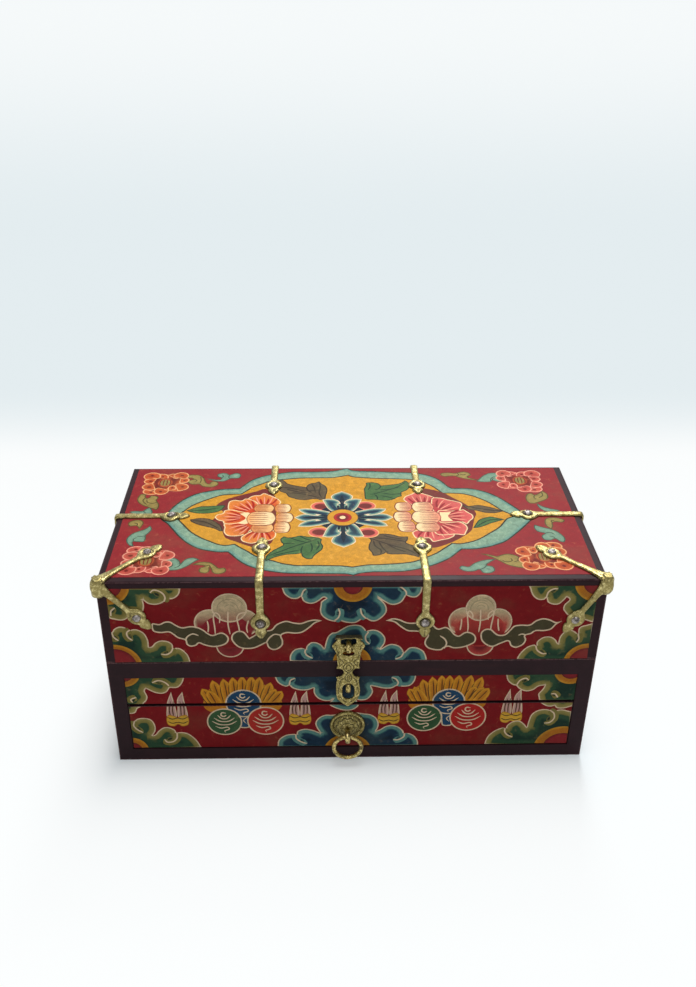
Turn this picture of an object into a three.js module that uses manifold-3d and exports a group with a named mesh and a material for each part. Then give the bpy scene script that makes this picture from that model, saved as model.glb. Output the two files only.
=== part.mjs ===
// Portable shrine box: a painted wooden chest with a hinged lid over an upper
// compartment, one drawer below, steel straps on the lid and brass fittings.
// Millimetres, +Z up. The origin is the centre of the underside, the front faces -Y.

import * as THREE from "three";
import { mergeVertices } from "three/addons/utils/BufferGeometryUtils.js";
import Module from "manifold-3d";

const wasm = await Module();
wasm.setup();

// Overall sizes
const WIDTH = 356;
const DEPTH = 165;
const BASE_HEIGHT = 95.5;
const LID_HEIGHT = 70;
const SEAM = 0.5;

// Boards
const BASE_SIDE = 11;
const BASE_WALL = 10;
const BOTTOM = 11;
const DUST_BOARD = 5;
const LID_WALL = 7;
const LID_BOARD = 7;
const LID_EDGE_RADIUS = 2;
const RAIL_HEIGHT = 14.5;
const STRIP_HEIGHT = 25.5;
const FACE_INSET = 1;

// Drawer
const DRAWER_GAP = 0.4;
const DRAWER_TOP_GAP = 2.5;
const DRAWER_BACK_GAP = 1;
const DRAWER_FACE = 10;
const DRAWER_WALL = 7;
const DRAWER_WALL_HEIGHT = 38;
const DRAWER_BOTTOM = 4;
const DRAWER_BOTTOM_RISE = 3;

// Steel straps and corner brackets
const SEAT = 0.2;
const STEEL = 1.3;
const STRAP_HALF_WIDTH = 3.1;
const BEND_RADIUS = 1.6;
const BOSS_RADIUS = 6.4;
const TIP_LENGTH = 14;
const LEAF = { halfWidth: 3.2, beyondBoss: 2.4, shoulder: 32 };
const FRONT_STRAP_XS = { left: -65.5, right: 51 };
const BACK_STRAP_XS = { left: -60.5, right: 55 };
const SIDE_STRAP_Y = 4.5;
const LONG_LEG = 41.5;
const BACK_LEG = 32;
const DOWN_LEG = 35;
const CAP_RADIUS = { across: 8.4, up: 10.5 };
const CAP_CENTRE = { inset: 2, drop: 5 };
const CAP_THICKNESS = 3.8;
const BRACKET_HALF_WIDTH = 2.5;
const BRACKET_TOP_LEG = 47;
const BRACKET_DOWN_LEG = 39;
const BRACKET_TOP_LEAN = { left: 41, right: 46 };
const BRACKET_FRONT_LEAN = { left: 42, right: 31 };
const BRACKET_SIDE_LEAN = 40;

// Nails
const NAIL_HEAD_RADIUS = 3;
const NAIL_HEAD_HEIGHT = 1.9;
const NAIL_SHANK_RADIUS = 1;
const NAIL_DEPTH = 5;
const NAIL_CLEARANCE = 0.3;

// Brass hasp, its two eye staples and the ring pull
const FITTING_X = -3.2;
const WIRE = { halfWidth: 2, radius: 1.6 };
const RUNNING_GAP = 0.3;
const STAPLE_DEPTH = 6;
const HASP_PIVOT_Z = 114;
const HASP_STANDOFF = 6.4;
const HASP_THICKNESS = 1.6;
const HASP_BAR_RADIUS = 1.5;
const HASP_LIFT = 4.6;
const HASP_CLOSED_TILT = 6.5;
const HASP_SHOULDER = { halfWidth: 10.4, down: -1 };
const HASP_SKIRT = { halfWidth: 7.4, down: 18.6 };
const HASP_WAIST = { halfWidth: 2.9, down: 22 };
const HASP_HIP = { halfWidth: 7.8, down: 25.4 };
const HASP_BELLY = { halfWidth: 8.6, down: 38 };
const HASP_FOOT = { halfWidth: 6.4, down: 46.8 };
const HASP_TIP_DOWN = 52.3;
const HASP_SLOT = { halfWidth: 4.3, halfHeight: 6.9, down: 38.7 };
const HASP_UPPER_WINDOW = { halfWidth: 5.4, halfHeight: 3, down: -4.6 };
const HASP_LOWER_WINDOW = { halfWidth: 4.2, halfHeight: 1.9, down: 5.7 };
const LIP_START = 6.6;
const LIP_RADIUS = 4.2;
const LIP_TURN = 75;
const LIP_HALF_WIDTH = 8.8;
const CATCH_STANDOFF = 4.4;
const CATCH_HOLE_RADIUS = 1.9;
const ROSETTE_Z = 33.3;
const ROSETTE_RADIUS = 13.4;
const ROSETTE_DOME = 5.2;
const RING_WIRE_RADIUS = 1.6;
const RING_RADIUS = 10.35;
const EYE_Z = 30.4;

// Butt hinges
const HINGE_X = 112;
const HINGE_HALF_WIDTH = 15;
const HINGE_LEAF_HEIGHT = 15;
const HINGE_LEAF = 1.4;
const HINGE_STANDOFF = 3.5;
const KNUCKLE_RADIUS = 3;
const KNUCKLE_HALF_WIDTH = 5;
const PIN_RADIUS = 1.5;
const PIN_OVERHANG = 0.8;
const HINGE_NAIL_X = 9;
const HINGE_NAIL_DOWN = 9.5;

// Steps on round forms
const WIRE_SIDES = 8;
const EYE_STEPS = 20;
const RING_STEPS = 32;
const ARC_STEPS = 6;
const HOLE_SIDES = 8;
const NAIL_SIDES = 10;
const BULB_STEPS = { around: 18, up: 10 };
const BAR_SIDES = 12;
const BARREL_SIDES = 16;

// Levels and planes that several pieces share
const HALF_WIDTH = WIDTH / 2;
const FRONT = -DEPTH / 2;
const BACK = DEPTH / 2;
const LID_BOTTOM = BASE_HEIGHT + SEAM;
const TOP = LID_BOTTOM + LID_HEIGHT;
const LID_WALL_TOP = TOP - LID_BOARD;
const BAY_HALF_WIDTH = HALF_WIDTH - BASE_SIDE;
const STRIP_TOP = BASE_HEIGHT - RAIL_HEIGHT;
const BAY_TOP = STRIP_TOP - STRIP_HEIGHT;
const DRAWER_FRONT_Y = FRONT + FACE_INSET;

const PAINTED_WOOD = { color: 0x5a1a1c, roughness: 0.5, metalness: 0 };
const LACQUERED_WOOD = { color: 0x2b1a20, roughness: 0.45, metalness: 0 };
const PLAIN_WOOD = { color: 0x8a6340, roughness: 0.7, metalness: 0 };
const STEEL_FINISH = { color: 0xa89c72, roughness: 0.4, metalness: 0.9 };
const NAIL_FINISH = { color: 0x9a929a, roughness: 0.4, metalness: 0.9 };
const BRASS_FINISH = { color: 0xb9a35c, roughness: 0.4, metalness: 0.9 };

const box = new THREE.Group();

/** Turn a closed geometry into a solid, leaving out the flat triangles at a lathe's axis. */
function solid(geometry) {
  const bare = geometry.clone();
  bare.deleteAttribute("normal");
  bare.deleteAttribute("uv");
  const merged = mergeVertices(bare);
  const corners = merged.index.array;
  const kept = [];
  for (let i = 0; i < corners.length; i += 3) {
    const [a, b, c] = [corners[i], corners[i + 1], corners[i + 2]];
    if (a !== b && b !== c && c !== a) kept.push(a, b, c);
  }
  const vertProperties = new Float32Array(merged.attributes.position.array);
  const triVerts = new Uint32Array(kept);
  return new wasm.Manifold(new wasm.Mesh({ numProp: 3, vertProperties, triVerts }));
}

/** Name a solid, give it its finish and put it in the box. */
function add(name, shape, finish) {
  const { vertProperties, triVerts } = shape.getMesh();
  const geometry = new THREE.BufferGeometry();
  geometry.setAttribute("position", new THREE.BufferAttribute(new Float32Array(vertProperties), 3));
  geometry.setIndex(new THREE.BufferAttribute(new Uint32Array(triVerts), 1));
  geometry.computeVertexNormals();
  const mesh = new THREE.Mesh(geometry, new THREE.MeshStandardMaterial(finish));
  mesh.name = name;
  box.add(mesh);
}

/** A board between two opposite corners. */
function board(low, high) {
  const geometry = new THREE.BoxGeometry(1, 1, 1);
  const position = geometry.attributes.position;
  for (let i = 0; i < position.count; i += 1) {
    const corner = [position.getX(i), position.getY(i), position.getZ(i)];
    position.setXYZ(i, ...corner.map((side, axis) => (side < 0 ? low[axis] : high[axis])));
  }
  return solid(geometry);
}

/**
 * An outline extruded along one axis, between two places on it. Along "x" the outline is
 * drawn in (y, z), along "y" in (x, z) and along "z" in (x, y).
 */
function prism(shape, axis, from, to, place = new THREE.Matrix4()) {
  const start = axis === "y" ? -to : from;
  const settings = { depth: to - from, bevelEnabled: false, curveSegments: ARC_STEPS };
  const geometry = new THREE.ExtrudeGeometry(shape, settings);
  geometry.translate(0, 0, start);
  const [x, y, z] = [new THREE.Vector3(1, 0, 0), new THREE.Vector3(0, 1, 0), new THREE.Vector3(0, 0, 1)];
  const turn = new THREE.Matrix4();
  if (axis === "x") turn.makeBasis(y, z, x);
  if (axis === "y") turn.makeBasis(x, z, y.clone().negate());
  geometry.applyMatrix4(turn);
  geometry.applyMatrix4(place);
  return solid(geometry);
}

/** A cylinder along one axis, between two places on it. */
function rod(axis, radius, from, to, centre, sides = HOLE_SIDES) {
  const outline = new THREE.Shape();
  for (let i = 0; i < sides; i += 1) {
    const angle = ((i + 0.5) / sides) * 2 * Math.PI;
    const point = [radius * Math.cos(angle), radius * Math.sin(angle)];
    if (i === 0) outline.moveTo(...point);
    else outline.lineTo(...point);
  }
  outline.closePath();
  return prism(outline, axis, from, to, new THREE.Matrix4().makeTranslation(...centre));
}

/** The matrix that points local +Z along a direction, at a place. */
function pointed(direction, place) {
  const turn = new THREE.Quaternion().setFromUnitVectors(new THREE.Vector3(0, 0, 1), direction);
  return new THREE.Matrix4().compose(place, turn, new THREE.Vector3(1, 1, 1));
}

/** A profile of [radius, height] pairs turned about local Z. */
function turned(profile, steps, place) {
  const points = profile.map(([radius, height]) => new THREE.Vector2(radius, height));
  const geometry = new THREE.LatheGeometry(points, steps);
  geometry.rotateX(Math.PI / 2);
  geometry.applyMatrix4(place);
  return solid(geometry);
}

const OUTWARD = {
  top: new THREE.Vector3(0, 0, 1),
  front: new THREE.Vector3(0, -1, 0),
  back: new THREE.Vector3(0, 1, 0),
  left: new THREE.Vector3(-1, 0, 0),
  right: new THREE.Vector3(1, 0, 0),
};

// The nail holes that each lid board gets
const nailHoles = { lid_top: [], lid_front: [], lid_back: [], lid_side_left: [], lid_side_right: [] };

/** The blind hole that a nail's shank needs in the board under it. */
function nailHole(place, outward) {
  const deep = NAIL_DEPTH + NAIL_CLEARANCE;
  const radius = NAIL_SHANK_RADIUS + NAIL_CLEARANCE;
  const profile = [[0, -deep], [radius, -deep], [radius, 1], [0, 1]];
  return turned(profile, HOLE_SIDES, pointed(outward, place));
}

/** A round-headed nail whose head lies on metal of the given thickness, at a place on the wood. */
function nail(place, outward, underHead) {
  const profile = [
    [0, -NAIL_DEPTH],
    [NAIL_SHANK_RADIUS * 0.8, -NAIL_DEPTH + 1],
    [NAIL_SHANK_RADIUS, -NAIL_DEPTH + 2],
    [NAIL_SHANK_RADIUS, underHead],
    [NAIL_HEAD_RADIUS, underHead],
    [NAIL_HEAD_RADIUS * 0.97, underHead + NAIL_HEAD_HEIGHT * 0.35],
    [NAIL_HEAD_RADIUS * 0.72, underHead + NAIL_HEAD_HEIGHT * 0.78],
    [NAIL_HEAD_RADIUS * 0.35, underHead + NAIL_HEAD_HEIGHT * 0.96],
    [0, underHead + NAIL_HEAD_HEIGHT],
  ];
  return turned(profile, NAIL_SIDES, pointed(outward, place));
}

/** Drive one strap nail: the nail, its hole in the strap and its hole in the board. */
function driveNail(name, boardName, place, outward) {
  nailHoles[boardName].push(nailHole(place, outward));
  add(name, nail(place, outward, 2 * SEAT + STEEL), NAIL_FINISH);
  return nailHole(place, outward).add(throughHole(place, outward));
}

/** The hole through the metal above a place on the wood. */
function throughHole(place, outward) {
  const radius = NAIL_SHANK_RADIUS + NAIL_CLEARANCE;
  const above = CAP_THICKNESS + 2;
  return turned([[0, -1], [radius, -1], [radius, above], [0, above]], HOLE_SIDES, pointed(outward, place));
}

/**
 * One leg of a strap, seen flat: a band that starts behind the bend, a round boss at the
 * nail and a leaf tip. It runs along +Y, or along -Y when sign is -1.
 */
function legOutline(halfWidth, start, nailAt, sign = 1) {
  const across = Math.sqrt(BOSS_RADIUS ** 2 - halfWidth ** 2);
  const meet = Math.atan2(across, halfWidth);
  const shoulder = THREE.MathUtils.degToRad(LEAF.shoulder);
  const leafAt = nailAt + BOSS_RADIUS + LEAF.beyondBoss;
  const tipAt = nailAt + TIP_LENGTH;
  const right = new THREE.Path();
  right.moveTo(halfWidth, start);
  right.lineTo(halfWidth, nailAt - across);
  right.absarc(0, nailAt, BOSS_RADIUS, -meet, Math.PI / 2 - shoulder, false);
  right.quadraticCurveTo(LEAF.halfWidth * 0.7, nailAt + BOSS_RADIUS, LEAF.halfWidth, leafAt);
  right.quadraticCurveTo(LEAF.halfWidth * 0.8, (leafAt + tipAt) / 2, 0, tipAt);
  const side = right.getPoints(ARC_STEPS);
  const mirrored = side.slice(0, -1).reverse().map((point) => new THREE.Vector2(-point.x, point.y));
  return new THREE.Shape([...side, ...mirrored].map((point) => new THREE.Vector2(point.x, sign * point.y)));
}

/** A strap bent over an edge of the lid: its edge at the origin, the wood towards +Y and -Z. */
function strapShape(topLeg, downLeg) {
  const outer = SEAT + STEEL;
  const profile = new THREE.Shape();
  profile.moveTo(topLeg + TIP_LENGTH, SEAT);
  profile.lineTo(topLeg + TIP_LENGTH, outer);
  profile.lineTo(-outer + BEND_RADIUS, outer);
  profile.absarc(-outer + BEND_RADIUS, outer - BEND_RADIUS, BEND_RADIUS, Math.PI / 2, Math.PI, false);
  profile.lineTo(-outer, -downLeg - TIP_LENGTH);
  profile.lineTo(-SEAT, -downLeg - TIP_LENGTH);
  profile.lineTo(-SEAT, SEAT);
  profile.closePath();
  const bent = prism(profile, "x", -BOSS_RADIUS, BOSS_RADIUS);
  const above = prism(legOutline(STRAP_HALF_WIDTH, -outer - 1, topLeg), "z", -1, outer + 1);
  const ahead = prism(legOutline(STRAP_HALF_WIDTH, -outer - 1, downLeg, -1), "y", -outer - 1, 1);
  return bent.intersect(above.add(ahead));
}

/** A strap over one edge, with its nails, on the named boards. */
function addStrap(name, edge, turn, legs, boards, outward) {
  const place = new THREE.Matrix4().makeRotationZ(turn).setPosition(edge);
  const inward = outward.clone().negate();
  const onTop = edge.clone().addScaledVector(inward, legs.top);
  const onFace = edge.clone().add(new THREE.Vector3(0, 0, -legs.down));
  const holes = driveNail(`${name}_nail_top`, boards[0], onTop, OUTWARD.top)
    .add(driveNail(`${name}_nail_face`, boards[1], onFace, outward));
  const shape = strapShape(legs.top, legs.down).transform(place.elements);
  add(name, shape.subtract(holes), STEEL_FINISH);
}

/** The lid's corner block, grown outward by a thickness, reaching back over the legs. */
function cornerBlock(side, grown, reach) {
  const xs = [side * (HALF_WIDTH + grown), side * (HALF_WIDTH - reach)].sort((a, b) => a - b);
  return board([xs[0], FRONT - grown, TOP - reach], [xs[1], FRONT + reach, TOP + grown]);
}

/** A three-legged bracket on a front corner of the lid, with its nails. */
function addBracket(hand, side) {
  const name = `corner_bracket_${hand}`;
  const reach = BRACKET_TOP_LEG + TIP_LENGTH + 1;
  const corner = new THREE.Vector3(side * HALF_WIDTH, FRONT, TOP);
  const shell = cornerBlock(side, SEAT + STEEL, reach).subtract(cornerBlock(side, SEAT, reach + 1));
  const outer = SEAT + STEEL + 1;
  const lean = {
    top: side * THREE.MathUtils.degToRad(BRACKET_TOP_LEAN[hand]),
    front: THREE.MathUtils.degToRad(BRACKET_FRONT_LEAN[hand]),
    side: THREE.MathUtils.degToRad(BRACKET_SIDE_LEAN),
  };
  const at = (turn) => turn.setPosition(corner);
  const leg = (nailAt, sign) => legOutline(BRACKET_HALF_WIDTH, -BRACKET_HALF_WIDTH, nailAt, sign);
  const topLeg = prism(leg(BRACKET_TOP_LEG, 1), "z", -1, outer,
    at(new THREE.Matrix4().makeRotationZ(lean.top)));
  const frontLeg = prism(leg(BRACKET_DOWN_LEG, -1), "y", -outer, 1,
    at(new THREE.Matrix4().makeRotationY(side * lean.front)));
  const sideSpan = [side * -1, side * outer].sort((a, b) => a - b);
  const sideLeg = prism(leg(BRACKET_DOWN_LEG, -1), "x", ...sideSpan,
    at(new THREE.Matrix4().makeRotationX(lean.side)));
  const bulbCentre = corner.clone()
    .add(new THREE.Vector3(-side * CAP_CENTRE.inset, CAP_CENTRE.inset, -CAP_CENTRE.drop));
  const bulb = new THREE.SphereGeometry(1, BULB_STEPS.around, BULB_STEPS.up)
    .rotateX(Math.PI / 2)
    .scale(CAP_RADIUS.across, CAP_RADIUS.across, CAP_RADIUS.up)
    .translate(...bulbCentre.toArray());
  const cap = cornerBlock(side, SEAT + CAP_THICKNESS, reach)
    .intersect(solid(bulb))
    .subtract(cornerBlock(side, SEAT, reach + 1));
  const nails = {
    top: new THREE.Vector3(-side * Math.sin(Math.abs(lean.top)), Math.cos(lean.top), 0),
    front: new THREE.Vector3(-side * Math.sin(lean.front), 0, -Math.cos(lean.front)),
    side: new THREE.Vector3(0, Math.sin(lean.side), -Math.cos(lean.side)),
  };
  const spot = (way, distance) => corner.clone().addScaledVector(way, distance);
  const [onTop, onFront] = [spot(nails.top, BRACKET_TOP_LEG), spot(nails.front, BRACKET_DOWN_LEG)];
  const onSide = spot(nails.side, BRACKET_DOWN_LEG);
  const holes = driveNail(`${name}_nail_top`, "lid_top", onTop, OUTWARD.top)
    .add(driveNail(`${name}_nail_face`, "lid_front", onFront, OUTWARD.front))
    .add(driveNail(`${name}_nail_side`, `lid_side_${hand}`, onSide, OUTWARD[hand]));
  const legs = shell.intersect(topLeg.add(frontLeg).add(sideLeg));
  add(name, legs.add(cap).subtract(holes), STEEL_FINISH);
}

/** Widen a solid along X about a plane, from a round wire's section to the flattened wire's. */
function flattened(shape, x, roundRadius, halfWidth) {
  return shape.translate([-x, 0, 0]).scale([halfWidth / roundRadius, 1, 1]).translate([x, 0, 0]);
}

/** An eye of flattened wire with a straight shank towards +Y, its hole's centre at a place. */
function eyeStaple(centre, holeRadius, shankEnd) {
  const eyeRadius = holeRadius + WIRE.radius;
  const ring = new THREE.TorusGeometry(eyeRadius, WIRE.radius, WIRE_SIDES, EYE_STEPS);
  ring.rotateY(Math.PI / 2).translate(...centre.toArray());
  const shank = rod("y", WIRE.radius, eyeRadius, shankEnd - centre.y, centre.toArray());
  return flattened(solid(ring).add(shank), centre.x, WIRE.radius, WIRE.halfWidth);
}

/** The hole that an eye staple's shank needs. */
function shankHole(x, z, from, to) {
  const radius = WIRE.radius + NAIL_CLEARANCE;
  return flattened(rod("y", radius, from, to, [x, 0, z]), x, radius, WIRE.halfWidth + NAIL_CLEARANCE);
}

/** An upright opening in the hasp with round ends, or an ellipse where it is wider than high. */
function opening({ halfWidth, halfHeight, down }) {
  const shape = new THREE.Shape();
  const straight = Math.max(halfHeight - halfWidth, 0);
  const rise = halfHeight - straight;
  shape.absellipse(0, straight - down, halfWidth, rise, 0, Math.PI, false, 0);
  shape.absellipse(0, -straight - down, halfWidth, rise, Math.PI, 2 * Math.PI, false, 0);
  shape.closePath();
  return shape;
}

/** The hasp seen from the front, its pivot at the origin and its lip above it. */
function haspOutline() {
  const lipTop = LIP_START + LIP_RADIUS + HASP_THICKNESS + 1;
  const [shoulder, skirt, waist, hip] = [HASP_SHOULDER, HASP_SKIRT, HASP_WAIST, HASP_HIP];
  const [belly, foot] = [HASP_BELLY, HASP_FOOT];
  const right = new THREE.Path();
  right.moveTo(LIP_HALF_WIDTH, lipTop);
  right.lineTo(LIP_HALF_WIDTH, LIP_START);
  right.quadraticCurveTo(shoulder.halfWidth, -shoulder.down + 2, shoulder.halfWidth, -shoulder.down);
  right.quadraticCurveTo(skirt.halfWidth, -shoulder.down - 4, skirt.halfWidth, -skirt.down);
  right.quadraticCurveTo(waist.halfWidth, -skirt.down - 1, waist.halfWidth, -waist.down);
  right.quadraticCurveTo(waist.halfWidth, -hip.down + 1, hip.halfWidth, -hip.down);
  right.quadraticCurveTo(belly.halfWidth, -(hip.down + belly.down) / 2, belly.halfWidth, -belly.down);
  right.quadraticCurveTo(belly.halfWidth, -foot.down + 2, foot.halfWidth, -foot.down);
  right.lineTo(0, -HASP_TIP_DOWN);
  const side = right.getPoints(ARC_STEPS);
  const left = side.slice(0, -1).reverse().map((point) => new THREE.Vector2(-point.x, point.y));
  return new THREE.Shape([...side, ...left]);
}

/** The hasp's section in (y, z): a flat plate whose top curls forward into an open lip. */
function haspSection() {
  const half = HASP_THICKNESS / 2;
  const turn = THREE.MathUtils.degToRad(LIP_TURN);
  const centreY = -half - LIP_RADIUS;
  const shape = new THREE.Shape();
  shape.moveTo(half, -HASP_TIP_DOWN - 1);
  shape.lineTo(half, LIP_START);
  shape.absarc(centreY, LIP_START, LIP_RADIUS + HASP_THICKNESS, 0, turn, false);
  shape.absarc(centreY, LIP_START, LIP_RADIUS, turn, 0, true);
  shape.lineTo(-half, -HASP_TIP_DOWN - 1);
  shape.closePath();
  return shape;
}

/** The hasp in its own frame, and then swung off its catch and moved to its pivot. */
function haspPlate(pivot) {
  const wide = HASP_SHOULDER.halfWidth + 2;
  const deep = LIP_RADIUS + 2 * HASP_THICKNESS;
  const plate = prism(haspSection(), "x", -wide, wide).intersect(prism(haspOutline(), "y", -deep, deep));
  const eyeSlotHalf = WIRE.halfWidth + 2 * RUNNING_GAP;
  const eyeReach = HASP_BAR_RADIUS + 2 * WIRE.radius + 3 * RUNNING_GAP;
  const openings = [HASP_UPPER_WINDOW, HASP_LOWER_WINDOW, HASP_SLOT]
    .map((size) => prism(opening(size), "y", -deep, deep));
  const eyeSlot = board([-eyeSlotHalf, -deep, -eyeReach], [eyeSlotHalf, deep, eyeReach]);
  const barHalf = eyeSlotHalf + HASP_THICKNESS;
  const bar = rod("x", HASP_BAR_RADIUS, -barHalf, barHalf, [0, 0, 0], BAR_SIDES);
  const pierced = openings.reduce((rest, hole) => rest.subtract(hole), plate.subtract(eyeSlot));
  const swing = new THREE.Matrix4().makeRotationX(-THREE.MathUtils.degToRad(HASP_LIFT)).setPosition(pivot);
  return pierced.add(bar).transform(swing.elements);
}

/** One hinge leaf in its hinge's frame: the pin along X at the origin, the wood towards -Y. */
function hingeLeaf(up) {
  const wall = -HINGE_STANDOFF + SEAT;
  const zs = [up * 0.3, up * HINGE_LEAF_HEIGHT].sort((a, b) => a - b);
  const plate = board([-HINGE_HALF_WIDTH, wall, zs[0]], [HINGE_HALF_WIDTH, wall + HINGE_LEAF, zs[1]]);
  const inner = [-KNUCKLE_HALF_WIDTH, KNUCKLE_HALF_WIDTH];
  const outerLeft = [-HINGE_HALF_WIDTH, -KNUCKLE_HALF_WIDTH - RUNNING_GAP];
  const outerRight = [KNUCKLE_HALF_WIDTH + RUNNING_GAP, HINGE_HALF_WIDTH];
  const barrel = ([from, to], radius, grow) => (
    rod("x", radius, from - grow, to + grow, [0, 0, 0], BARREL_SIDES)
  );
  const clear = KNUCKLE_RADIUS + RUNNING_GAP;
  const own = up > 0 ? [inner] : [outerLeft, outerRight];
  const other = up > 0 ? [outerLeft, outerRight] : [inner];
  let leaf = plate;
  for (const span of other) leaf = leaf.subtract(barrel(span, clear, RUNNING_GAP));
  for (const span of own) leaf = leaf.add(barrel(span, KNUCKLE_RADIUS, 0));
  return leaf.subtract(barrel([-HINGE_HALF_WIDTH, HINGE_HALF_WIDTH], PIN_RADIUS + RUNNING_GAP, 1));
}

/** Where a hinge's nails go through one leaf, in the box's frame. */
function hingeNailPlaces(x, up) {
  const z = hingeAxis.z + up * HINGE_NAIL_DOWN;
  return [-1, 1].map((hand) => new THREE.Vector3(x + hand * HINGE_NAIL_X, BACK, z));
}

/** A leaf with its two nails, which are riveted to it. */
function addHingeLeaf(name, x, up) {
  const place = new THREE.Matrix4().makeTranslation(x, hingeAxis.y, hingeAxis.z);
  let leaf = hingeLeaf(up).transform(place.elements);
  for (const spot of hingeNailPlaces(x, up)) leaf = leaf.add(nail(spot, OUTWARD.back, SEAT + HINGE_LEAF));
  add(name, leaf, BRASS_FINISH);
}

const hingeAxis = new THREE.Vector3(0, BACK + HINGE_STANDOFF, BASE_HEIGHT + SEAM / 2);
const haspPivot = new THREE.Vector3(FITTING_X, FRONT - HASP_STANDOFF, HASP_PIVOT_Z);
// With the hasp closed, the catch stands in the middle of its slot
const catchZ = HASP_PIVOT_Z - HASP_SLOT.down * Math.cos(THREE.MathUtils.degToRad(HASP_CLOSED_TILT));
const catchCentre = new THREE.Vector3(FITTING_X, FRONT - CATCH_STANDOFF, catchZ);
const ringEyeHole = RING_WIRE_RADIUS + RUNNING_GAP;
const domeTop = DRAWER_FRONT_Y - ROSETTE_DOME;
const ringPivotY = domeTop - ringEyeHole - 2 * WIRE.radius - RUNNING_GAP;
const ringPivot = new THREE.Vector3(FITTING_X, ringPivotY, EYE_Z);

// Straps over the lid's edges
for (const [hand, side] of [["left", -1], ["right", 1]]) {
  const front = new THREE.Vector3(FRONT_STRAP_XS[hand], FRONT, TOP);
  const back = new THREE.Vector3(BACK_STRAP_XS[hand], BACK, TOP);
  const flank = new THREE.Vector3(side * HALF_WIDTH, SIDE_STRAP_Y, TOP);
  addStrap(`strap_front_${hand}`, front, 0, { top: LONG_LEG, down: DOWN_LEG },
    ["lid_top", "lid_front"], OUTWARD.front);
  addStrap(`strap_back_${hand}`, back, Math.PI, { top: BACK_LEG, down: DOWN_LEG },
    ["lid_top", "lid_back"], OUTWARD.back);
  addStrap(`strap_side_${hand}`, flank, side * Math.PI / 2, { top: LONG_LEG, down: DOWN_LEG },
    ["lid_top", `lid_side_${hand}`], OUTWARD[hand]);
  addBracket(hand, side);
}

/** The lid's top board, with its upper edges rounded. */
function lidTopBoard() {
  const rounded = (half) => {
    const arcX = half - LID_EDGE_RADIUS;
    const arcZ = TOP - LID_EDGE_RADIUS;
    const shape = new THREE.Shape();
    shape.moveTo(-half, LID_WALL_TOP);
    shape.lineTo(half, LID_WALL_TOP);
    shape.lineTo(half, arcZ);
    shape.absarc(arcX, arcZ, LID_EDGE_RADIUS, 0, Math.PI / 2, false);
    shape.lineTo(-arcX, TOP);
    shape.absarc(-arcX, arcZ, LID_EDGE_RADIUS, Math.PI / 2, Math.PI, false);
    shape.closePath();
    return shape;
  };
  const lengthways = prism(rounded(DEPTH / 2), "x", -HALF_WIDTH, HALF_WIDTH);
  const across = prism(rounded(HALF_WIDTH), "y", FRONT, BACK);
  return lengthways.intersect(across);
}

/** A lid board less its nail holes. */
function addLidBoard(name, shape, finish) {
  let bored = shape;
  for (const hole of nailHoles[name]) bored = bored.subtract(hole);
  add(name, bored, finish);
}

const lidHingeHoles = [-1, 1].flatMap((side) => hingeNailPlaces(side * HINGE_X, 1))
  .map((place) => nailHole(place, OUTWARD.back));
const baseHingeHoles = [-1, 1].flatMap((side) => hingeNailPlaces(side * HINGE_X, -1))
  .map((place) => nailHole(place, OUTWARD.back));
nailHoles.lid_back.push(...lidHingeHoles);
const shankEnd = FRONT + STAPLE_DEPTH;
const shankHoleEnd = shankEnd + NAIL_CLEARANCE;
nailHoles.lid_front.push(shankHole(FITTING_X, HASP_PIVOT_Z, FRONT - 1, shankHoleEnd));

// Lid
const lidInside = HALF_WIDTH - LID_WALL;
const lidFront = board([-lidInside, FRONT, LID_BOTTOM], [lidInside, FRONT + LID_WALL, LID_WALL_TOP]);
const lidBack = board([-lidInside, BACK - LID_WALL, LID_BOTTOM], [lidInside, BACK, LID_WALL_TOP]);
const lidLeft = board([-HALF_WIDTH, FRONT, LID_BOTTOM], [-lidInside, BACK, LID_WALL_TOP]);
const lidRight = board([lidInside, FRONT, LID_BOTTOM], [HALF_WIDTH, BACK, LID_WALL_TOP]);
addLidBoard("lid_top", lidTopBoard(), PAINTED_WOOD);
addLidBoard("lid_front", lidFront, PAINTED_WOOD);
addLidBoard("lid_back", lidBack, LACQUERED_WOOD);
addLidBoard("lid_side_left", lidLeft, LACQUERED_WOOD);
addLidBoard("lid_side_right", lidRight, LACQUERED_WOOD);

// Base
const bay = BAY_HALF_WIDTH;
const baseInsideY = FRONT + BASE_WALL;
const backInsideY = BACK - BASE_WALL;
const dustBoardTop = BAY_TOP + DUST_BOARD;
const catchHole = shankHole(FITTING_X, catchZ, FRONT - 1, shankHoleEnd);
let baseBack = board([-bay, backInsideY, BOTTOM], [bay, BACK, BASE_HEIGHT]);
for (const hole of baseHingeHoles) baseBack = baseBack.subtract(hole);
const railFront = board([-bay, FRONT, STRIP_TOP], [bay, baseInsideY, BASE_HEIGHT]);
const stripFront = board([-bay, DRAWER_FRONT_Y, BAY_TOP], [bay, baseInsideY, STRIP_TOP]);
const dustBoard = board([-bay, baseInsideY, BAY_TOP], [bay, backInsideY, dustBoardTop]);
add("base_bottom", board([-bay, FRONT, 0], [bay, BACK, BOTTOM]), LACQUERED_WOOD);
add("base_side_left", board([-HALF_WIDTH, FRONT, 0], [-bay, BACK, BASE_HEIGHT]), LACQUERED_WOOD);
add("base_side_right", board([bay, FRONT, 0], [HALF_WIDTH, BACK, BASE_HEIGHT]), LACQUERED_WOOD);
add("base_back", baseBack, LACQUERED_WOOD);
add("base_rail_front", railFront, LACQUERED_WOOD);
add("base_strip_front", stripFront.subtract(catchHole), PAINTED_WOOD);
add("dust_board", dustBoard, PLAIN_WOOD);

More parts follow.
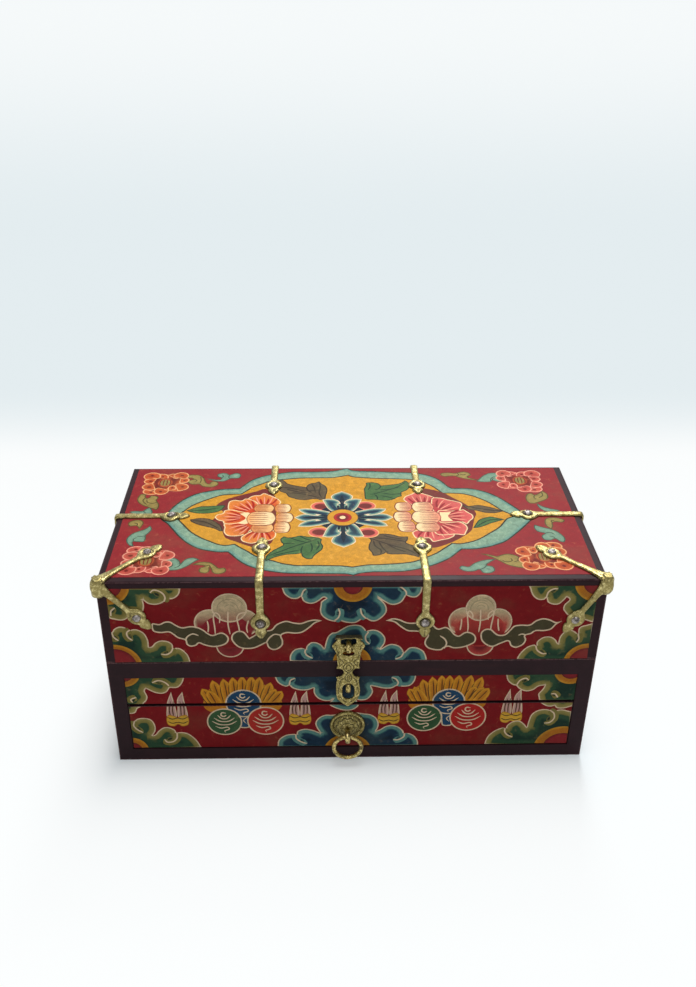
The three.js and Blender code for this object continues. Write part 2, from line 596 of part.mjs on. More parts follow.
// Drawer
const outside = BAY_HALF_WIDTH - DRAWER_GAP;
const inside = outside - DRAWER_WALL;
const drawerLow = BOTTOM + DRAWER_GAP;
const wallTop = drawerLow + DRAWER_WALL_HEIGHT;
const faceTop = BAY_TOP - DRAWER_TOP_GAP;
const faceBack = DRAWER_FRONT_Y + DRAWER_FACE;
const drawerEnd = backInsideY - DRAWER_BACK_GAP;
const rearWallY = drawerEnd - DRAWER_WALL;
const panelLow = drawerLow + DRAWER_BOTTOM_RISE;
const panelTop = panelLow + DRAWER_BOTTOM;
const drawerFace = board([-outside, DRAWER_FRONT_Y, drawerLow], [outside, faceBack, faceTop]);
const drawerLeft = board([-outside, faceBack, drawerLow], [-inside, drawerEnd, wallTop]);
const drawerRight = board([inside, faceBack, drawerLow], [outside, drawerEnd, wallTop]);
const drawerRear = board([-inside, rearWallY, drawerLow], [inside, drawerEnd, wallTop]);
const drawerPanel = board([-inside, faceBack, panelLow], [inside, rearWallY, panelTop]);
const eyeHole = shankHole(FITTING_X, EYE_Z, FRONT - 1, shankHoleEnd);
add("drawer_front", drawerFace.subtract(eyeHole), PAINTED_WOOD);
add("drawer_side_left", drawerLeft, PLAIN_WOOD);
add("drawer_side_right", drawerRight, PLAIN_WOOD);
add("drawer_back", drawerRear, PLAIN_WOOD);
add("drawer_bottom", drawerPanel, PLAIN_WOOD);

// Ring pull: a domed rosette with a rolled rim, an eye through it and a ring in the eye
const rosetteProfile = [
  [0, 0],
  [ROSETTE_RADIUS, 0],
  [ROSETTE_RADIUS, 1.2],
  [ROSETTE_RADIUS - 0.9, 2.3],
  [ROSETTE_RADIUS - 2.2, 2.4],
  [ROSETTE_RADIUS - 3.3, 1.6],
  [ROSETTE_RADIUS - 4.4, 2.3],
  [ROSETTE_RADIUS - 6.4, 3.7],
  [ROSETTE_RADIUS - 8.6, 4.7],
  [ROSETTE_RADIUS - 10.8, ROSETTE_DOME - 0.1],
  [0, ROSETTE_DOME],
];
const rosettePlace = new THREE.Vector3(FITTING_X, DRAWER_FRONT_Y, ROSETTE_Z);
add("pull_rosette", turned(rosetteProfile, RING_STEPS, pointed(OUTWARD.front, rosettePlace))
  .subtract(shankHole(FITTING_X, EYE_Z, domeTop - 1, DRAWER_FRONT_Y + 1)), BRASS_FINISH);
add("pull_eye", eyeStaple(ringPivot, ringEyeHole, shankEnd), BRASS_FINISH);
const ring = new THREE.TorusGeometry(RING_RADIUS, RING_WIRE_RADIUS, WIRE_SIDES + 2, RING_STEPS);
ring.rotateX(Math.PI / 2).translate(ringPivot.x, ringPivot.y, ringPivot.z - RING_RADIUS);
add("pull_ring", solid(ring), BRASS_FINISH);

// Hasp, the staple that carries it and the catch that it drops over
add("hasp_staple_lid", eyeStaple(haspPivot, HASP_BAR_RADIUS + RUNNING_GAP, shankEnd), BRASS_FINISH);
add("hasp_staple_base", eyeStaple(catchCentre, CATCH_HOLE_RADIUS, shankEnd), BRASS_FINISH);
add("hasp_plate", haspPlate(haspPivot), BRASS_FINISH);

// Hinges
for (const [hand, side] of [["left", -1], ["right", 1]]) {
  addHingeLeaf(`hinge_leaf_lid_${hand}`, side * HINGE_X, 1);
  addHingeLeaf(`hinge_leaf_base_${hand}`, side * HINGE_X, -1);
  const pinHalf = HINGE_HALF_WIDTH + PIN_OVERHANG;
  const middle = [side * HINGE_X, hingeAxis.y, hingeAxis.z];
  add(`hinge_pin_${hand}`, rod("x", PIN_RADIUS, -pinHalf, pinHalf, middle, BAR_SIDES), BRASS_FINISH);
}

export default box;
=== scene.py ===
"""Portable shrine box: a painted wooden chest with a hinged lid, a drawer and forged fittings.

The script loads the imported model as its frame, dresses every board and fitting, and paints
the ornament on the lid and the front as thin films of coloured faces.
"""
import logging
import math
from dataclasses import dataclass, field
from enum import Enum
from typing import Any, Callable, Iterable, Sequence

import bmesh
import bpy
import numpy as np
from mathutils import Matrix, Vector, noise
from mathutils.geometry import delaunay_2d_cdt


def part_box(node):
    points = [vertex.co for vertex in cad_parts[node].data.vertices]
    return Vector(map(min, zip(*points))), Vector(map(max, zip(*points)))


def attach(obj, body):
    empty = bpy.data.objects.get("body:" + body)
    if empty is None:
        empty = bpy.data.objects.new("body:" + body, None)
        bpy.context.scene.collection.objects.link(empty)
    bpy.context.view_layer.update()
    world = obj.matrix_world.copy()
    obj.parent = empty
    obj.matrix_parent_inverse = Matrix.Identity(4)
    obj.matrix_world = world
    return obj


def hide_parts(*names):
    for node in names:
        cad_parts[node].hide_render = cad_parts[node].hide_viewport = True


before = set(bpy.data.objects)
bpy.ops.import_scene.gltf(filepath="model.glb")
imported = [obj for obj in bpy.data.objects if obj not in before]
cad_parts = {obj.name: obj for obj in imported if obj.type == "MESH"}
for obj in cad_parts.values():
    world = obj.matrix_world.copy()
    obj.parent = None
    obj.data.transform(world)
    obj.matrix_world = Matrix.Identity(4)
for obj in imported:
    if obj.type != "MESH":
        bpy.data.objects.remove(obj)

LOG = logging.getLogger("shrine_box")

Colour = tuple[float, float, float]
Point = tuple[float, ...]

MM = 0.001
TINY = 1e-9

# The box in millimetres, as the frame holds it
WIDTH = 356.0
DEPTH = 165.0
LID_TOP = 166.0
LID_BOTTOM = 96.0
BASE_TOP = 95.5
FRONT = -DEPTH / 2
PANEL_FRONT = FRONT + 1.0
FITTING_X = -3.2
HASP_PIVOT = (FITTING_X, FRONT - 6.4, 114.0)
HASP_SLOT_DROP = 38.7
HASP_CLOSED_TILT = math.radians(6.5)
BOSS_HALF_WIDTH = 6.9
EYE_WIRE = 1.6

# Paint and metal: thickness, cuts and margins, in millimetres
PAINT_THICKNESS = 0.15
MERGE_DISTANCE = 1e-5
LEAST_PIECE_AREA = 2e-3
BOUNDS_SLACK = 0.02
FILM_MARGIN = 0.05
LEAST_METAL = 0.3

# Softened edges of boards, in degrees and millimetres
DISSOLVE_ANGLE = 3
SOFTENED_ANGLE = 35
LACQUERED_EDGE = 0.5
BARE_EDGE = 0.3

# How steep a spline leaves its points, and how many places are measured at once
SPLINE_REACH = 1.3
CHUNK = 2000


def srgb(red: float, green: float, blue: float) -> Colour:
    """Turn a colour as a painter reads it, 0 to 255, into linear light.

    Args:
        red: Red, 0 to 255.
        green: Green, 0 to 255.
        blue: Blue, 0 to 255.

    Returns:
        The linear colour.
    """
    def linear(value: float) -> float:
        """Undo the display curve of one channel."""
        share = value / 255
        return share / 12.92 if share <= 0.04045 else ((share + 0.055) / 1.055) ** 2.4
    return linear(red), linear(green), linear(blue)


RED = srgb(146, 42, 46)
RED_DEEP = srgb(122, 34, 40)
OCHRE = srgb(212, 150, 44)
OCHRE_DEEP = srgb(188, 116, 36)
TEAL = srgb(98, 146, 136)
TEAL_PALE = srgb(134, 166, 142)
TEAL_DEEP = srgb(52, 98, 104)
NAVY = srgb(28, 54, 74)
NAVY_DEEP = srgb(18, 34, 50)
PETAL_BLUE = srgb(56, 96, 108)
CREAM = srgb(238, 212, 176)
CREAM_WARM = srgb(246, 218, 168)
INK = srgb(48, 44, 38)
GREEN = srgb(46, 78, 54)
GREEN_DEEP = srgb(28, 54, 42)
GREEN_DARK = srgb(18, 38, 34)
OLIVE = srgb(136, 124, 64)
OLIVE_PALE = srgb(160, 146, 84)
LEAF = srgb(76, 114, 66)
LEAF_DEEP = srgb(36, 62, 44)
LEAF_BROWN = srgb(100, 84, 62)
LEAF_BROWN_DEEP = srgb(58, 48, 38)
RIBBON = srgb(78, 70, 48)
MAROON = srgb(116, 44, 42)
CORAL_DEEP = srgb(204, 46, 30)
PINK = srgb(222, 104, 92)
PINK_DEEP = srgb(176, 48, 56)
PEACH = srgb(240, 184, 120)
PEACH_DEEP = srgb(220, 140, 80)
SALMON = srgb(238, 158, 132)
SALMON_DEEP = srgb(176, 66, 62)
APRICOT = srgb(238, 168, 104)
RUST = srgb(190, 80, 44)
JEWEL_RED = srgb(196, 44, 40)
JEWEL_GREEN = srgb(56, 92, 58)
JEWEL_BLUE = srgb(36, 74, 106)
HORN = srgb(206, 160, 148)
BEIGE = srgb(214, 190, 148)
RED_FRONT = srgb(132, 24, 28)
JEWEL_WINE = srgb(150, 44, 52)
JEWEL_ROSE = srgb(196, 74, 66)
INK_BROWN = srgb(86, 56, 30)
FOOT_YELLOW = srgb(228, 176, 60)
FLAME = srgb(232, 164, 48)
FLAME_DEEP = srgb(206, 128, 36)
FLAME_EDGE = srgb(176, 104, 30)
BAND_LINE = srgb(46, 50, 40)
CORAL_PALE = srgb(232, 140, 62)
PINK_PALE = srgb(224, 104, 98)
PINK_SOFT = srgb(232, 140, 112)
PEACH_PALE = srgb(250, 218, 166)
OLIVE_TOP = srgb(146, 128, 72)
TEAL_TOP = srgb(116, 148, 126)
LOBE_SHADE = srgb(120, 34, 28)
ORANGE_LOBE = (srgb(196, 86, 44), srgb(236, 170, 116))
PINK_LOBE = (srgb(194, 82, 70), srgb(234, 156, 132))


# Outlines

def smooth(points: Sequence[Point], closed: bool = True, step: float = 1.0) -> np.ndarray:
    """Run a spline through given points.

    Args:
        points: Places in millimetres. A place with a third number is a sharp corner.
        closed: Whether the spline returns to its start.
        step: The greatest distance between two places of the result.

    Returns:
        The spline's places, one row each.
    """
    place = np.array([point[:2] for point in points], dtype=float)
    sharp = [len(point) > 2 for point in points]
    count = len(points)
    spans = count if closed else count - 1
    result = []
    for i in range(spans):
        j = (i + 1) % count
        before = place[(i - 1) % count] if closed or i > 0 else place[i]
        after = place[(j + 1) % count] if closed or j < count - 1 else place[j]
        start, end = place[i], place[j]
        chord = end - start
        reach = float(np.hypot(*chord))
        leave = chord if sharp[i] or not (closed or i > 0) else (end - before) / 2
        arrive = chord if sharp[j] or not (closed or j < count - 1) else (after - start) / 2
        leave, arrive = (slope * min(1.0, reach / max(float(np.hypot(*slope)), TINY) * SPLINE_REACH)
                         for slope in (leave, arrive))
        steps = max(2, math.ceil(reach / step))
        for t in np.arange(steps) / steps:
            a = 2 * t ** 3 - 3 * t ** 2 + 1
            b = t ** 3 - 2 * t ** 2 + t
            c = -2 * t ** 3 + 3 * t ** 2
            d = t ** 3 - t ** 2
            result.append(a * start + b * leave + c * end + d * arrive)
    if not closed:
        result.append(place[-1])
    return np.array(result)


def oval(centre: Point, half: Point, turn: float = 0.0, step: float = 1.0) -> np.ndarray:
    """Give the outline of an ellipse.

    Args:
        centre: Its centre in millimetres.
        half: Its half width and half height.
        turn: How far it is turned, in degrees.
        step: The distance between two places of the result.

    Returns:
        The outline's places.
    """
    count = max(10, math.ceil(math.pi * (half[0] + half[1]) / step))
    angle = np.linspace(0, 2 * math.pi, count, endpoint=False)
    flat = np.stack([half[0] * np.cos(angle), half[1] * np.sin(angle)], axis=1)
    c, s = math.cos(math.radians(turn)), math.sin(math.radians(turn))
    return flat @ np.array([[c, s], [-s, c]]) + np.array(centre[:2])


def signed_area(outline: np.ndarray) -> float:
    """Give an outline's area, positive where it runs anticlockwise."""
    ahead = np.roll(outline, -1, axis=0)
    return float(np.sum(outline[:, 0] * ahead[:, 1] - ahead[:, 0] * outline[:, 1]) / 2)


def gap_to(places: np.ndarray, outline: np.ndarray) -> np.ndarray:
    """Measure how far places lie from a closed outline.

    Args:
        places: The places, one row each.
        outline: The outline's places, in order.

    Returns:
        The distance of each place.
    """
    way = np.roll(outline, -1, axis=0) - outline
    length = np.maximum((way ** 2).sum(axis=1), 1e-12)
    best = np.full(len(places), np.inf)
    for low in range(0, len(places), CHUNK):
        part = places[low:low + CHUNK]
        offset = part[:, None, :] - outline[None, :, :]
        share = np.clip((offset * way).sum(axis=2) / length, 0, 1)
        near = offset - share[:, :, None] * way
        best[low:low + CHUNK] = np.sqrt((near ** 2).sum(axis=2).min(axis=1))
    return best


def left_of(ways: np.ndarray) -> np.ndarray:
    """Turn ways a quarter to the left and make each of them 1 long."""
    ways = ways / np.maximum(np.hypot(ways[:, 0], ways[:, 1])[:, None], TINY)
    return np.stack([-ways[:, 1], ways[:, 0]], axis=1)


def inward_of(outline: np.ndarray) -> np.ndarray:
    """Give the way inward at each place of an anticlockwise outline."""
    return left_of(np.roll(outline, -1, axis=0) - np.roll(outline, 1, axis=0))


def triangulate(places: np.ndarray, faces: list[list[int]]) -> tuple[np.ndarray, Sequence, Sequence]:
    """Cut the plane along the edges of faces.

    Args:
        places: Every place that the result has, one row each.
        faces: The numbers of each face's corners, in order.

    Returns:
        The places of the result, its cells and the faces that each of them lies in.
    """
    coords = [Vector((float(x), float(y))) for x, y in places]
    verts, _, cells, _, _, origins = delaunay_2d_cdt(coords, [], faces, 0, MERGE_DISTANCE)
    return np.array([(v.x, v.y) for v in verts]), cells, origins


def compact(places: np.ndarray, cells: np.ndarray) -> tuple[np.ndarray, np.ndarray]:
    """Drop the places that no cell uses.

    Args:
        places: The places, one row each.
        cells: The numbers of each cell's corners.

    Returns:
        The places that are left and the cells with their new numbers.
    """
    used = np.unique(cells)
    renumber = -np.ones(len(places), dtype=int)
    renumber[used] = np.arange(len(used))
    return places[used], renumber[cells]


def scaled(colour: Colour, share: float) -> Colour:
    """Give a colour darker or lighter by a share."""
    return tuple(value * share for value in colour)


@dataclass(frozen=True)
class Fade:
    """A blend towards another colour along a line.

    Attributes:
        start: Where the blend begins.
        end: Where it is full.
        colour: The colour it reaches.
        rim: The width along the outline that stays clear of it.
    """

    start: Point
    end: Point
    colour: Colour
    rim: float = 0.9

    def share(self, places: np.ndarray, gap: np.ndarray) -> np.ndarray:
        """Give the strength of the blend at places that lie a gap from the outline.

        Args:
            places: The places, one row each.
            gap: How far each of them lies from the outline.

        Returns:
            The strengths, 0 to 1.
        """
        way = np.array(self.end[:2]) - np.array(self.start[:2])
        along = ((places - np.array(self.start[:2])) @ way) / float(way @ way)
        return np.clip(along, 0, 1) * np.clip((gap - self.rim) / 0.4, 0, 1)


@dataclass(frozen=True)
class Tone:
    """The colours of one painted shape.

    Attributes:
        stops: Pairs of a distance from the outline in millimetres and the colour there.
        mottle: How cloudy the pigment lies, 0 to 1.
        fade: A blend along a line, or none.
    """

    stops: tuple[tuple[float, Colour], ...]
    mottle: float = 0.35
    fade: Fade | None = None

    def at(self, places: np.ndarray, gap: np.ndarray) -> np.ndarray:
        """Colour places.

        Args:
            places: The places, one row each.
            gap: How far each lies from the outline.

        Returns:
            Red, green, blue and mottle for each place.
        """
        depths = [stop[0] for stop in self.stops]
        shades = np.array([stop[1] for stop in self.stops])
        colour = np.stack([np.interp(gap, depths, shades[:, i]) for i in range(3)], axis=1)
        if self.fade is not None:
            share = self.fade.share(places, gap)[:, None]
            colour = colour * (1 - share) + np.array(self.fade.colour) * share
        return np.concatenate([colour, np.full((len(places), 1), self.mottle)], axis=1)


def plain(colour: Colour, mottle: float = 0.35) -> Tone:
    """Give a tone of one colour."""
    return Tone(((0.0, colour),), mottle)


def lined(line: Colour, inside: Colour, deep: Colour | None = None, width: float = 0.8,
          reach: float = 5.0, fade: Fade | None = None, mottle: float = 0.35) -> Tone:
    """Give a tone with a painted line along its outline.

    Args:
        line: The line's colour.
        inside: The colour next to the line.
        deep: The colour further in, or none.
        width: The line's width in millimetres.
        reach: How far in the deep colour is full.
        fade: A blend along a line, or none.
        mottle: How cloudy the pigment lies.

    Returns:
        The tone.
    """
    stops = [(0.0, line), (width, line), (width + 0.2, inside)]
    if deep is not None:
        stops.append((reach, deep))
    return Tone(tuple(stops), mottle, fade)


class Side(Enum):
    """The two faces of the box that carry paint."""

    TOP = "top"
    FRONT = "front"

    def to_space(self, flat: np.ndarray, level: float, proud: float) -> np.ndarray:
        """Lift flat places on to a face.

        Args:
            flat: Places across and along the face, in millimetres.
            level: The height of the top, or the depth of the front.
            proud: How far they stand off the wood.

        Returns:
            The places in metres.
        """
        space = np.empty((len(flat), 3))
        space[:, 0] = flat[:, 0]
        if self is Side.TOP:
            space[:, 1] = flat[:, 1]
            space[:, 2] = level + proud
        else:
            space[:, 1] = level - proud
            space[:, 2] = flat[:, 1]
        return space * MM


@dataclass
class Layer:
    """One shape of a painting, drawn over those before it."""

    outline: np.ndarray
    tone: Tone
    faces: list[np.ndarray]


@dataclass
class PaintFilm:
    """A film of paint on one board, cut into faces along every painted line.

    Attributes:
        name: The name of the piece.
        body: The body that it rides on.
        side: The face of the box that it lies on.
        level: The height or depth of the bare wood.
        low: Its lowest corner on the face.
        high: Its highest corner.
        ground: The tone of the ground.
        layers: The shapes painted on it, the ground first.
        grid: The distance between the free places of its shading.
        kept_share: How much of its depth a shading place keeps, or else it is left out.
    """

    name: str
    body: str
    side: Side
    level: float
    low: Point
    high: Point
    ground: Tone
    layers: list[Layer] = field(default_factory=list)
    grid: float = 3.0
    kept_share: float = 0.93

    def __post_init__(self) -> None:
        """Lay the ground as the first layer."""
        (x0, y0), (x1, y1) = self.low, self.high
        edge = np.array([(x0, y0), (x1, y0), (x1, y1), (x0, y1)], dtype=float)
        self.layers.append(Layer(edge, self.ground, [edge]))

    def shape(self, outline: np.ndarray, tone: Tone) -> None:
        """Paint a closed shape.

        Args:
            outline: The shape's outline, one row for each place.
            tone: Its tone.
        """
        if signed_area(outline) < 0:
            outline = outline[::-1]
        self.layers.append(Layer(outline, tone, [outline]))

    def fill(self, points: Sequence[Point], tone: Tone, step: float = 1.0) -> None:
        """Paint a shape whose outline runs through given points."""
        self.shape(smooth(points, True, step), tone)

    def stroke(self, points: Sequence[Point], width: float, colour: Colour,
               start: float = 0.3, end: float = 0.3, mottle: float = 0.2, step: float = 1.2) -> None:
        """Draw a brush line that swells in its middle.

        Args:
            points: The places that it runs through.
            width: Its full width in millimetres.
            colour: Its colour.
            start: Its width at the start, as a share.
            end: Its width at the end, as a share.
            mottle: How cloudy the pigment lies.
            step: The length of its pieces.
        """
        line = smooth(points, False, step)
        across = left_of(np.gradient(line, axis=0))
        along = np.linspace(0, 1, len(line))
        swell = np.minimum(1.0, np.minimum(start + along * 4, end + (1 - along) * 4))
        half = (width / 2 * swell)[:, None]
        left, right = line + across * half, line - across * half
        pieces = []
        for i in range(len(line) - 1):
            for corners in ([right[i], right[i + 1], left[i + 1]], [right[i], left[i + 1], left[i]]):
                piece = np.array(corners)
                area = signed_area(piece)
                if abs(area) > LEAST_PIECE_AREA:
                    pieces.append(piece if area > 0 else piece[::-1])
        self.layers.append(Layer(line, plain(colour, mottle), pieces))

    def _inside(self, places: np.ndarray) -> np.ndarray:
        """Keep the places that lie well inside the film."""
        low, high = np.array(self.low) + FILM_MARGIN, np.array(self.high) - FILM_MARGIN
        return places[((places > low) & (places < high)).all(axis=1)]

    def _shading_points(self) -> np.ndarray:
        """Give the free points that carry each shape's bands of colour.

        Returns:
            The points, one row each.
        """
        (x0, y0), (x1, y1) = self.low, self.high
        xs = np.arange(x0 + self.grid / 2, x1, self.grid)
        ys = np.arange(y0 + self.grid / 2, y1, self.grid)
        points = [np.stack(np.meshgrid(xs, ys), axis=-1).reshape(-1, 2)]
        for layer in self.layers[1:]:
            if len(layer.faces) > 1:
                continue
            outline = layer.outline
            inward = inward_of(outline)
            for depth, _ in layer.tone.stops[1:]:
                ring = outline + inward * depth
                points.append(ring[gap_to(ring, outline) > depth * self.kept_share])
        return self._inside(np.concatenate(points))

    def _cut(self) -> tuple[np.ndarray, np.ndarray, np.ndarray]:
        """Cut the film along every line.

        Returns:
            The places, the triangles and the top layer of each triangle.
        """
        outlines: list[np.ndarray] = []
        faces: list[list[int]] = []
        owner: list[int] = []
        count = 0
        for index, layer in enumerate(self.layers):
            for outline in layer.faces:
                outlines.append(outline)
                faces.append(list(range(count, count + len(outline))))
                owner.append(index)
                count += len(outline)
        spots, cells, origins = triangulate(np.concatenate([*outlines, self._shading_points()]), faces)
        painted = [(cell, origin) for cell, origin in zip(cells, origins) if 0 in origin and len(cell) == 3]
        kept = np.array([cell for cell, _ in painted])
        pairs = np.array([(k, i) for k, (_, origin) in enumerate(painted) for i in origin])
        # A piece may colour only what lies within its own bounds
        low = np.array([outline.min(axis=0) for outline in outlines]) - BOUNDS_SLACK
        high = np.array([outline.max(axis=0) for outline in outlines]) + BOUNDS_SLACK
        middle = spots[kept].mean(axis=1)[pairs[:, 0]]
        own = ((middle > low[pairs[:, 1]]) & (middle < high[pairs[:, 1]])).all(axis=1)
        tops = np.zeros(len(kept), dtype=int)
        np.maximum.at(tops, pairs[own, 0], np.array(owner)[pairs[own, 1]])
        return spots, kept, tops

    def _colour(self, places: np.ndarray, cells: np.ndarray, tops: np.ndarray) -> np.ndarray:
        """Colour the corners of every triangle from its top layer.

        Args:
            places: The places of the film, one row each.
            cells: The numbers of each triangle's corners.
            tops: The number of each triangle's top layer.

        Returns:
            The colours, three for each triangle.
        """
        colours = np.empty((len(cells), 3, 4))
        for index in np.unique(tops):
            layer = self.layers[index]
            chosen = tops == index
            corners = places[cells[chosen]].reshape(-1, 2)
            if len(layer.tone.stops) > 1 or layer.tone.fade is not None:
                unique, back = np.unique(corners.round(6), axis=0, return_inverse=True)
                gap = gap_to(unique, layer.outline)
                values = layer.tone.at(unique, gap)[back.ravel()]
            else:
                values = layer.tone.at(corners, np.zeros(len(corners)))
            colours[chosen] = values.reshape(-1, 3, 4)
        return colours

    @staticmethod
    def _rim(triangles: np.ndarray) -> list[int]:
        """Give the places round the film's edge, in order.

        Args:
            triangles: The numbers of each triangle's corners.

        Returns:
            The numbers of the places.
        """
        edges = {(int(a), int(b)) for t in triangles for a, b in zip(t, np.roll(t, -1))}
        following = {a: b for a, b in edges if (b, a) not in edges}
        loop = [min(following)]
        while following[loop[-1]] != loop[0]:
            loop.append(following[loop[-1]])
        return loop

    def build(self, material: bpy.types.Material) -> bpy.types.Object:
        """Make the film, closed on every side.

        Args:
            material: The paint's material.

        Returns:
            The film's object.
        """
        places, cells, tops = self._cut()
        places, triangles = compact(places, cells)
        colours = self._colour(places, triangles, tops)
        area = np.cross(places[triangles[:, 1]] - places[triangles[:, 0]],
                        places[triangles[:, 2]] - places[triangles[:, 0]])
        flip = area < 0
        triangles[flip] = triangles[flip][:, ::-1]
        colours[flip] = colours[flip][:, ::-1]
        loop = self._rim(triangles)
        upper = self.side.to_space(places, self.level, PAINT_THICKNESS)
        lower = self.side.to_space(places[loop], self.level, 0.0)
        under = {v: len(places) + i for i, v in enumerate(loop)}
        faces = [tuple(int(v) for v in t) for t in triangles]
        for i, a in enumerate(loop):
            b = loop[(i + 1) % len(loop)]
            faces.append((a, under[a], under[b], b))
        faces.append(tuple(under[v] for v in reversed(loop)))
        mesh = bpy.data.meshes.new(self.name)
        mesh.from_pydata(np.concatenate([upper, lower]).tolist(), [], faces)
        attribute = mesh.color_attributes.new("paint", "FLOAT_COLOR", "CORNER")
        values = np.tile(np.array([*RED_DEEP, 0.3]), (len(mesh.loops), 1))
        values[:len(triangles) * 3] = colours.reshape(-1, 4)
        attribute.data.foreach_set("color", values.ravel())
        mesh.update()
        film = bpy.data.objects.new(self.name, mesh)
        bpy.context.scene.collection.objects.link(film)
        mesh.materials.append(material)
        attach(film, self.body)
        LOG.info("%s: %d layers, %d faces", self.name, len(self.layers), len(faces))
        return film


# Shader graphs

class Wire:
    """One output of a shader graph, with the arithmetic of numbers on it."""

    def __init__(self, graph: "Graph", node: bpy.types.Node, socket: bpy.types.NodeSocket) -> None:
        """Wrap a node's output socket.

        Args:
            graph: The graph that the node is in.
            node: The node.
            socket: Its output socket.
        """
        self.graph = graph
        self.node = node
        self.socket = socket

    def of(self, name: str) -> "Wire":
        """Give another output of the same node."""
        return Wire(self.graph, self.node, self.node.outputs[name])

    def math(self, operation: str, *others: Any) -> "Wire":
        """Add a Math node whose first value is this one."""
        return self.graph.add("ShaderNodeMath", {"operation": operation},
                              dict(enumerate((self, *others))))

    def __add__(self, other: Any) -> "Wire":
        """Give the sum."""
        return self.math("ADD", other)

    def __sub__(self, other: Any) -> "Wire":
        """Give the difference."""
        return self.math("SUBTRACT", other)

    def __rsub__(self, other: float) -> "Wire":
        """Give a number less this value."""
        return self.graph.add("ShaderNodeMath", {"operation": "SUBTRACT"}, {0: other, 1: self})

    def __mul__(self, other: Any) -> "Wire":
        """Give the product."""
        return self.math("MULTIPLY", other)

    __radd__ = __add__
    __rmul__ = __mul__

    def band(self, low: float, high: float) -> "Wire":
        """Rise smoothly from 0 at one value to 1 at another."""
        return self.graph.add("ShaderNodeMapRange", {"interpolation_type": "SMOOTHSTEP"},
                              {"Value": self, "From Min": low, "From Max": high})


class Graph:
    """The node tree of one material or of the world."""

    def __init__(self, tree: bpy.types.ShaderNodeTree) -> None:
        """Start with an empty tree."""
        self.tree = tree
        tree.nodes.clear()

    def add(self, kind: str, settings: dict[str, Any] | None = None,
            inputs: dict[int | str, Any] | None = None, output: int | str = 0) -> Wire:
        """Add a node.

        Args:
            kind: The node's type.
            settings: Its properties, set first. "stops" gives a ramp's places and colours.
            inputs: Values or wires for its sockets, by number, name or identifier.
            output: The output that the result gives.

        Returns:
            The node's output.
        """
        node = self.tree.nodes.new(kind)
        for key, value in (settings or {}).items():
            if key == "stops":
                self._set_stops(node.color_ramp, value)
            else:
                setattr(node, key, value)
        for key, value in (inputs or {}).items():
            socket = self._socket(node.inputs, key)
            if isinstance(value, Wire):
                self.tree.links.new(value.socket, socket)
            elif isinstance(value, tuple) and len(value) == 3 and socket.type == "RGBA":
                socket.default_value = (*value, 1.0)
            else:
                socket.default_value = value
        outputs = [s for s in node.outputs if output in (s.identifier, s.name)]
        if not node.outputs:
            return Wire(self, node, None)
        return Wire(self, node, outputs[0] if outputs else node.outputs[output])

    @staticmethod
    def _socket(sockets: Any, key: int | str) -> bpy.types.NodeSocket:
        """Find a socket by its number, identifier or name.

        Args:
            sockets: The sockets of a node.
            key: The number, identifier or name.

        Returns:
            The socket.
        """
        if isinstance(key, int):
            return sockets[key]
        exact = [socket for socket in sockets if socket.identifier == key]
        return exact[0] if exact else sockets[key]

    @staticmethod
    def _set_stops(ramp: bpy.types.ColorRamp, stops: Iterable[tuple[float, Colour]]) -> None:
        """Give a ramp its stops.

        Args:
            ramp: The ramp.
            stops: The place and the colour of each stop.
        """
        for index, (place, colour) in enumerate(stops):
            element = ramp.elements[index] if index < 2 else ramp.elements.new(place)
            element.position = place
            element.color = (*colour, 1.0)

    def place(self, stretch: Point = (1.0, 1.0, 1.0), turn: Point = (0.0, 0.0, 0.0)) -> Wire:
        """Give the place on the object at rest, turned and then stretched."""
        where = self.add("ShaderNodeTexCoord", output="Object")
        return self.add("ShaderNodeMapping", {}, {"Vector": where, "Scale": stretch, "Rotation": turn})

    def noise(self, where: Wire, size: float, detail: float = 4.0, rough: float = 0.55,
              swirl: float = 0.0) -> Wire:
        """Give cloudy noise about 0.5.

        Args:
            where: The place that it is read at.
            size: The size of its clouds in millimetres.
            detail: How many finer layers it has.
            rough: The strength of the finer layers.
            swirl: How far the clouds are drawn out.

        Returns:
            The noise.
        """
        values = {"Vector": where, "Scale": 1 / (size * MM), "Detail": detail,
                  "Roughness": rough, "Distortion": swirl}
        return self.add("ShaderNodeTexNoise", {}, values)

    def cells(self, where: Wire, size: float, feature: str = "F1") -> Wire:
        """Give the distance within cells of a size in millimetres."""
        return self.add("ShaderNodeTexVoronoi", {"feature": feature},
                        {"Vector": where, "Scale": 1 / (size * MM)}, "Distance")

    def mix(self, first: Any, second: Any, share: Any, blend: str = "MIX") -> Wire:
        """Mix two colours."""
        return self.add("ShaderNodeMix", {"data_type": "RGBA", "blend_type": blend},
                        {"Factor_Float": share, "A_Color": first, "B_Color": second}, "Result_Color")

    def shade(self, colour: Any, value: Any) -> Wire:
        """Scale a colour by a number."""
        return self.add("ShaderNodeVectorMath", {"operation": "SCALE"}, {0: colour, "Scale": value})

    def bump(self, height: Wire, depth: float, strength: float = 1.0) -> Wire:
        """Give a normal from a height whose full depth is in millimetres."""
        return self.add("ShaderNodeBump", {}, {"Height": height, "Distance": depth * MM,
                                               "Strength": strength})

    def finish(self, **values: Any) -> None:
        """End a material in a Principled shader whose sockets have the given names."""
        named = {key.replace("_", " ").title().replace("Ior", "IOR"): value
                 for key, value in values.items()}
        shader = self.add("ShaderNodeBsdfPrincipled", {}, named)
        self.add("ShaderNodeOutputMaterial", {}, {"Surface": shader})


def new_material(name: str) -> tuple[bpy.types.Material, Graph]:
    """Make a material and its empty graph.

    Args:
        name: Its name.

    Returns:
        The material and its graph.
    """
    material = bpy.data.materials.new(name)
    material.use_nodes = True
    return material, Graph(material.node_tree)


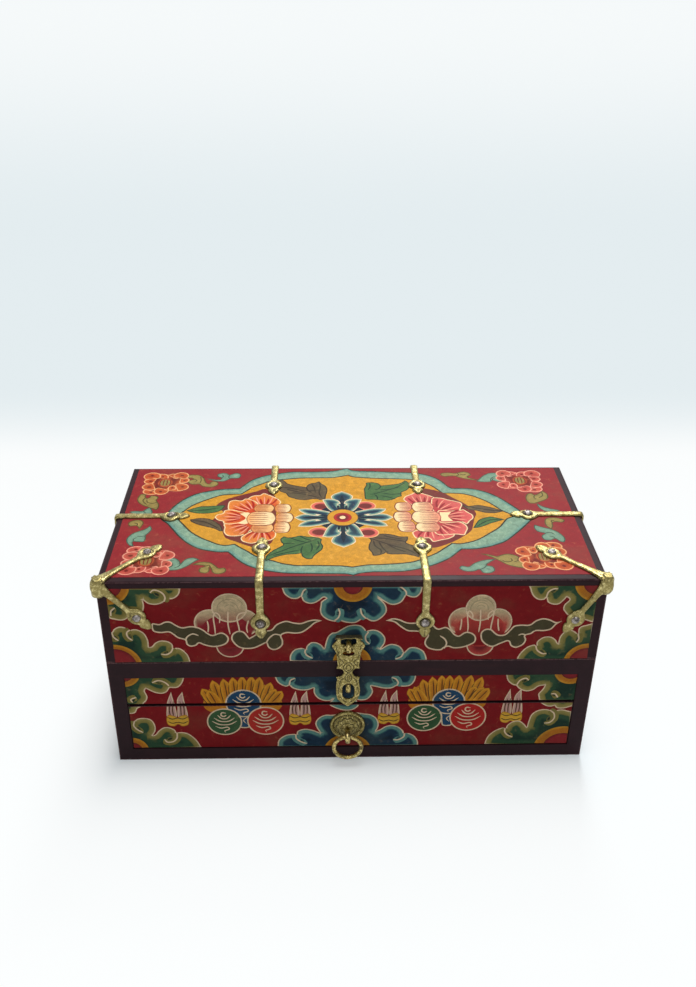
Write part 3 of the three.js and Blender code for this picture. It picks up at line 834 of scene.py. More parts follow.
@dataclass(frozen=True)
class VarnishedPaint:
    """Pigment brushed on in thin coats, dabbed cloudy and sealed with varnish.

    Attributes:
        cloud: The size of its wide clouds in millimetres.
        dab: The size of its dabs.
        hair: The width of its brush hairs.
        speck: The size of its specks.
        pit: The distance between its pits.
        roughness: Its common roughness.
        soot: The tarnish over it.
        thin: What shows where it lies thin.
        wood: What shows in its pits.
    """

    cloud: float = 26.0
    dab: float = 4.5
    hair: float = 0.9
    speck: float = 0.5
    pit: float = 2.6
    roughness: float = 0.5
    soot: Colour = srgb(84, 92, 62)
    thin: Colour = srgb(236, 196, 128)
    wood: Colour = srgb(60, 34, 30)

    def material(self) -> bpy.types.Material:
        """Build the finish on the colours that the paint films carry.

        Returns:
            The material.
        """
        material, graph = new_material("varnished_paint")
        paint = graph.add("ShaderNodeVertexColor", {"layer_name": "paint"})
        mottle = paint.of("Alpha")
        here = graph.place()
        cloud = graph.noise(here, self.cloud, detail=3.0)
        dab = graph.noise(here, self.dab, detail=6.0, rough=0.62, swirl=0.6)
        hair = graph.noise(graph.place((1.0, 5.0, 5.0)), self.hair, detail=3.0, rough=0.6)
        across = graph.noise(graph.place((5.0, 1.0, 1.0)), self.hair, detail=3.0, rough=0.6)
        speck = graph.noise(here, self.speck, detail=2.0)
        depth = (dab - 0.5) * 1.3 + (cloud - 0.5) * 0.9 + (hair - 0.5) * 0.95 + (across - 0.5) * 0.85
        value = 1.0 + mottle * depth + (hair - 0.5) * 0.24 + (across - 0.5) * 0.2 + (speck - 0.5) * 0.16
        shaded = graph.shade(paint, value)
        tarnish = (cloud + mottle * 0.12).band(0.5, 0.72) * 0.3
        sooty = graph.mix(shaded, graph.mix(shaded, self.soot, 0.55), tarnish)
        thin = (dab + mottle * 0.1).band(0.62, 0.8) * 0.1
        aged = graph.mix(sooty, self.thin, thin)
        pits = graph.cells(graph.place(), self.pit).band(0.09, 0.03) * speck.band(0.5, 0.62)
        worn = graph.mix(aged, self.wood, pits * 0.5)
        height = hair * 0.5 + dab * 0.7 + speck * 0.3
        graph.finish(base_color=worn, roughness=self.roughness + (dab - 0.5) * 0.3, specular_ior_level=0.07,
                     normal=graph.bump(height, depth=0.12, strength=0.5))
        return material


@dataclass(frozen=True)
class DarkLacquer:
    """Plum lacquer on a board, rubbed paler along the outer edges of its part of the box, where a thin
    dashed pale line is partly scuffs and partly a painted highlight.

    Attributes:
        low: The lowest corner of that part in metres.
        high: Its highest corner.
        colour: The lacquer's colour.
        worn: Its colour where it is rubbed, and of the thin line along the edges, which is partly a painted
            highlight.
        streak: The streaks along its grain.
        wear: How far in from the edges the rubbing reaches, in millimetres.
    """

    low: Point
    high: Point
    colour: Colour = srgb(52, 30, 35)
    worn: Colour = srgb(124, 92, 92)
    streak: Colour = srgb(78, 42, 42)
    wear: float = 0.7

    def edge_distance(self, graph: Graph) -> Wire:
        """Give the distance from the nearest outer edge, in millimetres.

        Args:
            graph: The graph of the material.

        Returns:
            The distance.
        """
        where = graph.add("ShaderNodeTexCoord", output="Object")
        parts = graph.add("ShaderNodeSeparateXYZ", {}, {0: where})
        gaps = []
        for axis, low, high in zip("XYZ", self.low, self.high):
            middle, half = (low + high) / 2, (high - low) / 2
            offset = (parts.of(axis) - middle).math("ABSOLUTE")
            gaps.append((half - offset).math("ABSOLUTE") * (1 / MM))
        least = gaps[0].math("MINIMUM", gaps[1]).math("MINIMUM", gaps[2])
        most = gaps[0].math("MAXIMUM", gaps[1]).math("MAXIMUM", gaps[2])
        return gaps[0] + gaps[1] + gaps[2] - least - most

    def material(self, name: str) -> bpy.types.Material:
        """Build the finish for one board.

        Args:
            name: The board's name.

        Returns:
            The material.
        """
        material, graph = new_material(f"lacquer_{name}")
        here = graph.place()
        long_grain = graph.noise(graph.place((0.08, 1.0, 1.0)), 3.0, detail=6.0, rough=0.6)
        cloud = graph.noise(here, 18.0, detail=5.0)
        fine = graph.noise(here, 0.8, detail=3.0)
        edge = self.edge_distance(graph)
        ragged = edge + (graph.noise(here, 3.0, detail=5.0, rough=0.65) - 0.5) * 3.2
        # A thin dashed pale line along the very edges: partly scuffs, partly a painted highlight on the
        # crest of the edge.
        line = edge.band(0.9, 0.5) * graph.noise(here, 2.2, detail=4.0, rough=0.7).band(0.42, 0.58)
        rubbed = (ragged.band(self.wear, 0.1) * 0.5).math("MAXIMUM", line * 0.75)
        streaks = long_grain.band(0.56, 0.7) * 0.25
        value = 0.82 + (cloud - 0.5) * 0.8 + (fine - 0.5) * 0.3
        ground = graph.shade(graph.mix(self.colour, self.streak, streaks), value)
        colour = graph.mix(ground, self.worn, rubbed)
        graph.finish(base_color=colour, roughness=0.4 + (cloud - 0.5) * 0.3 + rubbed * 0.2,
                     specular_ior_level=0.1,
                     normal=graph.bump(long_grain + fine * 0.3, depth=0.15, strength=0.5))
        return material


@dataclass(frozen=True)
class BareWood:
    """Plain sawn softwood, its grain along one axis.

    Attributes:
        grain: The stretch of its pattern along each axis.
        pale: The wood between its rings.
        dark: Its rings.
        stain: The stain of age on it.
    """

    grain: Point = (0.06, 1.0, 1.0)
    pale: Colour = srgb(190, 146, 98)
    dark: Colour = srgb(140, 96, 58)
    stain: Colour = srgb(96, 64, 42)

    def material(self, name: str) -> bpy.types.Material:
        """Build the finish.

        Args:
            name: The board's name.

        Returns:
            The material.
        """
        material, graph = new_material(f"bare_wood_{name}")
        along = graph.place(self.grain)
        warp = graph.noise(along, 30.0, detail=2.0)
        rings = (warp * 26.0).math("SINE") * 0.5 + 0.5
        fibre = graph.noise(graph.place(tuple(v * 1.6 for v in self.grain)), 1.2, detail=5.0, rough=0.65)
        tone = graph.mix(self.pale, self.dark, rings * 0.55 + fibre * 0.35)
        stain = graph.noise(graph.place(), 40.0, detail=4.0).band(0.5, 0.75) * 0.3
        colour = graph.mix(tone, self.stain, stain)
        graph.finish(base_color=colour, roughness=0.62 + fibre * 0.2,
                     normal=graph.bump(fibre + rings * 0.2, depth=0.2, strength=0.6))
        return material


@dataclass(frozen=True)
class AgedMetal:
    """Hand-worked metal with dark hollows and rubbed high spots.

    Attributes:
        name: The material's name.
        bright: Where it is rubbed.
        dull: Its common colour.
        dark: The tarnish in its hollows.
        dent: The size of the hammer marks in millimetres.
        depth: The depth of the marks.
        roughness: Its common roughness.
        tarnish: How much of it is dark, 0 to 1.
    """

    name: str
    bright: Colour
    dull: Colour
    dark: Colour
    dent: float = 2.2
    depth: float = 0.12
    roughness: float = 0.36
    tarnish: float = 0.35

    def material(self) -> bpy.types.Material:
        """Build the finish."""
        material, graph = new_material(self.name)
        here = graph.place()
        marks = graph.noise(here, self.dent, detail=5.0, rough=0.65)
        cloud = graph.noise(here, 9.0, detail=4.0)
        fine = graph.noise(here, 0.5, detail=3.0)
        tone = graph.mix(self.dull, self.bright, (marks * 0.6 + fine * 0.4).band(0.5, 0.6))
        level = 0.62 - 0.35 * self.tarnish
        stains = (marks * 0.45 + cloud * 0.3 + fine * 0.25).band(level, level - 0.12)
        hollow = graph.add("ShaderNodeAttribute", {"attribute_name": "hollow"}, output="Fac")
        stains = stains.math("MAXIMUM", hollow.band(0.1, 0.7))
        spots = graph.cells(here, 1.6).band(0.16, 0.06) * cloud.band(0.4, 0.55)
        colour = graph.mix(graph.mix(tone, self.dark, stains * 0.9), self.dark, spots * 0.85)
        rough = self.roughness + (fine - 0.5) * 0.2 + stains * 0.25
        graph.finish(base_color=colour, metallic=1.0 - stains * 0.35, roughness=rough,
                     normal=graph.bump(marks + fine * 0.3, self.depth, strength=0.9))
        return material


STRAP_STEEL = AgedMetal("strap_steel", srgb(210, 197, 140), srgb(144, 131, 82), srgb(34, 31, 21),
                        dent=3.2, depth=0.2, roughness=0.42, tarnish=0.45)
NAIL_IRON = AgedMetal("nail_iron", srgb(196, 188, 183), srgb(150, 142, 137), srgb(68, 60, 57),
                      dent=2.2, depth=0.12, roughness=0.45, tarnish=0.25)
BRASS = AgedMetal("aged_brass", srgb(214, 198, 136), srgb(128, 115, 66), srgb(33, 31, 20),
                  dent=1.3, depth=0.3, roughness=0.36, tarnish=0.6)
BRASS_WIRE = AgedMetal("rubbed_brass", srgb(236, 216, 148), srgb(166, 146, 84), srgb(54, 46, 26),
                       dent=2.0, depth=0.2, roughness=0.26, tarnish=0.3)


# Painted ornament

CLOUD_BLUE = Tone(((0.0, CREAM), (0.75, CREAM), (1.1, TEAL), (3.4, TEAL), (4.1, TEAL_DEEP),
                   (5.0, NAVY), (8.0, NAVY), (10.5, NAVY_DEEP)), 0.55)
CLOUD_GREEN = Tone(((0.0, CREAM), (0.75, CREAM), (1.1, OLIVE_PALE), (4.4, OLIVE), (5.3, GREEN),
                    (8.0, GREEN), (10.5, GREEN_DEEP)), 0.55)
SUN_RING = Tone(((0.0, INK), (0.35, OCHRE), (2.5, OCHRE_DEEP)), 0.5)
SUN_CORE = Tone(((0.0, INK), (0.4, RED_DEEP), (3.0, RED)), 0.3)
RIBBON_TONE = lined(CREAM, RIBBON, None, 1.0)


class Cloud(Enum):
    """The two kinds of cloud on the front, with the colour that runs beside their curls."""

    BLUE = "blue"
    GREEN = "green"

    def tone(self) -> Tone:
        """Give the cloud's bands of colour."""
        return CLOUD_BLUE if self is Cloud.BLUE else CLOUD_GREEN

    def band(self) -> Colour:
        """Give the pale band beside a curl."""
        return TEAL if self is Cloud.BLUE else OLIVE

    def core(self) -> Colour:
        """Give the dark of the eye of a curl."""
        return NAVY_DEEP if self is Cloud.BLUE else GREEN_DARK


def draw_cloud(film: PaintFilm, kind: Cloud, outline: Sequence[Point],
               curls: Sequence[Sequence[Point]] = ()) -> None:
    """Paint one cloud with a cream edge, bands of colour and curled lines.

    Args:
        film: The film that it is painted on.
        kind: Its colours.
        outline: The places that its edge runs through.
        curls: The lines that curl in from its edge.
    """
    film.fill(outline, kind.tone())
    for curl in curls:
        places = np.array([point[:2] for point in curl], dtype=float)
        eye = places.mean(axis=0) * 0.75 + places[0] * 0.25
        way = places[-1] - places[0]
        film.stroke(curl, 6.4, kind.band(), 0.3, 0.7, 0.5)
        film.shape(oval(tuple(eye), (2.6, 1.6), math.degrees(math.atan2(way[1], way[0]))),
                   Tone(((0.0, kind.band()), (0.9, kind.core()), (1.4, kind.core())), 0.5))
        film.stroke(curl, 1.15, CREAM, 0.5, 1.0)


def draw_sun(film: PaintFilm, centre: Point, outer: float, inner: float) -> None:
    """Paint an ochre ring round a red core."""
    film.shape(oval(centre, (outer, outer)), SUN_RING)
    film.shape(oval(centre, (inner, inner)), SUN_CORE)


@dataclass
class LidFrontPainting:
    """The clouds, the two jewels and their ribbons on the front of the lid.

    Attributes:
        low: The film's lowest corner.
        high: Its highest corner.
    """

    low: Point = (-171.3, 96.2)
    high: Point = (171.3, 161.0)

    def film(self) -> PaintFilm:
        """Paint the lid's front.

        Returns:
            The film.
        """
        film = PaintFilm("paint_lid_front", "lid", Side.FRONT, FRONT, self.low, self.high,
                         Tone(((0.0, RED_FRONT),), 0.4))
        self.draw_left_ribbons(film)
        self.draw_right_ribbons(film)
        self.draw_green_clouds(film)
        self.draw_blue_clouds(film)
        return film

    def draw_green_clouds(self, film: PaintFilm) -> None:
        """Paint the green clouds in the corners.

        Args:
            film: The film to paint on.
        """
        draw_cloud(film, Cloud.GREEN, [
            (-120, 164), (-120, 160), (-121.5, 155.5), (-125.5, 152.3), (-130.5, 152, 1), (-133, 149),
            (-138, 147.3), (-143, 148.2), (-146.5, 151.5, 1), (-146, 147), (-147, 142), (-149, 138),
            (-153, 141), (-157, 141, 1), (-158, 136.5), (-162, 134), (-167, 134.5), (-172, 137),
            (-176, 150), (-174, 164)],
            [[(-141, 157.5), (-138.5, 159.8), (-135, 159), (-132, 156.5), (-131, 153), (-132, 150)],
             [(-166.5, 145), (-169.5, 142), (-170, 138)]])
        draw_sun(film, (-171, 164), 16.5, 11)
        draw_cloud(film, Cloud.GREEN, [
            (-118, 92), (-117.5, 97), (-119, 103), (-123, 108), (-127, 109), (-129, 107.5, 1), (-129, 112),
            (-132, 115), (-137, 115.8), (-141, 114), (-144, 110.5), (-146, 110, 1), (-146, 116),
            (-148, 122), (-152, 125.5), (-156, 126), (-159, 124.5, 1), (-161, 127.5), (-165, 128.5),
            (-169, 126.5), (-171, 123.5), (-176, 120), (-176, 92)],
            [[(-138, 103.5), (-134, 103), (-130.5, 105.5), (-129, 109)],
             [(-157, 116), (-160, 119), (-160.5, 123), (-158, 125.5)],
             [(-167, 116), (-170, 119), (-171, 123)]])
        draw_sun(film, (-171.5, 93), 19.5, 15.5)
        draw_cloud(film, Cloud.GREEN, [
            (123, 164), (123.5, 158), (126, 152.5), (130, 149.3), (134, 149.3), (135.5, 151, 1), (137, 147),
            (141, 145), (145, 145.3), (148, 148.5), (150, 151.5, 1), (152, 149), (149, 145), (148.5, 141),
            (150, 138.5), (153, 135), (158, 133), (164, 131.5), (176, 131), (176, 164)],
            [[(143, 158.5), (140, 158.5), (136.5, 156), (135.5, 151.5)]])
        draw_sun(film, (172, 165), 18, 12)
        draw_cloud(film, Cloud.GREEN, [
            (120, 92), (120, 97), (122, 102), (126, 107), (131, 109.3), (133, 108, 1), (133, 112),
            (137, 116), (142, 116.5), (146, 114), (148.5, 110, 1), (149, 116), (152, 121), (156, 122.5),
            (160, 120.5), (162, 118, 1), (162, 124), (166, 126.5), (176, 126.5), (176, 92)],
            [[(141, 101), (138, 101), (134, 104), (132.5, 108)],
             [(161.5, 111), (163, 114), (162, 119)]])
        draw_sun(film, (171, 93), 17, 13)

    def draw_blue_clouds(self, film: PaintFilm) -> None:
        """Paint the blue clouds above and below the middle.

        Args:
            film: The film to paint on.
        """
        draw_cloud(film, Cloud.BLUE, [
            (-50, 164), (-49.5, 160), (-48, 155.5), (-44, 152), (-39.5, 151.5), (-36.5, 153.5, 1),
            (-35, 149.5), (-31, 147.3), (-27, 147.8), (-23.5, 150.2), (-21, 152.5), (-19, 152, 1),
            (-22.5, 149), (-23, 146), (-23.5, 141), (-22, 136.5), (-18, 133), (-13, 131.5),
            (-10, 132.5, 1), (-5, 130.5), (0, 130), (3, 131), (8, 135, 1), (9, 134), (13, 131.5),
            (17, 132), (21, 135.5), (23.5, 140), (23, 145), (20.5, 149), (17.5, 152, 1), (21, 149),
            (26, 146), (30, 146), (34, 148.5), (36.8, 154, 1), (40, 152.3), (44, 152.3), (47, 156),
            (48, 161), (48, 164)],
            [[(-10.5, 143), (-9.5, 139), (-10.5, 135), (-13, 132.5)],
             [(5, 143), (6, 138), (9, 134)],
             [(31, 162), (34, 160), (36.5, 157), (36.8, 154)],
             [(-33, 160), (-35, 158), (-36.5, 153.5)]])
        draw_sun(film, (-0.5, 162), 13.5, 7)
        draw_cloud(film, Cloud.BLUE, [
            (-44, 92), (-45.5, 97), (-45, 102), (-42, 106.5), (-37, 108), (-34, 106.5, 1), (-33, 110),
            (-30, 113), (-26.5, 113), (-23, 111), (-20.5, 107.5, 1), (-19.5, 113), (-18, 118),
            (-15, 121.5), (-12, 122), (-5, 127), (0, 128.5), (5, 128), (8, 125.5), (9.5, 122.5, 1),
            (11, 123.5), (15, 124), (19.5, 122), (23, 117), (23, 112), (21, 108), (20, 106.5, 1),
            (24, 109.5), (28, 111), (33, 109.5), (36, 106), (37, 103, 1), (41, 107.5), (46, 107.5),
            (51, 104.5), (53.5, 99), (54, 95), (54, 92)],
            [[(12, 111), (9.5, 114), (9, 118), (11, 122)],
             [(31, 97), (35, 99), (37, 103)],
             [(-29, 98.5), (-33, 101), (-34.5, 104), (-34, 106.5)]])
        draw_sun(film, (-0.5, 95), 14, 8)

    def draw_jewel(self, film: PaintFilm, lobes: Sequence[tuple[Point, Point]], body: Point,
                   foot: Point, folds: Sequence[Sequence[Point]], colours: tuple[Colour, Colour]) -> None:
        """Paint a jewel of three lobes that pales upwards.

        Args:
            film: The film that it is painted on.
            lobes: The centre and half size of each lobe, the back one first.
            body: The centre of its body.
            foot: The centre of the half disc under it.
            folds: The lines that run down it.
            colours: The colour of its crown and of its body.
        """
        crown, deep = colours
        film.shape(oval(foot, (10, 10)), lined(CREAM, deep, RED_DEEP, 0.8, 6))
        for centre, half in lobes[:2]:
            x, z = centre
            fade = Fade((x, z + half[1] * 0.75), (x, z - half[1] * 0.15), deep)
            film.shape(oval(centre, half), lined(CREAM, crown, None, 0.8, fade=fade, mottle=0.8))
        fade = Fade((body[0], body[1] + 13), (body[0], body[1] - 8), RED_FRONT, 0)
        film.shape(oval(body, (18, 15)), Tone(((0.0, deep),), 0.5, fade))
        (x, z), half = lobes[2]
        fade = Fade((x, z), (x, z - half[1] * 1.3), deep)
        film.shape(oval((x, z), half), lined(CREAM, crown, None, 0.8, fade=fade, mottle=0.9))
        for share, low, high in ((0.3, 0.3, 2.9), (0.5, -0.2, 2.2), (0.68, 0.9, 3.4), (0.84, 0.2, 1.7)):
            arc = [(x + half[0] * share * math.cos(a), z + half[1] * share * math.sin(a) - 1)
                   for a in np.linspace(low, high, 7)]
            film.stroke(arc, 0.7, scaled(crown, 0.72), 0.2, 0.2, 0.9)
        for fold in folds:
            film.stroke(fold, 1.0, CREAM, 0.6, 0.5)

    def draw_left_ribbons(self, film: PaintFilm) -> None:
        """Paint the left jewel and the ribbon that runs under it.

        Args:
            film: The film to paint on.
        """
        self.draw_jewel(film, [((-101, 131), (11.5, 12)), ((-78, 131), (11.5, 12)),
                               ((-87, 144), (12.5, 12.5))],
                        (-90, 123), (-88, 110),
                        [[(-103, 133), (-102.5, 128), (-103, 123)],
                         [(-94.5, 131), (-94, 137), (-97, 140), (-98.5, 136), (-98, 126), (-98, 121)],
                         [(-88, 141), (-88.5, 130), (-87.5, 121)],
                         [(-76, 140), (-80, 139), (-82, 135), (-81, 127), (-80.5, 121)],
                         [(-74, 133), (-75.5, 127), (-75, 122)]],
                        (BEIGE, JEWEL_WINE))
        film.fill([
            (-142, 131), (-137, 130.5), (-133, 132.5), (-129, 132.5), (-125, 129.5), (-121, 127.5),
            (-115, 128.5), (-110, 127.5), (-106, 125), (-103, 122), (-100, 120.5), (-96, 122), (-93, 122.5),
            (-90, 120.5), (-88.5, 117), (-90, 113), (-94, 110.5), (-100, 109.5), (-106, 111), (-110, 113),
            (-112, 111), (-116, 110), (-119, 112), (-119.5, 115.5), (-121, 116.5), (-125, 118),
            (-128, 121), (-131, 123), (-137, 122.5), (-142, 124.5)], RIBBON_TONE)
        film.stroke([(-110, 120), (-114, 121.5), (-118, 119), (-119.5, 115.5)], 1.1, CREAM, 0.5, 1)
        film.fill([
            (-87, 117), (-86, 121), (-83, 123.5), (-80, 124), (-77, 122.5), (-74, 117.5, 1), (-71, 119.5),
            (-67, 122.5), (-62, 124), (-58, 125), (-55, 129), (-51, 131.5), (-47, 132.5), (-42, 131),
            (-37, 130.5), (-32, 132.5), (-27, 133.5), (-22, 132.5, 1), (-27, 130), (-31, 126), (-36, 122),
            (-41, 121), (-47, 121.5), (-51, 119.5), (-50, 115), (-50.5, 110.5), (-54, 107), (-58, 106.5),
            (-61, 109), (-62, 113, 1), (-66, 110.5), (-71, 108), (-77, 107.5), (-82, 109), (-85.5, 113)],
            RIBBON_TONE)
        film.stroke([(-51, 119.5), (-56, 120.5), (-60, 117), (-62, 113)], 1.1, CREAM, 0.6, 1)

    def draw_right_ribbons(self, film: PaintFilm) -> None:
        """Paint the right jewel and the ribbon that runs under it.

        Args:
            film: The film to paint on.
        """
        self.draw_jewel(film, [((78.5, 131), (11, 12)), ((102.5, 130), (10.8, 12)),
                               ((90, 142.5), (10.8, 11.5))],
                        (91, 123), (92, 109.5),
                        [[(77, 133), (77, 128), (76.5, 123)],
                         [(85, 133), (84.5, 137), (82, 140), (81, 136), (82, 127), (82, 121)],
                         [(90, 141), (90.5, 130), (90, 121)],
                         [(96, 132), (96, 137), (99, 140), (99.5, 136), (98.5, 127), (98.5, 121)],
                         [(103, 133), (103.5, 127), (104.5, 122)]],
                        (BEIGE, JEWEL_ROSE))
        film.fill([
            (23, 132, 1), (28, 134), (33, 133), (38, 130.5), (43, 130), (53, 131), (56, 130), (58, 127),
            (61, 124.5), (66, 126), (70, 123.5), (73, 119.5), (76, 118), (79, 120.5), (82, 121.5),
            (86, 120), (88.5, 116.5), (88, 112), (84, 109), (79, 107), (73, 106.5), (69, 108), (66, 107),
            (64, 105), (59, 105), (54, 107), (51.5, 111), (52, 115), (53.5, 118.5), (51, 121), (44, 122),
            (39, 122.5), (34, 126), (29, 130.5)], RIBBON_TONE)
        film.stroke([(62.5, 118), (66, 115), (67.5, 111), (66, 106.5)], 1.1, CREAM, 0.5, 1)
        film.fill([
            (91.5, 118), (92, 121.5), (95, 124), (99, 123.5), (102, 120.5), (105, 118.5), (109, 119),
            (112, 122.5), (115, 126.5), (120, 127.5), (126, 127.5), (130, 131), (135, 133), (140, 132),
            (145, 129.5), (149, 130.5, 1), (145, 127), (142, 123), (137, 121.5), (131, 121.5), (128, 119),
            (124, 117.5), (125, 113.5), (123, 109), (118, 106.5), (114, 108.5), (112, 112.5),
            (107, 110.5), (101, 107.5), (96, 109.5), (92.5, 113.5)], RIBBON_TONE)
        film.stroke([(119, 118), (121.5, 119), (124.5, 118)], 1.0, CREAM, 0.5, 1)


@dataclass
class BaseFrontPainting:
    """One picture that runs over the fixed strip and the drawer below it.

    Attributes:
        bay: Half the width of the strip between the stiles.
    """

    bay: float = 166.8

    def films(self) -> list[PaintFilm]:
        """Paint the strip and the drawer.

        Returns:
            The films.
        """
        strip = PaintFilm("paint_strip", "base", Side.FRONT, PANEL_FRONT, (-self.bay, 55.7),
                          (self.bay, 80.8), plain(RED_FRONT, 0.4))
        drawer = PaintFilm("paint_drawer", "drawer", Side.FRONT, PANEL_FRONT, (-166.4, 11.6),
                           (166.4, 52.8), plain(RED_FRONT, 0.4))
        for film in (strip, drawer):
            self.draw_jewels(film)
            for x in (-131.0, -39.0, 28.0, 121.0):
                self.draw_horns(film, x)
            self.draw_green_clouds(film)
            self.draw_blue_clouds(film)
        return [strip, drawer]

    def draw_green_clouds(self, film: PaintFilm) -> None:
        """Paint the green clouds in the corners.

        Args:
            film: The film to paint on.
        """
        draw_cloud(film, Cloud.GREEN, [
            (-123, 85), (-123.5, 79.5), (-125.5, 74.5), (-129, 71), (-134.5, 71, 1), (-137, 67),
            (-141, 65.3), (-146, 66.5), (-150, 69), (-152, 70.5, 1), (-153, 68), (-151.5, 63),
            (-152.5, 59), (-155, 56), (-157, 53), (-160, 51), (-162, 47), (-166, 46), (-172, 47),
            (-172, 85)],
            [[(-147, 76), (-142, 78), (-137.5, 76), (-135, 73)], [(-163, 57), (-164, 60), (-160, 62)]])
        draw_sun(film, (-168, 85), 13, 8)
        draw_cloud(film, Cloud.GREEN, [
            (-115, 8), (-116, 14), (-119, 20), (-124, 25.5), (-129, 27), (-133, 26.5, 1), (-134, 29.5),
            (-138, 32), (-142, 32), (-146, 29), (-149, 25), (-151, 24, 1), (-148.5, 29), (-148.5, 35),
            (-151, 40), (-156, 41.7), (-161, 41), (-164.5, 38.5), (-172, 38), (-172, 8)],
            [[(-142.5, 20), (-140.5, 17), (-136, 17.5), (-133, 21), (-132.5, 26)],
             [(-158, 27), (-162, 30), (-164.5, 34), (-163.5, 38.5)]])
        draw_sun(film, (-168, 9), 13, 8)
        draw_cloud(film, Cloud.GREEN, [
            (114, 85), (114, 79), (115.5, 74.5), (119, 71), (122, 70, 1), (125, 66.5), (130, 64.3),
            (135, 65.5), (139, 69), (143.5, 70, 1), (142, 66), (139.5, 62), (140, 58.5), (141, 55),
            (142, 53), (146, 50), (150, 49), (153, 50, 1), (155, 47.5), (160, 47), (166, 49), (172, 50),
            (172, 85)],
            [[(131, 75), (128.5, 77), (124.5, 75), (122.5, 71)], [(149, 61.5), (152, 61.5), (154.5, 58)]])
        draw_sun(film, (162, 84), 13, 8)
        draw_cloud(film, Cloud.GREEN, [
            (103, 8), (103, 13), (105, 20), (110, 25.5), (115, 28), (118, 27.5, 1), (119, 31), (123, 34.5),
            (128, 35), (132, 31.5), (134, 28.5, 1), (135, 36), (136.5, 41.5), (141, 45.5), (147, 46.5),
            (152, 44.5, 1), (159, 46), (166, 44), (172, 43), (172, 8)],
            [[(124, 18.5), (120, 20.5), (117.5, 24), (117.5, 27.5)],
             [(147, 32.5), (151, 33), (154, 37), (153.5, 42), (150, 45.5)]])
        draw_sun(film, (163, 7), 22, 15)

    def draw_blue_clouds(self, film: PaintFilm) -> None:
        """Paint the blue clouds above and below the middle.

        Args:
            film: The film to paint on.
        """
        draw_cloud(film, Cloud.BLUE, [
            (-56, 85), (-56.5, 79), (-54, 74), (-49, 71), (-46.5, 72.5, 1), (-44, 69.5), (-39, 67.5),
            (-33, 67.5), (-28.5, 69.5, 1), (-28.5, 65), (-26, 60), (-21, 57), (-16, 57), (-14.5, 58.5, 1),
            (-17, 53.5), (-13, 50), (-7, 47.5), (0, 47.5), (5, 52), (3, 58, 1), (7, 57), (12, 58.5),
            (15.5, 65), (14, 71, 1), (18, 70), (23, 68.5), (29, 68.5), (33, 71, 1), (38, 70), (43, 71),
            (46, 75), (47, 80), (47, 85)],
            [[(29, 79), (32, 77.5), (34, 74), (33, 71)], [(-42, 79), (-45.5, 77), (-46.5, 72.5)]])
        draw_cloud(film, Cloud.BLUE, [
            (-55, 8), (-56.5, 14), (-55, 19), (-50, 23), (-44, 24), (-42, 23.5, 1), (-41, 27), (-36, 29),
            (-30, 28), (-24, 25, 1), (-26.5, 30), (-27.5, 35), (-25, 40), (-20, 43), (-14, 43),
            (-3, 46), (9, 44), (14, 43), (18.5, 39.5), (20.5, 34), (20, 29), (18.5, 26, 1), (22, 28),
            (26, 31), (31, 32), (36, 30), (39.5, 26), (40, 23.5, 1), (44, 23.5), (48, 21), (51, 16),
            (51.5, 11), (51, 8)],
            [[(32, 17), (36, 17), (40, 20), (40.5, 23.5)], [(-34, 14), (-38, 15.5), (-42, 19), (-42.5, 23)]])
        draw_sun(film, (-3, 5), 18.5, 13)

    def draw_horns(self, film: PaintFilm, x: float) -> None:
        """Paint a pair of horns in a yellow foot.

        Args:
            film: The film that they are painted on.
            x: The middle of the pair.
        """
        for side in (-1, 1):
            lean = 1.5 if side < 0 else 1.0
            film.fill([(x + side * 7.5, 42), (x + side * 7.2, 52), (x + side * 6.2, 58),
                       (x + side * 4.4 + lean, 67, 1), (x + side * 1.6 - 0.4, 60), (x + side * 0.8, 52),
                       (x + side * 0.8, 42)], lined(CREAM, HORN, None, 0.6))
            for offset in (2.8, 5.2):
                film.stroke([(x + side * offset, 43), (x + side * (offset + 0.3), 50),
                             (x + side * offset * 0.9 + lean * 0.5, 58)], 0.9, INK_BROWN, 0.4, 0.2)
        film.fill([(x - 8.5, 40), (x - 6.5, 44.5), (x - 1.5, 43), (x, 41.8), (x + 1.5, 43), (x + 6.5, 44.5),
                   (x + 8.5, 40), (x + 7.5, 34.5), (x + 3, 33), (x, 35), (x - 3, 33), (x - 7.5, 34.5)],
                  lined(OCHRE_DEEP, FOOT_YELLOW, None, 0.4))
        for z in (41.5, 37.3):
            film.stroke([(x - 7.5, z + 0.6), (x - 4, z - 1.2), (x, z - 0.2), (x + 4, z - 1.2),
                         (x + 7.5, z + 0.6)],
                        0.8, INK, 0.5, 0.5)

    def draw_jewels(self, film: PaintFilm) -> None:
        """Paint the two groups of three jewels in their flames.

        Args:
            film: The film to paint on.
        """
        self.draw_flames(film, -81.5, [(-103, 78), (-95, 79.5), (-88, 81), (-81, 82), (-74, 82), (-68, 81),
                                       (-60, 75.5)], [(-111, 70), (-107, 68), (-56.5, 69), (-52, 67)])
        self.draw_jewel_ball(film, (-81, 55), 13.5, JEWEL_BLUE, True)
        self.draw_jewel_ball(film, (-65, 37.5), 14, JEWEL_RED)
        self.draw_jewel_ball(film, (-96, 37), 13.3, JEWEL_GREEN)
        self.draw_flames(film, 71.5, [(46, 70), (52, 77), (59, 79.5), (66, 81), (72, 81), (79, 81), (88, 81),
                                      (96, 79)], [(42, 68), (47, 68), (92, 70), (98, 69), (102, 68)])
        self.draw_jewel_ball(film, (72.5, 55), 12.5, JEWEL_BLUE, True)
        self.draw_jewel_ball(film, (88, 39.5), 14, JEWEL_RED)
        self.draw_jewel_ball(film, (55, 39), 13.5, JEWEL_GREEN)

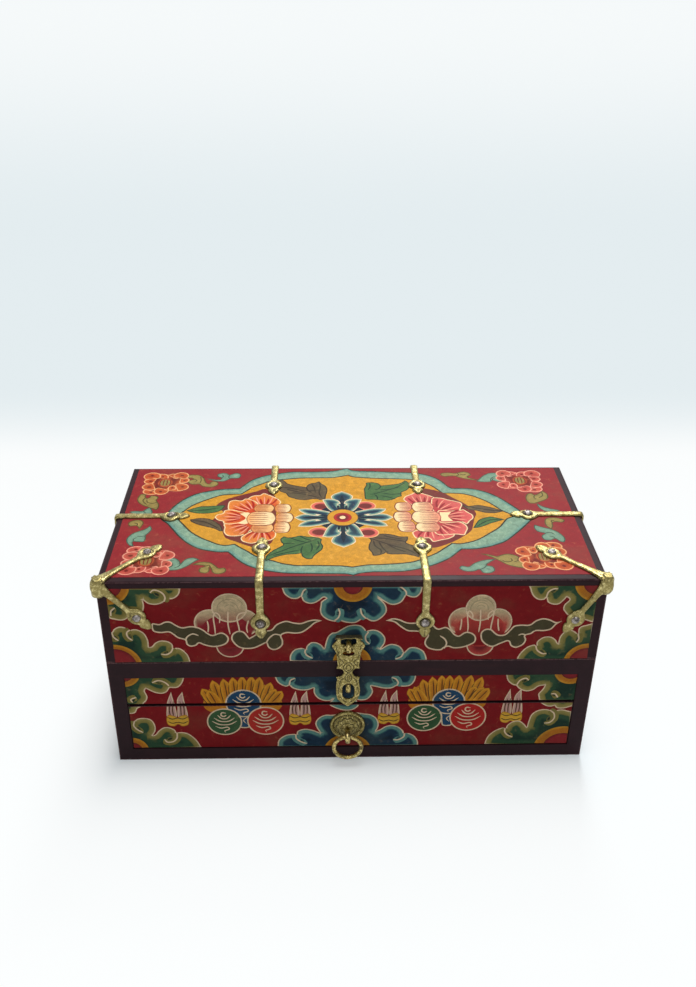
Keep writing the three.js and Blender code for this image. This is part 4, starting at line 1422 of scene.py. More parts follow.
    def draw_flames(self, film: PaintFilm, x: float, high: Sequence[Point], low: Sequence[Point]) -> None:
        """Paint flames that rise round a group of jewels.

        Args:
            film: The film that they are painted on.
            x: The middle of the group.
            high: The tips of the back row.
            low: The tips of the short flames beside them.
        """
        tone = Tone(((0.0, FLAME_EDGE), (0.5, FLAME), (3.0, FLAME_DEEP)), 0.4)
        film.fill([(x - 29, 52), (x - 27, 64), (x - 20, 72), (x, 75), (x + 20, 72), (x + 27, 64),
                   (x + 29, 52), (x + 20, 46), (x - 20, 46)], plain(FLAME_DEEP, 0.5))
        for tip in (*high, *low):
            base = (x + (tip[0] - x) * 0.72, 54)
            way = np.array([tip[0] - base[0], tip[1] - base[1]])
            reach = float(np.hypot(*way))
            along, across = way / reach, np.array([-way[1], way[0]]) / reach
            bulge = 4.4
            def at(share: float, out: float) -> Point:
                """Give a place beside the flame's middle line."""
                place = np.array(base) + along * reach * share + across * out
                return float(place[0]), float(place[1])
            film.fill([at(0, -bulge * 0.8), at(0.45, -bulge), at(0.8, -bulge * 0.75), (*at(1, 0), 1),
                       at(0.8, bulge * 0.75), at(0.45, bulge), at(0, bulge * 0.8)], tone)
            film.stroke([at(0.15, 0.6), at(0.5, 0), at(0.86, -0.3)], 0.8, INK_BROWN, 0.3, 0.2)
            film.stroke([at(0.1, 3.9), at(0.5, 4.1), at(0.72, 3.4)], 0.7, INK_BROWN, 0.3, 0.2)

    def draw_jewel_ball(self, film: PaintFilm, centre: Point, radius: float, colour: Colour,
                        tail: bool = False) -> None:
        """Paint a round jewel with pale glints.

        Args:
            film: The film that it is painted on.
            centre: Its centre.
            radius: Its radius.
            colour: Its colour.
            tail: Whether a tail hangs from it between the other two.
        """
        x, z = centre
        if tail:
            film.fill([(x - 10, z - 4), (x + 10, z - 4), (x + 5.5, z - 12), (x + 4.5, z - 20),
                       (x + 3, z - 24), (x - 3, z - 24), (x - 4.5, z - 20),
                       (x - 5.5, z - 12)], lined(CREAM, colour, None, 0.9))
            film.stroke([(x - 1.5, z - 11), (x + 2.4, z - 13), (x - 0.6, z - 16.5),
                         (x + 1.4, z - 20)], 0.8, CREAM)
        film.shape(oval(centre, (radius, radius)),
                   lined(CREAM, colour, scaled(colour, 0.72), 0.95, radius))
        size = radius / 14

        def at(u: float, v: float) -> Point:
            """Give a place from its offset in a jewel of radius 14."""
            return x + u * size, z + v * size

        film.stroke([at(1.6, 9), at(-1.6, 9.6), at(-2.4, 7), at(-0.2, 5.6),
                     at(1.6, 7)], 1.1, CREAM, 0.4, 0.8)
        for half, level in ((5.2, 5.5), (8.2, 2.6), (9.8, -0.8)):
            film.stroke([at(-half, level + 1.6), at(-half * 0.5, level - 1.6), at(0, level - 2.4),
                         at(half * 0.5, level - 1.6), at(half, level + 1.6)], 1.0, CREAM, 0.35, 0.35)
        film.stroke([at(-7.5, -4.6), at(-3, -6.6), at(2, -5.6), at(3.4, -7.8), at(-0.4, -9.6),
                     at(0.6, -11.2)], 1.0, CREAM, 0.35, 0.3)


@dataclass
class LidTopPainting:
    """The ochre cartouche with two peonies and a blossom, and a flower in each corner.

    Attributes:
        low: The film's lowest corner.
        high: Its highest corner.
        blossom: The middle of the blossom.
        lobes: Centre, half size, first angle and sweep of each lobe of a corner flower.
    """

    low: Point = (-173.0, -76.0)
    high: Point = (172.0, 80.0)
    blossom: Point = (-6.0, 2.0)
    lobes: tuple[tuple[float, ...], ...] = (
        (-4.0, 10.5, 5.2, 5.6, 170, -200), (5.0, 11.5, 4.6, 4.8, 150, -190), (-11.0, 4.0, 6.2, 4.4, 60, 210),
        (13.5, 5.5, 5.2, 4.4, 110, -220), (-11.0, -5.0, 6.4, 5.2, 80, 230),
        (-9.0, -12.5, 6.6, 4.8, 140, 200), (-1.5, -11.5, 5.6, 5.6, 120, 250),
        (12.8, -5.5, 6.6, 5.6, 130, -230), (6.5, -7.5, 3.0, 4.4, 230, -260),
        (-12.0, 12.2, 6.6, 6.2, 230, -260), (11.5, 12.8, 6.0, 5.8, 190, -250))

    def film(self) -> PaintFilm:
        """Paint the lid's top.

        Returns:
            The film.
        """
        film = PaintFilm("paint_lid_top", "lid", Side.TOP, LID_TOP, self.low, self.high, plain(RED, 0.45))
        self.draw_cartouche(film)
        self.draw_leaves(film)
        self.draw_left_peony(film)
        self.draw_right_peony(film)
        self.draw_blossom(film)
        self.draw_scrolls(film)
        self.draw_corner_flower(film, (-148.5, 55.5), ORANGE_LOBE, (1, 1))
        self.draw_corner_flower(film, (-147, -54.5), PINK_LOBE, (1, -1))
        self.draw_corner_flower(film, (140, 57), PINK_LOBE, (-1, 1))
        self.draw_corner_flower(film, (138, -52), ORANGE_LOBE, (-1, -1))
        return film

    def draw_cartouche(self, film: PaintFilm) -> None:
        """Paint the teal band and the ochre field in it.

        Args:
            film: The film to paint on.
        """
        film.fill([
            (-143, 5), (-141, 10), (-137, 20), (-131, 30), (-122, 39), (-112, 43.5), (-102, 46.5),
            (-92, 47.5), (-88, 47.5, 1), (-86, 51), (-80, 60), (-73, 66), (-65, 70), (-55, 73), (-45, 75),
            (-30, 75), (-17, 75.5), (-10, 77), (-4, 79.5), (0, 80.5, 1), (3, 77.5), (10, 76), (20, 75.5),
            (35, 74), (50, 73), (62, 70), (70, 65), (76, 58), (80, 50), (83, 46.5, 1), (90, 46.5),
            (97, 46), (104, 43.5), (112, 38.5), (120, 30), (126, 21), (131, 13), (135, 6), (141, -1),
            (138, -4), (132, -12), (124, -22), (114, -33), (104, -39), (96, -42), (88, -43.5),
            (80, -43.5, 1), (77, -47), (70, -55), (62, -61), (55, -65), (48, -68), (40, -70.5), (30, -72),
            (15, -72), (5, -73.5), (0, -76, 1), (-4, -74.5), (-10, -74), (-30, -73.5), (-45, -73),
            (-52, -72), (-60, -70), (-68, -67), (-76, -62), (-82, -56), (-88, -48), (-90, -45.5, 1),
            (-97, -45.5), (-105, -43.5), (-113, -40), (-121, -33), (-128, -24), (-134, -14), (-139, -6),
            (-144, 0)], Tone(((0.0, BAND_LINE), (1.0, BAND_LINE), (1.4, TEAL), (4.5, TEAL_PALE)), 0.95))
        film.fill([
            (-133, 5), (-128, 14), (-124, 20), (-118, 26), (-110, 32), (-102, 37), (-95, 38.5),
            (-86, 39, 1), (-83, 43), (-78, 49.5), (-72, 54), (-66, 58.5), (-60, 61), (-50, 63), (-40, 64.5),
            (-25, 65), (-15, 65), (-8, 66.5), (0, 69.5, 1), (3, 67), (8, 65.5), (20, 64), (35, 63),
            (48, 62), (56, 60), (62, 56), (68, 50), (72, 44), (75, 39, 1), (82, 39), (90, 38),
            (98, 34.5), (106, 28), (112, 21), (118, 12), (126, 3), (120, -2), (113, -13), (104, -22),
            (95, -30), (88, -34), (80, -36.5), (74, -36, 1), (68, -42), (62, -48), (55, -53), (45, -59),
            (35, -61.5), (20, -63), (10, -63.5), (0, -66, 1), (-8, -64.5), (-15, -64), (-30, -63.5),
            (-40, -63.5), (-50, -61), (-57, -57.5), (-63, -55), (-70, -51), (-76, -45), (-82, -39.5),
            (-86, -35.5, 1), (-92, -37), (-98, -35.5), (-105, -31), (-112, -26), (-120, -18),
            (-126, -9), (-131, -1)],
                  Tone(((0.0, BAND_LINE), (1.1, BAND_LINE), (1.4, OCHRE), (9.0, OCHRE)), 0.8))
        film.fill([(-66, 46), (-75, 42), (-86, 36.5), (-97, 30), (-104, 20), (-98, 10), (-105, -2),
                   (-97, -15), (-93, -26), (-84, -32), (-76, -37), (-68, -40), (-58, -30),
                   (-58, 30)], plain(MAROON))
        film.fill([(56, 46), (66, 44), (75, 39), (82, 31), (90, 22), (96, 12), (97, 6), (95, 0), (93, -8),
                   (90, -18), (82, -27), (72, -35), (60, -41), (52, -38), (52, 30)], plain(MAROON))

    def draw_leaf(self, film: PaintFilm, outline: Sequence[Point], colours: tuple[Colour, Colour],
                  veins: Sequence[Sequence[Point]]) -> None:
        """Paint a leaf with its veins.

        Args:
            film: The film that it is painted on.
            outline: The places that its edge runs through.
            colours: Its own colour and that of its edge and veins.
            veins: The lines of its veins.
        """
        body, line = colours
        film.fill(outline, lined(line, body, scaled(body, 0.85), 0.85, 5.0, mottle=0.7))
        for vein in veins:
            film.stroke(vein, 1.15, line, 0.6, 0.2, 0.5)

    def draw_leaves(self, film: PaintFilm) -> None:
        """Paint the eight leaves round the flowers.

        Args:
            film: The film to paint on.
        """
        green, brown = (LEAF, LEAF_DEEP), (LEAF_BROWN, LEAF_BROWN_DEEP)
        self.draw_leaf(film, [
            (-57, 59.5), (-54, 61.5, 1), (-51.5, 58.5), (-49.5, 55), (-44, 52), (-38, 50), (-34.5, 49, 1),
            (-33.5, 52), (-31, 55), (-27, 56.5), (-24, 58.5, 1), (-22, 54.5), (-19, 51), (-17.5, 46),
            (-17.5, 41), (-18.5, 36), (-19, 30, 1), (-23, 28.5), (-26, 30), (-30, 29.5), (-35, 28.5),
            (-40, 29), (-44, 31), (-48, 33.5), (-49.5, 36.5), (-50.5, 39), (-55, 42), (-57, 47), (-58, 53)],
            brown, [[(-56, 50), (-46, 47), (-36, 43), (-24, 44)], [(-34.5, 49), (-33, 44), (-30, 40)],
                    [(-49, 40), (-40, 39), (-32, 36), (-22, 31)],
                    [(-24, 57), (-23, 50), (-24, 40), (-22, 32)], [(-30, 54), (-28, 48), (-27, 40)],
                    [(-50, 46), (-42, 42), (-34, 40)]])
        self.draw_leaf(film, [
            (-62, -51), (-58, -44), (-54, -40), (-50.5, -36.5), (-50.5, -34.5, 1), (-52, -32), (-52.5, -28),
            (-50, -24.5, 1), (-47, -26), (-43, -25.5), (-38, -23.5), (-33, -25), (-28, -25.5),
            (-24.5, -26.5), (-22, -29), (-22.5, -33), (-21, -38), (-22, -43), (-25, -47), (-27.5, -51),
            (-29, -54.5), (-33, -54.5), (-36, -51.5), (-37, -47.5, 1), (-41, -48.5), (-47, -49), (-53, -51),
            (-58, -54), (-62, -57)],
            green, [[(-60, -50), (-50, -43.5), (-42, -38), (-33, -33), (-24, -28)],
                    [(-42, -34), (-46, -34), (-50, -34.5)], [(-36, -38), (-37, -43), (-36.5, -48)],
                    [(-30, -34), (-29, -40), (-30, -46)], [(-57, -50), (-48, -46.5), (-38, -43)],
                    [(-38, -24.5), (-34, -28), (-29, -31)], [(-46, -26), (-40, -30), (-33, -33)],
                    [(-25, -31), (-24, -37), (-26, -43)]])
        self.draw_leaf(film, [
            (12, 46), (14, 52), (14, 55.5), (19, 56.5), (24, 54.5), (26, 51), (28, 51.5, 1), (34, 52.5),
            (40, 54), (44, 57), (46, 59.5, 1), (48, 57), (49.5, 53), (49, 48), (46, 43), (42, 40),
            (41.5, 37.5, 1), (41.5, 34), (38, 32), (35, 29), (30, 27), (24, 27.5), (19, 28.5), (13, 29),
            (12, 33), (12, 40)],
            green, [[(46, 56), (38, 48), (28, 42), (16, 36)], [(26, 51), (24, 46), (20, 44)],
                    [(42, 38), (34, 37), (26, 39)], [(40, 48), (32, 45), (24, 44)],
                    [(35, 30), (30, 33), (24, 35)], [(22, 29), (22, 33), (20, 37)],
                    [(17, 55), (17, 49), (15, 44)]])
        self.draw_leaf(film, [
            (12, -26.5), (16, -25), (19, -22.5), (25, -21.5), (31, -23), (36, -25.5), (42, -25.5, 1),
            (41.5, -30), (40, -34), (45, -38), (48, -43), (48, -53.5, 1), (44, -51.5), (38, -49.5),
            (30, -49.5), (25, -48.5), (24.5, -46.5, 1), (23, -48.5), (19, -50.5), (15, -51), (14, -47),
            (12, -42), (12.5, -36), (14, -31), (13, -28)],
            brown, [[(14, -28), (22, -33), (30, -38), (40, -43), (47, -50)],
                    [(16, -27), (26, -28.5), (35, -31), (40, -33)],
                    [(16, -31), (17, -38), (21, -44), (20, -50)], [(20, -33), (22, -40), (25, -46)],
                    [(26, -36), (32, -42), (40, -47)], [(24, -24), (30, -27), (38, -29)]])
        self.draw_leaf(film, [(-127, 13, 1), (-117, 19), (-108, 20), (-98, 21), (-98, 17), (-101, 12),
                              (-108, 9), (-118, 9)], green, [[(-124, 12.5), (-113, 14), (-101, 17)]])
        self.draw_leaf(film, [(-122, 0, 1), (-115, 2), (-108, 1), (-103, -3), (-98, -9), (-96, -16),
                              (-98, -17), (-103, -13), (-110, -10), (-116, -7), (-121, -3)], brown,
                       [[(-120, -1.5), (-110, -4), (-98, -14)]])
        self.draw_leaf(film, [(86, 22), (92, 18), (100, 19.5), (108, 17), (115, 13), (119, 10, 1),
                              (112, 7.5), (104, 8), (98, 11), (92, 13)], brown,
                       [[(117, 10.5), (104, 13), (90, 18)]])
        self.draw_leaf(film, [(92, -14, 1), (94, -10), (97, -4), (100, -1), (107, 2), (113, 0),
                              (118, -2, 1), (112, -5), (106, -8), (100, -12), (95, -14)], green,
                       [[(115, -2), (105, -3.5), (94, -13)]])

    def draw_petal(self, film: PaintFilm, outline: Sequence[Point], colours: tuple[Colour, Colour],
                   heart: Point) -> None:
        """Paint one of a peony's outer petals, deeper towards the heart, with pale streaks.

        Args:
            film: The film that it is painted on.
            outline: The places that its edge runs through.
            colours: Its outer colour and its deep colour.
            heart: The middle of the flower.
        """
        places = np.array([point[:2] for point in outline], dtype=float)
        middle = places.mean(axis=0)
        way = np.array(heart) - middle
        far = places[np.argmin((places - middle) @ way)]
        reach = far + (np.array(heart) - far) * 0.72
        outer, deep = colours
        film.fill(outline, lined(CREAM_WARM, outer, None, 0.75,
                                 fade=Fade(tuple(far), tuple(reach), deep), mottle=0.6))
        across = np.array([-way[1], way[0]]) / max(float(np.hypot(*way)), TINY)
        spread = float(np.ptp((places - middle) @ across))
        for index, share in enumerate((-0.3, -0.2, -0.1, 0.0, 0.1, 0.2, 0.3)):
            back, width, line = (0.16, 1.0, SALMON) if index % 2 else (0.04, 1.7, scaled(deep, 0.7))
            start = middle + across * spread * share * 0.45 + way * 0.34
            end = middle + across * spread * share * 1.3 - way * back
            bend = (start + end) / 2 + across * share * 3
            film.stroke([tuple(start), tuple(bend), tuple(end)], width, line, 0.7, 0.1)

    def draw_lobe(self, film: PaintFilm, centre: Point, half: Point, colours: tuple[Colour, Colour],
                  line: Colour, side: int) -> None:
        """Paint one lobe of a peony's crown with fine lines along it.

        Args:
            film: The film that it is painted on.
            centre: Its centre.
            half: Its half width and half height.
            colours: Its lit colour and its shaded colour.
            line: The colour of its lines.
            side: The side that is shaded, -1 or 1.
        """
        x, y = centre
        lit, shade = colours
        fade = Fade((x - side * half[0] * 0.3, y), (x + side * half[0], y), shade, 0.3)
        points = [(x + half[0] * u, y + half[1] * v)
                  for u, v in ((-1, -0.25), (-0.72, -0.86), (0, -1), (0.72, -0.86), (1, -0.25), (1, 0.25),
                               (0.72, 0.86), (0, 1), (-0.72, 0.86), (-1, 0.25))]
        film.fill(points, lined(scaled(line, 0.4), lit, None, 0.75, fade=fade, mottle=0.6))
        for level in (-0.66, -0.4, -0.14, 0.14, 0.4, 0.66):
            reach = half[0] * math.sqrt(1 - level * level)
            film.stroke([(x + side * reach * 0.85, y + level * half[1]), (x, y + level * half[1] * 1.12),
                         (x - side * reach * 0.55, y + level * half[1] * 1.05)],
                        0.75, scaled(line, 0.7), 0.6, 0.1)

    def draw_left_peony(self, film: PaintFilm) -> None:
        """Paint the orange peony.

        Args:
            film: The film to paint on.
        """
        heart = (-66.0, 1.0)
        for outline in (
            [(-80, 27), (-79, 33), (-75, 36), (-71, 36.5), (-68, 39.5), (-64, 37), (-60, 34), (-56, 30),
             (-54, 24), (-60, 16), (-70, 16)],
            [(-81, -24), (-81, -30), (-77, -33), (-73, -34), (-69, -32), (-66, -29), (-60, -30), (-56, -24),
             (-58, -16), (-70, -14)],
            [(-95, 22), (-94, 27), (-90, 29), (-85, 28), (-82, 31), (-78, 30), (-74, 27), (-71, 22),
             (-70, 12), (-80, 6), (-88, 9), (-94, 14)],
            [(-95, -6), (-95, -12), (-95, -18), (-92, -23), (-86, -24), (-80, -22), (-76, -17), (-70, -10),
             (-74, -2)],
            [(-88, 13), (-93, 14.5), (-97, 13), (-98, 9), (-102, 7), (-103.5, 3), (-101, -1), (-97, -3),
             (-96, -6), (-90, -7), (-78, -2), (-78, 8)],
        ):
            self.draw_petal(film, outline, (CORAL_PALE, CORAL_DEEP), heart)
        film.fill([(-85, 8, 1), (-79, 10), (-76, 6), (-76, -3), (-80, -7), (-86, -5.5, 1), (-82, -2),
                   (-80, 1.5), (-82, 5)], plain(PEACH_PALE, 0.2))
        small, middle, large = (PEACH_PALE, CORAL_PALE), (PEACH, PEACH_DEEP), (PEACH_PALE, APRICOT)
        lobes = [((-52, 16), (6.5, 6.8), small), ((-50.5, 2), (7, 7.4), small),
                 ((-52, -12), (6.5, 8), small), ((-66.5, 16), (8, 6.5), middle),
                 ((-66.5, -12.5), (8.6, 7), middle), ((-68, 1), (11, 10.4), large)]
        for centre, half, colours in lobes:
            self.draw_lobe(film, centre, half, colours, RUST, -1)

    def draw_right_peony(self, film: PaintFilm) -> None:
        """Paint the pink peony.

        Args:
            film: The film to paint on.
        """
        heart = (58.0, 2.0)
        for outline in (
            [(43, 27), (44, 33), (49, 37), (53, 40), (57, 39), (62, 36), (67, 32), (69, 28), (66, 20),
             (52, 18)],
            [(47, -18), (46, -24), (49, -29), (57, -28), (60, -33), (66, -31), (72, -29), (77, -24),
             (74, -18), (60, -14)],
            [(65, 30), (72, 31), (78, 28), (83, 26), (88, 22), (86, 14), (84, 9), (70, 6), (64, 12)],
            [(80, -4), (86, -8), (88, -14), (86, -20), (84, -24), (78, -23), (70, -24), (64, -23), (62, -18),
             (63, -11), (67, -4)],
            [(68, 11), (78, 11), (85, 12), (88, 13), (91, 9), (94, 5), (94, 0), (91, -4), (88, -8.5),
             (84, -5.5), (68, -6)],
        ):
            self.draw_petal(film, outline, (PINK_PALE, PINK_DEEP), heart)
        film.fill([(69, 9, 1), (78, 9, 1), (75, 3), (78, -4, 1), (69, -4.5, 1)], plain(PEACH_PALE, 0.2))
        for centre, half in (((41.5, 17.5), (6.8, 7)), ((40, 2.5), (7.2, 8)), ((42, -11.5), (6.8, 8)),
                             ((56.5, 17), (8.6, 8)), ((58, -12.5), (9.4, 7)), ((58, 2), (11.2, 9.4))):
            self.draw_lobe(film, centre, half, (PEACH_PALE, PINK_SOFT), SALMON_DEEP, 1)

    def draw_blossom(self, film: PaintFilm) -> None:
        """Paint the blue blossom in the middle.

        Args:
            film: The film to paint on.
        """
        cx, cy = self.blossom
        rose = Tone(((0.0, PEACH), (0.7, PEACH), (1.0, PINK), (2.6, PINK), (3.6, MAROON)), 0.4)
        for x, y in ((-22.5, 18.5), (-24, -19), (12, 19), (12.5, -20)):
            film.shape(oval((x, y), (8.4, 7.2)), rose)
        film.shape(oval(self.blossom, (20, 19)), plain(NAVY_DEEP, 0.4))
        petal = Tone(((0.0, CREAM), (0.6, CREAM), (0.85, TEAL_PALE), (1.7, TEAL_PALE), (2.5, PETAL_BLUE),
                      (5.0, NAVY)), 0.6)
        for quarter, reach, half in ((0, 39.0, 5.4), (1, 40.0, 8.6), (2, 37.0, 5.4), (3, 42.0, 9.0)):
            turn = quarter * math.pi / 2
            along = np.array([round(math.cos(turn)), round(math.sin(turn))])
            across = np.array([-along[1], along[0]])
            upright = quarter % 2 == 1

            def at(forward: float, aside: float) -> Point:
                """Give a place in front of and beside the blossom's middle."""
                spot = np.array([cx, cy]) + along * forward + across * aside
                return float(spot[0]), float(spot[1])

            film.fill([at(9, -3), at(18, -4), at(reach - 10, -half), at(reach - 5, -half * 0.8),
                       (*at(reach, 0), 1), at(reach - 5, half * 0.8), at(reach - 10, half), at(18, 4),
                       at(9, 3)], petal)
            film.stroke([at(9, 0), at(20, 0), at(reach - 7, 0)], 3.4, NAVY_DEEP, 0.9, 0.2, 0.5)
            for side in (-1, 1):
                if upright:
                    outline = [(9, 7.6), (13, 11), (18, 13), (*(27, 15.6), 1), (28.2, 11), (27, 5.5),
                               (24.5, 2.4), (20.5, 1.4), (20, 3.2), (14, 2.2), (9, 1.4)]
                else:
                    outline = [(9, 7.2), (14, 10), (22, 12.6), (28, 13.4), (*(34, 12.8), 1), (32.5, 9),
                               (28, 5), (23, 3), (18.5, 2.6), (20, 4.4), (14, 2.6), (9, 1.2)]
                film.fill([(*at(place[0], side * place[1]), *place[2:]) for place in outline], petal)
                deep = [(11, 4.6), (17, 7.4), (22, 9.6)] if upright else [(12, 4.6), (20, 7), (28, 9.6)]
                film.stroke([at(a, side * b) for a, b in deep], 3.0, NAVY, 0.9, 0.2, 0.5)
                film.stroke([at(9, side * 2.2), at(13, side * 2.8),
                             at(18, side * 3.4)], 2.2, NAVY_DEEP, 0.9, 0.2, 0.4)
        film.shape(oval(self.blossom, (12.2, 12.2)),
                   Tone(((0.0, INK), (0.5, INK), (0.8, OCHRE), (5.0, OCHRE)), 0.4))
        film.shape(oval(self.blossom, (7.0, 7.0)),
                   Tone(((0.0, RUST), (0.5, RED_DEEP), (0.8, JEWEL_RED), (3.0, RED_DEEP)), 0.3))
        film.shape(oval(self.blossom, (2.3, 2.3), step=0.6), plain(PEACH_PALE, 0.1))

    def draw_scrolls(self, film: PaintFilm) -> None:
        """Paint the scrolled leaves between the corner flowers and the band.

        Args:
            film: The film to paint on.
        """
        scrolls = [
            (OLIVE_TOP, [(-133, 69), (-128, 70.5), (-122, 69.5), (-118, 65), (-116.5, 60), (-115, 56.5),
                         (-112.5, 55), (-112, 58), (-109, 59.5), (-106, 57.5), (-105.5, 53.5), (-108, 50.5),
                         (-113, 49.5), (-118, 51), (-121, 54.5), (-123.5, 54), (-126, 54), (-129, 55.5),
                         (-130.5, 58.5), (-129, 61.5), (-126.5, 62.5), (-128, 64.5), (-131, 64.5),
                         (-133, 65)],
             [[(-121, 67), (-120, 61), (-120.5, 56)], [(-126, 63), (-123.5, 61), (-124.5, 58.5)]]),
            (TEAL_TOP, [(-115.5, 64), (-110, 62.5), (-105, 62), (-104, 64.5), (-107, 67), (-107.5, 71),
                        (-104, 73), (-100, 72.5), (-97.5, 70), (-94, 72.5), (-90, 72.5), (-88, 69),
                        (-89, 65), (-92, 63.5), (-96, 63.5), (-99, 60.5), (-102, 58.8), (-107, 59),
                        (-112, 61)],
             [[(-97.5, 70), (-98, 66), (-96.5, 63.5)], [(-104, 64.5), (-102.5, 67), (-103.5, 70)]]),
            (OLIVE_TOP, [(-165, 39), (-167, 33), (-166, 27), (-162, 22), (-157, 18.5), (-152, 15.5),
                         (-150, 14, 1), (-148.5, 17), (-148.5, 22), (-150, 26, 1), (-151.5, 29.5),
                         (-150.5, 33), (-152.5, 36), (-157, 36.5), (-158, 33.5), (-159.5, 32.5),
                         (-161, 34.5), (-161, 38)],
             [[(-150, 26), (-154, 24.5), (-158, 26), (-159.5, 30)], [(-161, 33), (-162, 28), (-158, 22)]]),
            (TEAL_TOP, [(-170, 11.5), (-166, 13), (-160, 13), (-158, 16), (-155, 18), (-153, 14.5),
                        (-152, 10), (-155, 8), (-165, 8.5)],
             [[(-160, 13), (-158, 11), (-157, 9)]]),
            (OLIVE_TOP, [(-168, -6), (-167, -2.5), (-163, 0), (-159, -0.5), (-156.5, -4), (-157, -9),
                         (-158.5, -13.5, 1), (-160.5, -9.5), (-163, -8.8), (-166, -9.5)],
             [[(-161, -9), (-161, -5.5), (-163.5, -5)]]),
            (TEAL_TOP, [(-151, -8.5, 1), (-149, -13), (-150, -18), (-152, -22), (-151.5, -27), (-152.5, -31),
                        (-157, -31), (-160, -30.5), (-160, -33), (-158.5, -37, 1), (-162, -36), (-165, -31),
                        (-165.5, -26), (-163, -20), (-159, -16.5), (-154.5, -13.5)],
             [[(-158.5, -23.8), (-155, -23.6), (-152, -22.4)], [(-160, -30.5), (-160.5, -27), (-158, -25)]]),
            (TEAL_TOP, [(-133, -54), (-130, -52), (-126, -53), (-123, -56.5), (-122, -60, 1), (-121, -57),
                        (-118.5, -53.5), (-114, -52), (-109, -54.5, 1), (-112, -57), (-115, -61),
                        (-119, -65), (-124, -67.8), (-130, -68), (-134, -66.5), (-133.5, -62), (-130.5, -64),
                        (-128, -62), (-128.5, -59), (-131, -58.5), (-132.5, -56.5)],
             [[(-122, -60), (-123, -63), (-126, -65)], [(-130, -56), (-127, -56)]]),
            (OLIVE_TOP, [(-113.5, -61), (-110, -58.5), (-106, -57.5), (-101, -58.5), (-97, -62.5),
                         (-94.5, -65.5), (-91, -65), (-89, -68), (-90.5, -71.5), (-95, -73), (-98.5, -71),
                         (-100, -66.5), (-101, -64.5, 1), (-100.8, -69), (-103, -71.8), (-107, -71),
                         (-108.5, -68), (-107.5, -65), (-104.5, -63), (-107, -62), (-110.5, -61.5)],
             [[(-104.5, -63), (-101.5, -62), (-100.5, -65)]]),
            (OLIVE_TOP, [(76, 68), (77, 71.5), (82, 72.5), (87, 71.5), (90, 72), (95, 74), (100, 72),
                         (101, 68), (98, 64.5), (104, 61), (110, 58.5, 1), (100, 60), (92, 63), (88, 66),
                         (83, 66), (79, 65.5)],
             [[(92, 70), (95, 68.5), (97.5, 70)], [(88, 66), (91, 68.5), (90, 72)]]),
            (TEAL_TOP, [(104, 57, 1), (108, 63), (112, 68), (117, 71.5), (123, 71.5), (127, 69), (126, 65),
                        (128, 61), (126, 57.5), (121, 57), (117.5, 59), (116, 56.5), (110, 56)],
             [[(117.5, 59), (119, 62.5), (122, 63)], [(116, 56.5), (117, 62), (121, 66)]]),
            (OLIVE_TOP, [(141, 22, 1), (139.5, 27), (140, 32), (142.5, 37), (146, 37.5), (148, 35),
                         (152, 38), (155, 42, 1), (158, 37), (158, 31), (155, 27), (150, 24), (145, 21.5)],
             [[(148, 35), (146.5, 31), (148, 28)], [(154, 40), (154, 34), (150, 30)]]),
            (TEAL_TOP, [(147, 22, 1), (147, 17), (149, 12), (153, 9), (160, 9), (163, 11), (156, 14),
                        (151, 17)], []),
            (OLIVE_TOP, [(151, -17, 1), (148, -12), (147.5, -7), (149, -2), (153, 0.5), (159, 0),
                         (163.5, -3.5), (161, -7), (156, -6), (153.5, -8), (153, -12)],
             [[(153.5, -8), (153, -4.5), (156, -3.5)]]),
            (TEAL_TOP, [(139, -10, 1), (138, -15), (140, -20), (145, -22, 1), (141.5, -26), (142.5, -31),
                        (147, -32), (151, -30), (154, -34), (157, -34), (158.5, -29), (156, -22),
                        (151, -16.5), (145, -13.5)],
             [[(145, -22), (149, -21), (152, -24)], [(151, -30), (150, -27), (147, -26)]]),
            (OLIVE_TOP, [(92, -49, 1), (98, -50), (104, -52.5), (107, -51), (112, -49.5), (117, -51),
                         (120, -54), (119, -58), (124, -60), (127, -64), (124, -68), (118, -67.5),
                         (111, -64.5), (105, -59), (100, -54)],
             [[(107, -58), (110, -60), (114, -58.5), (113.5, -55)], [(119, -58), (115, -60)]]),
            (TEAL_TOP, [(103, -56, 1), (98, -56.5), (92, -58), (86, -61.5), (82, -65.5), (77, -64.5),
                        (75, -68), (79, -71.5), (85, -71.5), (89, -69.5), (91, -73.5), (96, -74),
                        (100, -70.5), (99, -65.5), (95, -63.5)],
             [[(95, -63.5), (93, -67), (89, -69.5)], [(97, -69), (94, -68.5)]]),
        ]
        for colour, outline, lines in scrolls:
            dark, pale = scaled(colour, 0.32), scaled(colour, 1.15)
            film.fill(outline, Tone(((0.0, dark), (0.7, dark), (1.0, colour), (3.0, pale)), 0.8))
            for line in lines:
                film.stroke(line, 0.9, dark, 0.5, 0.3)

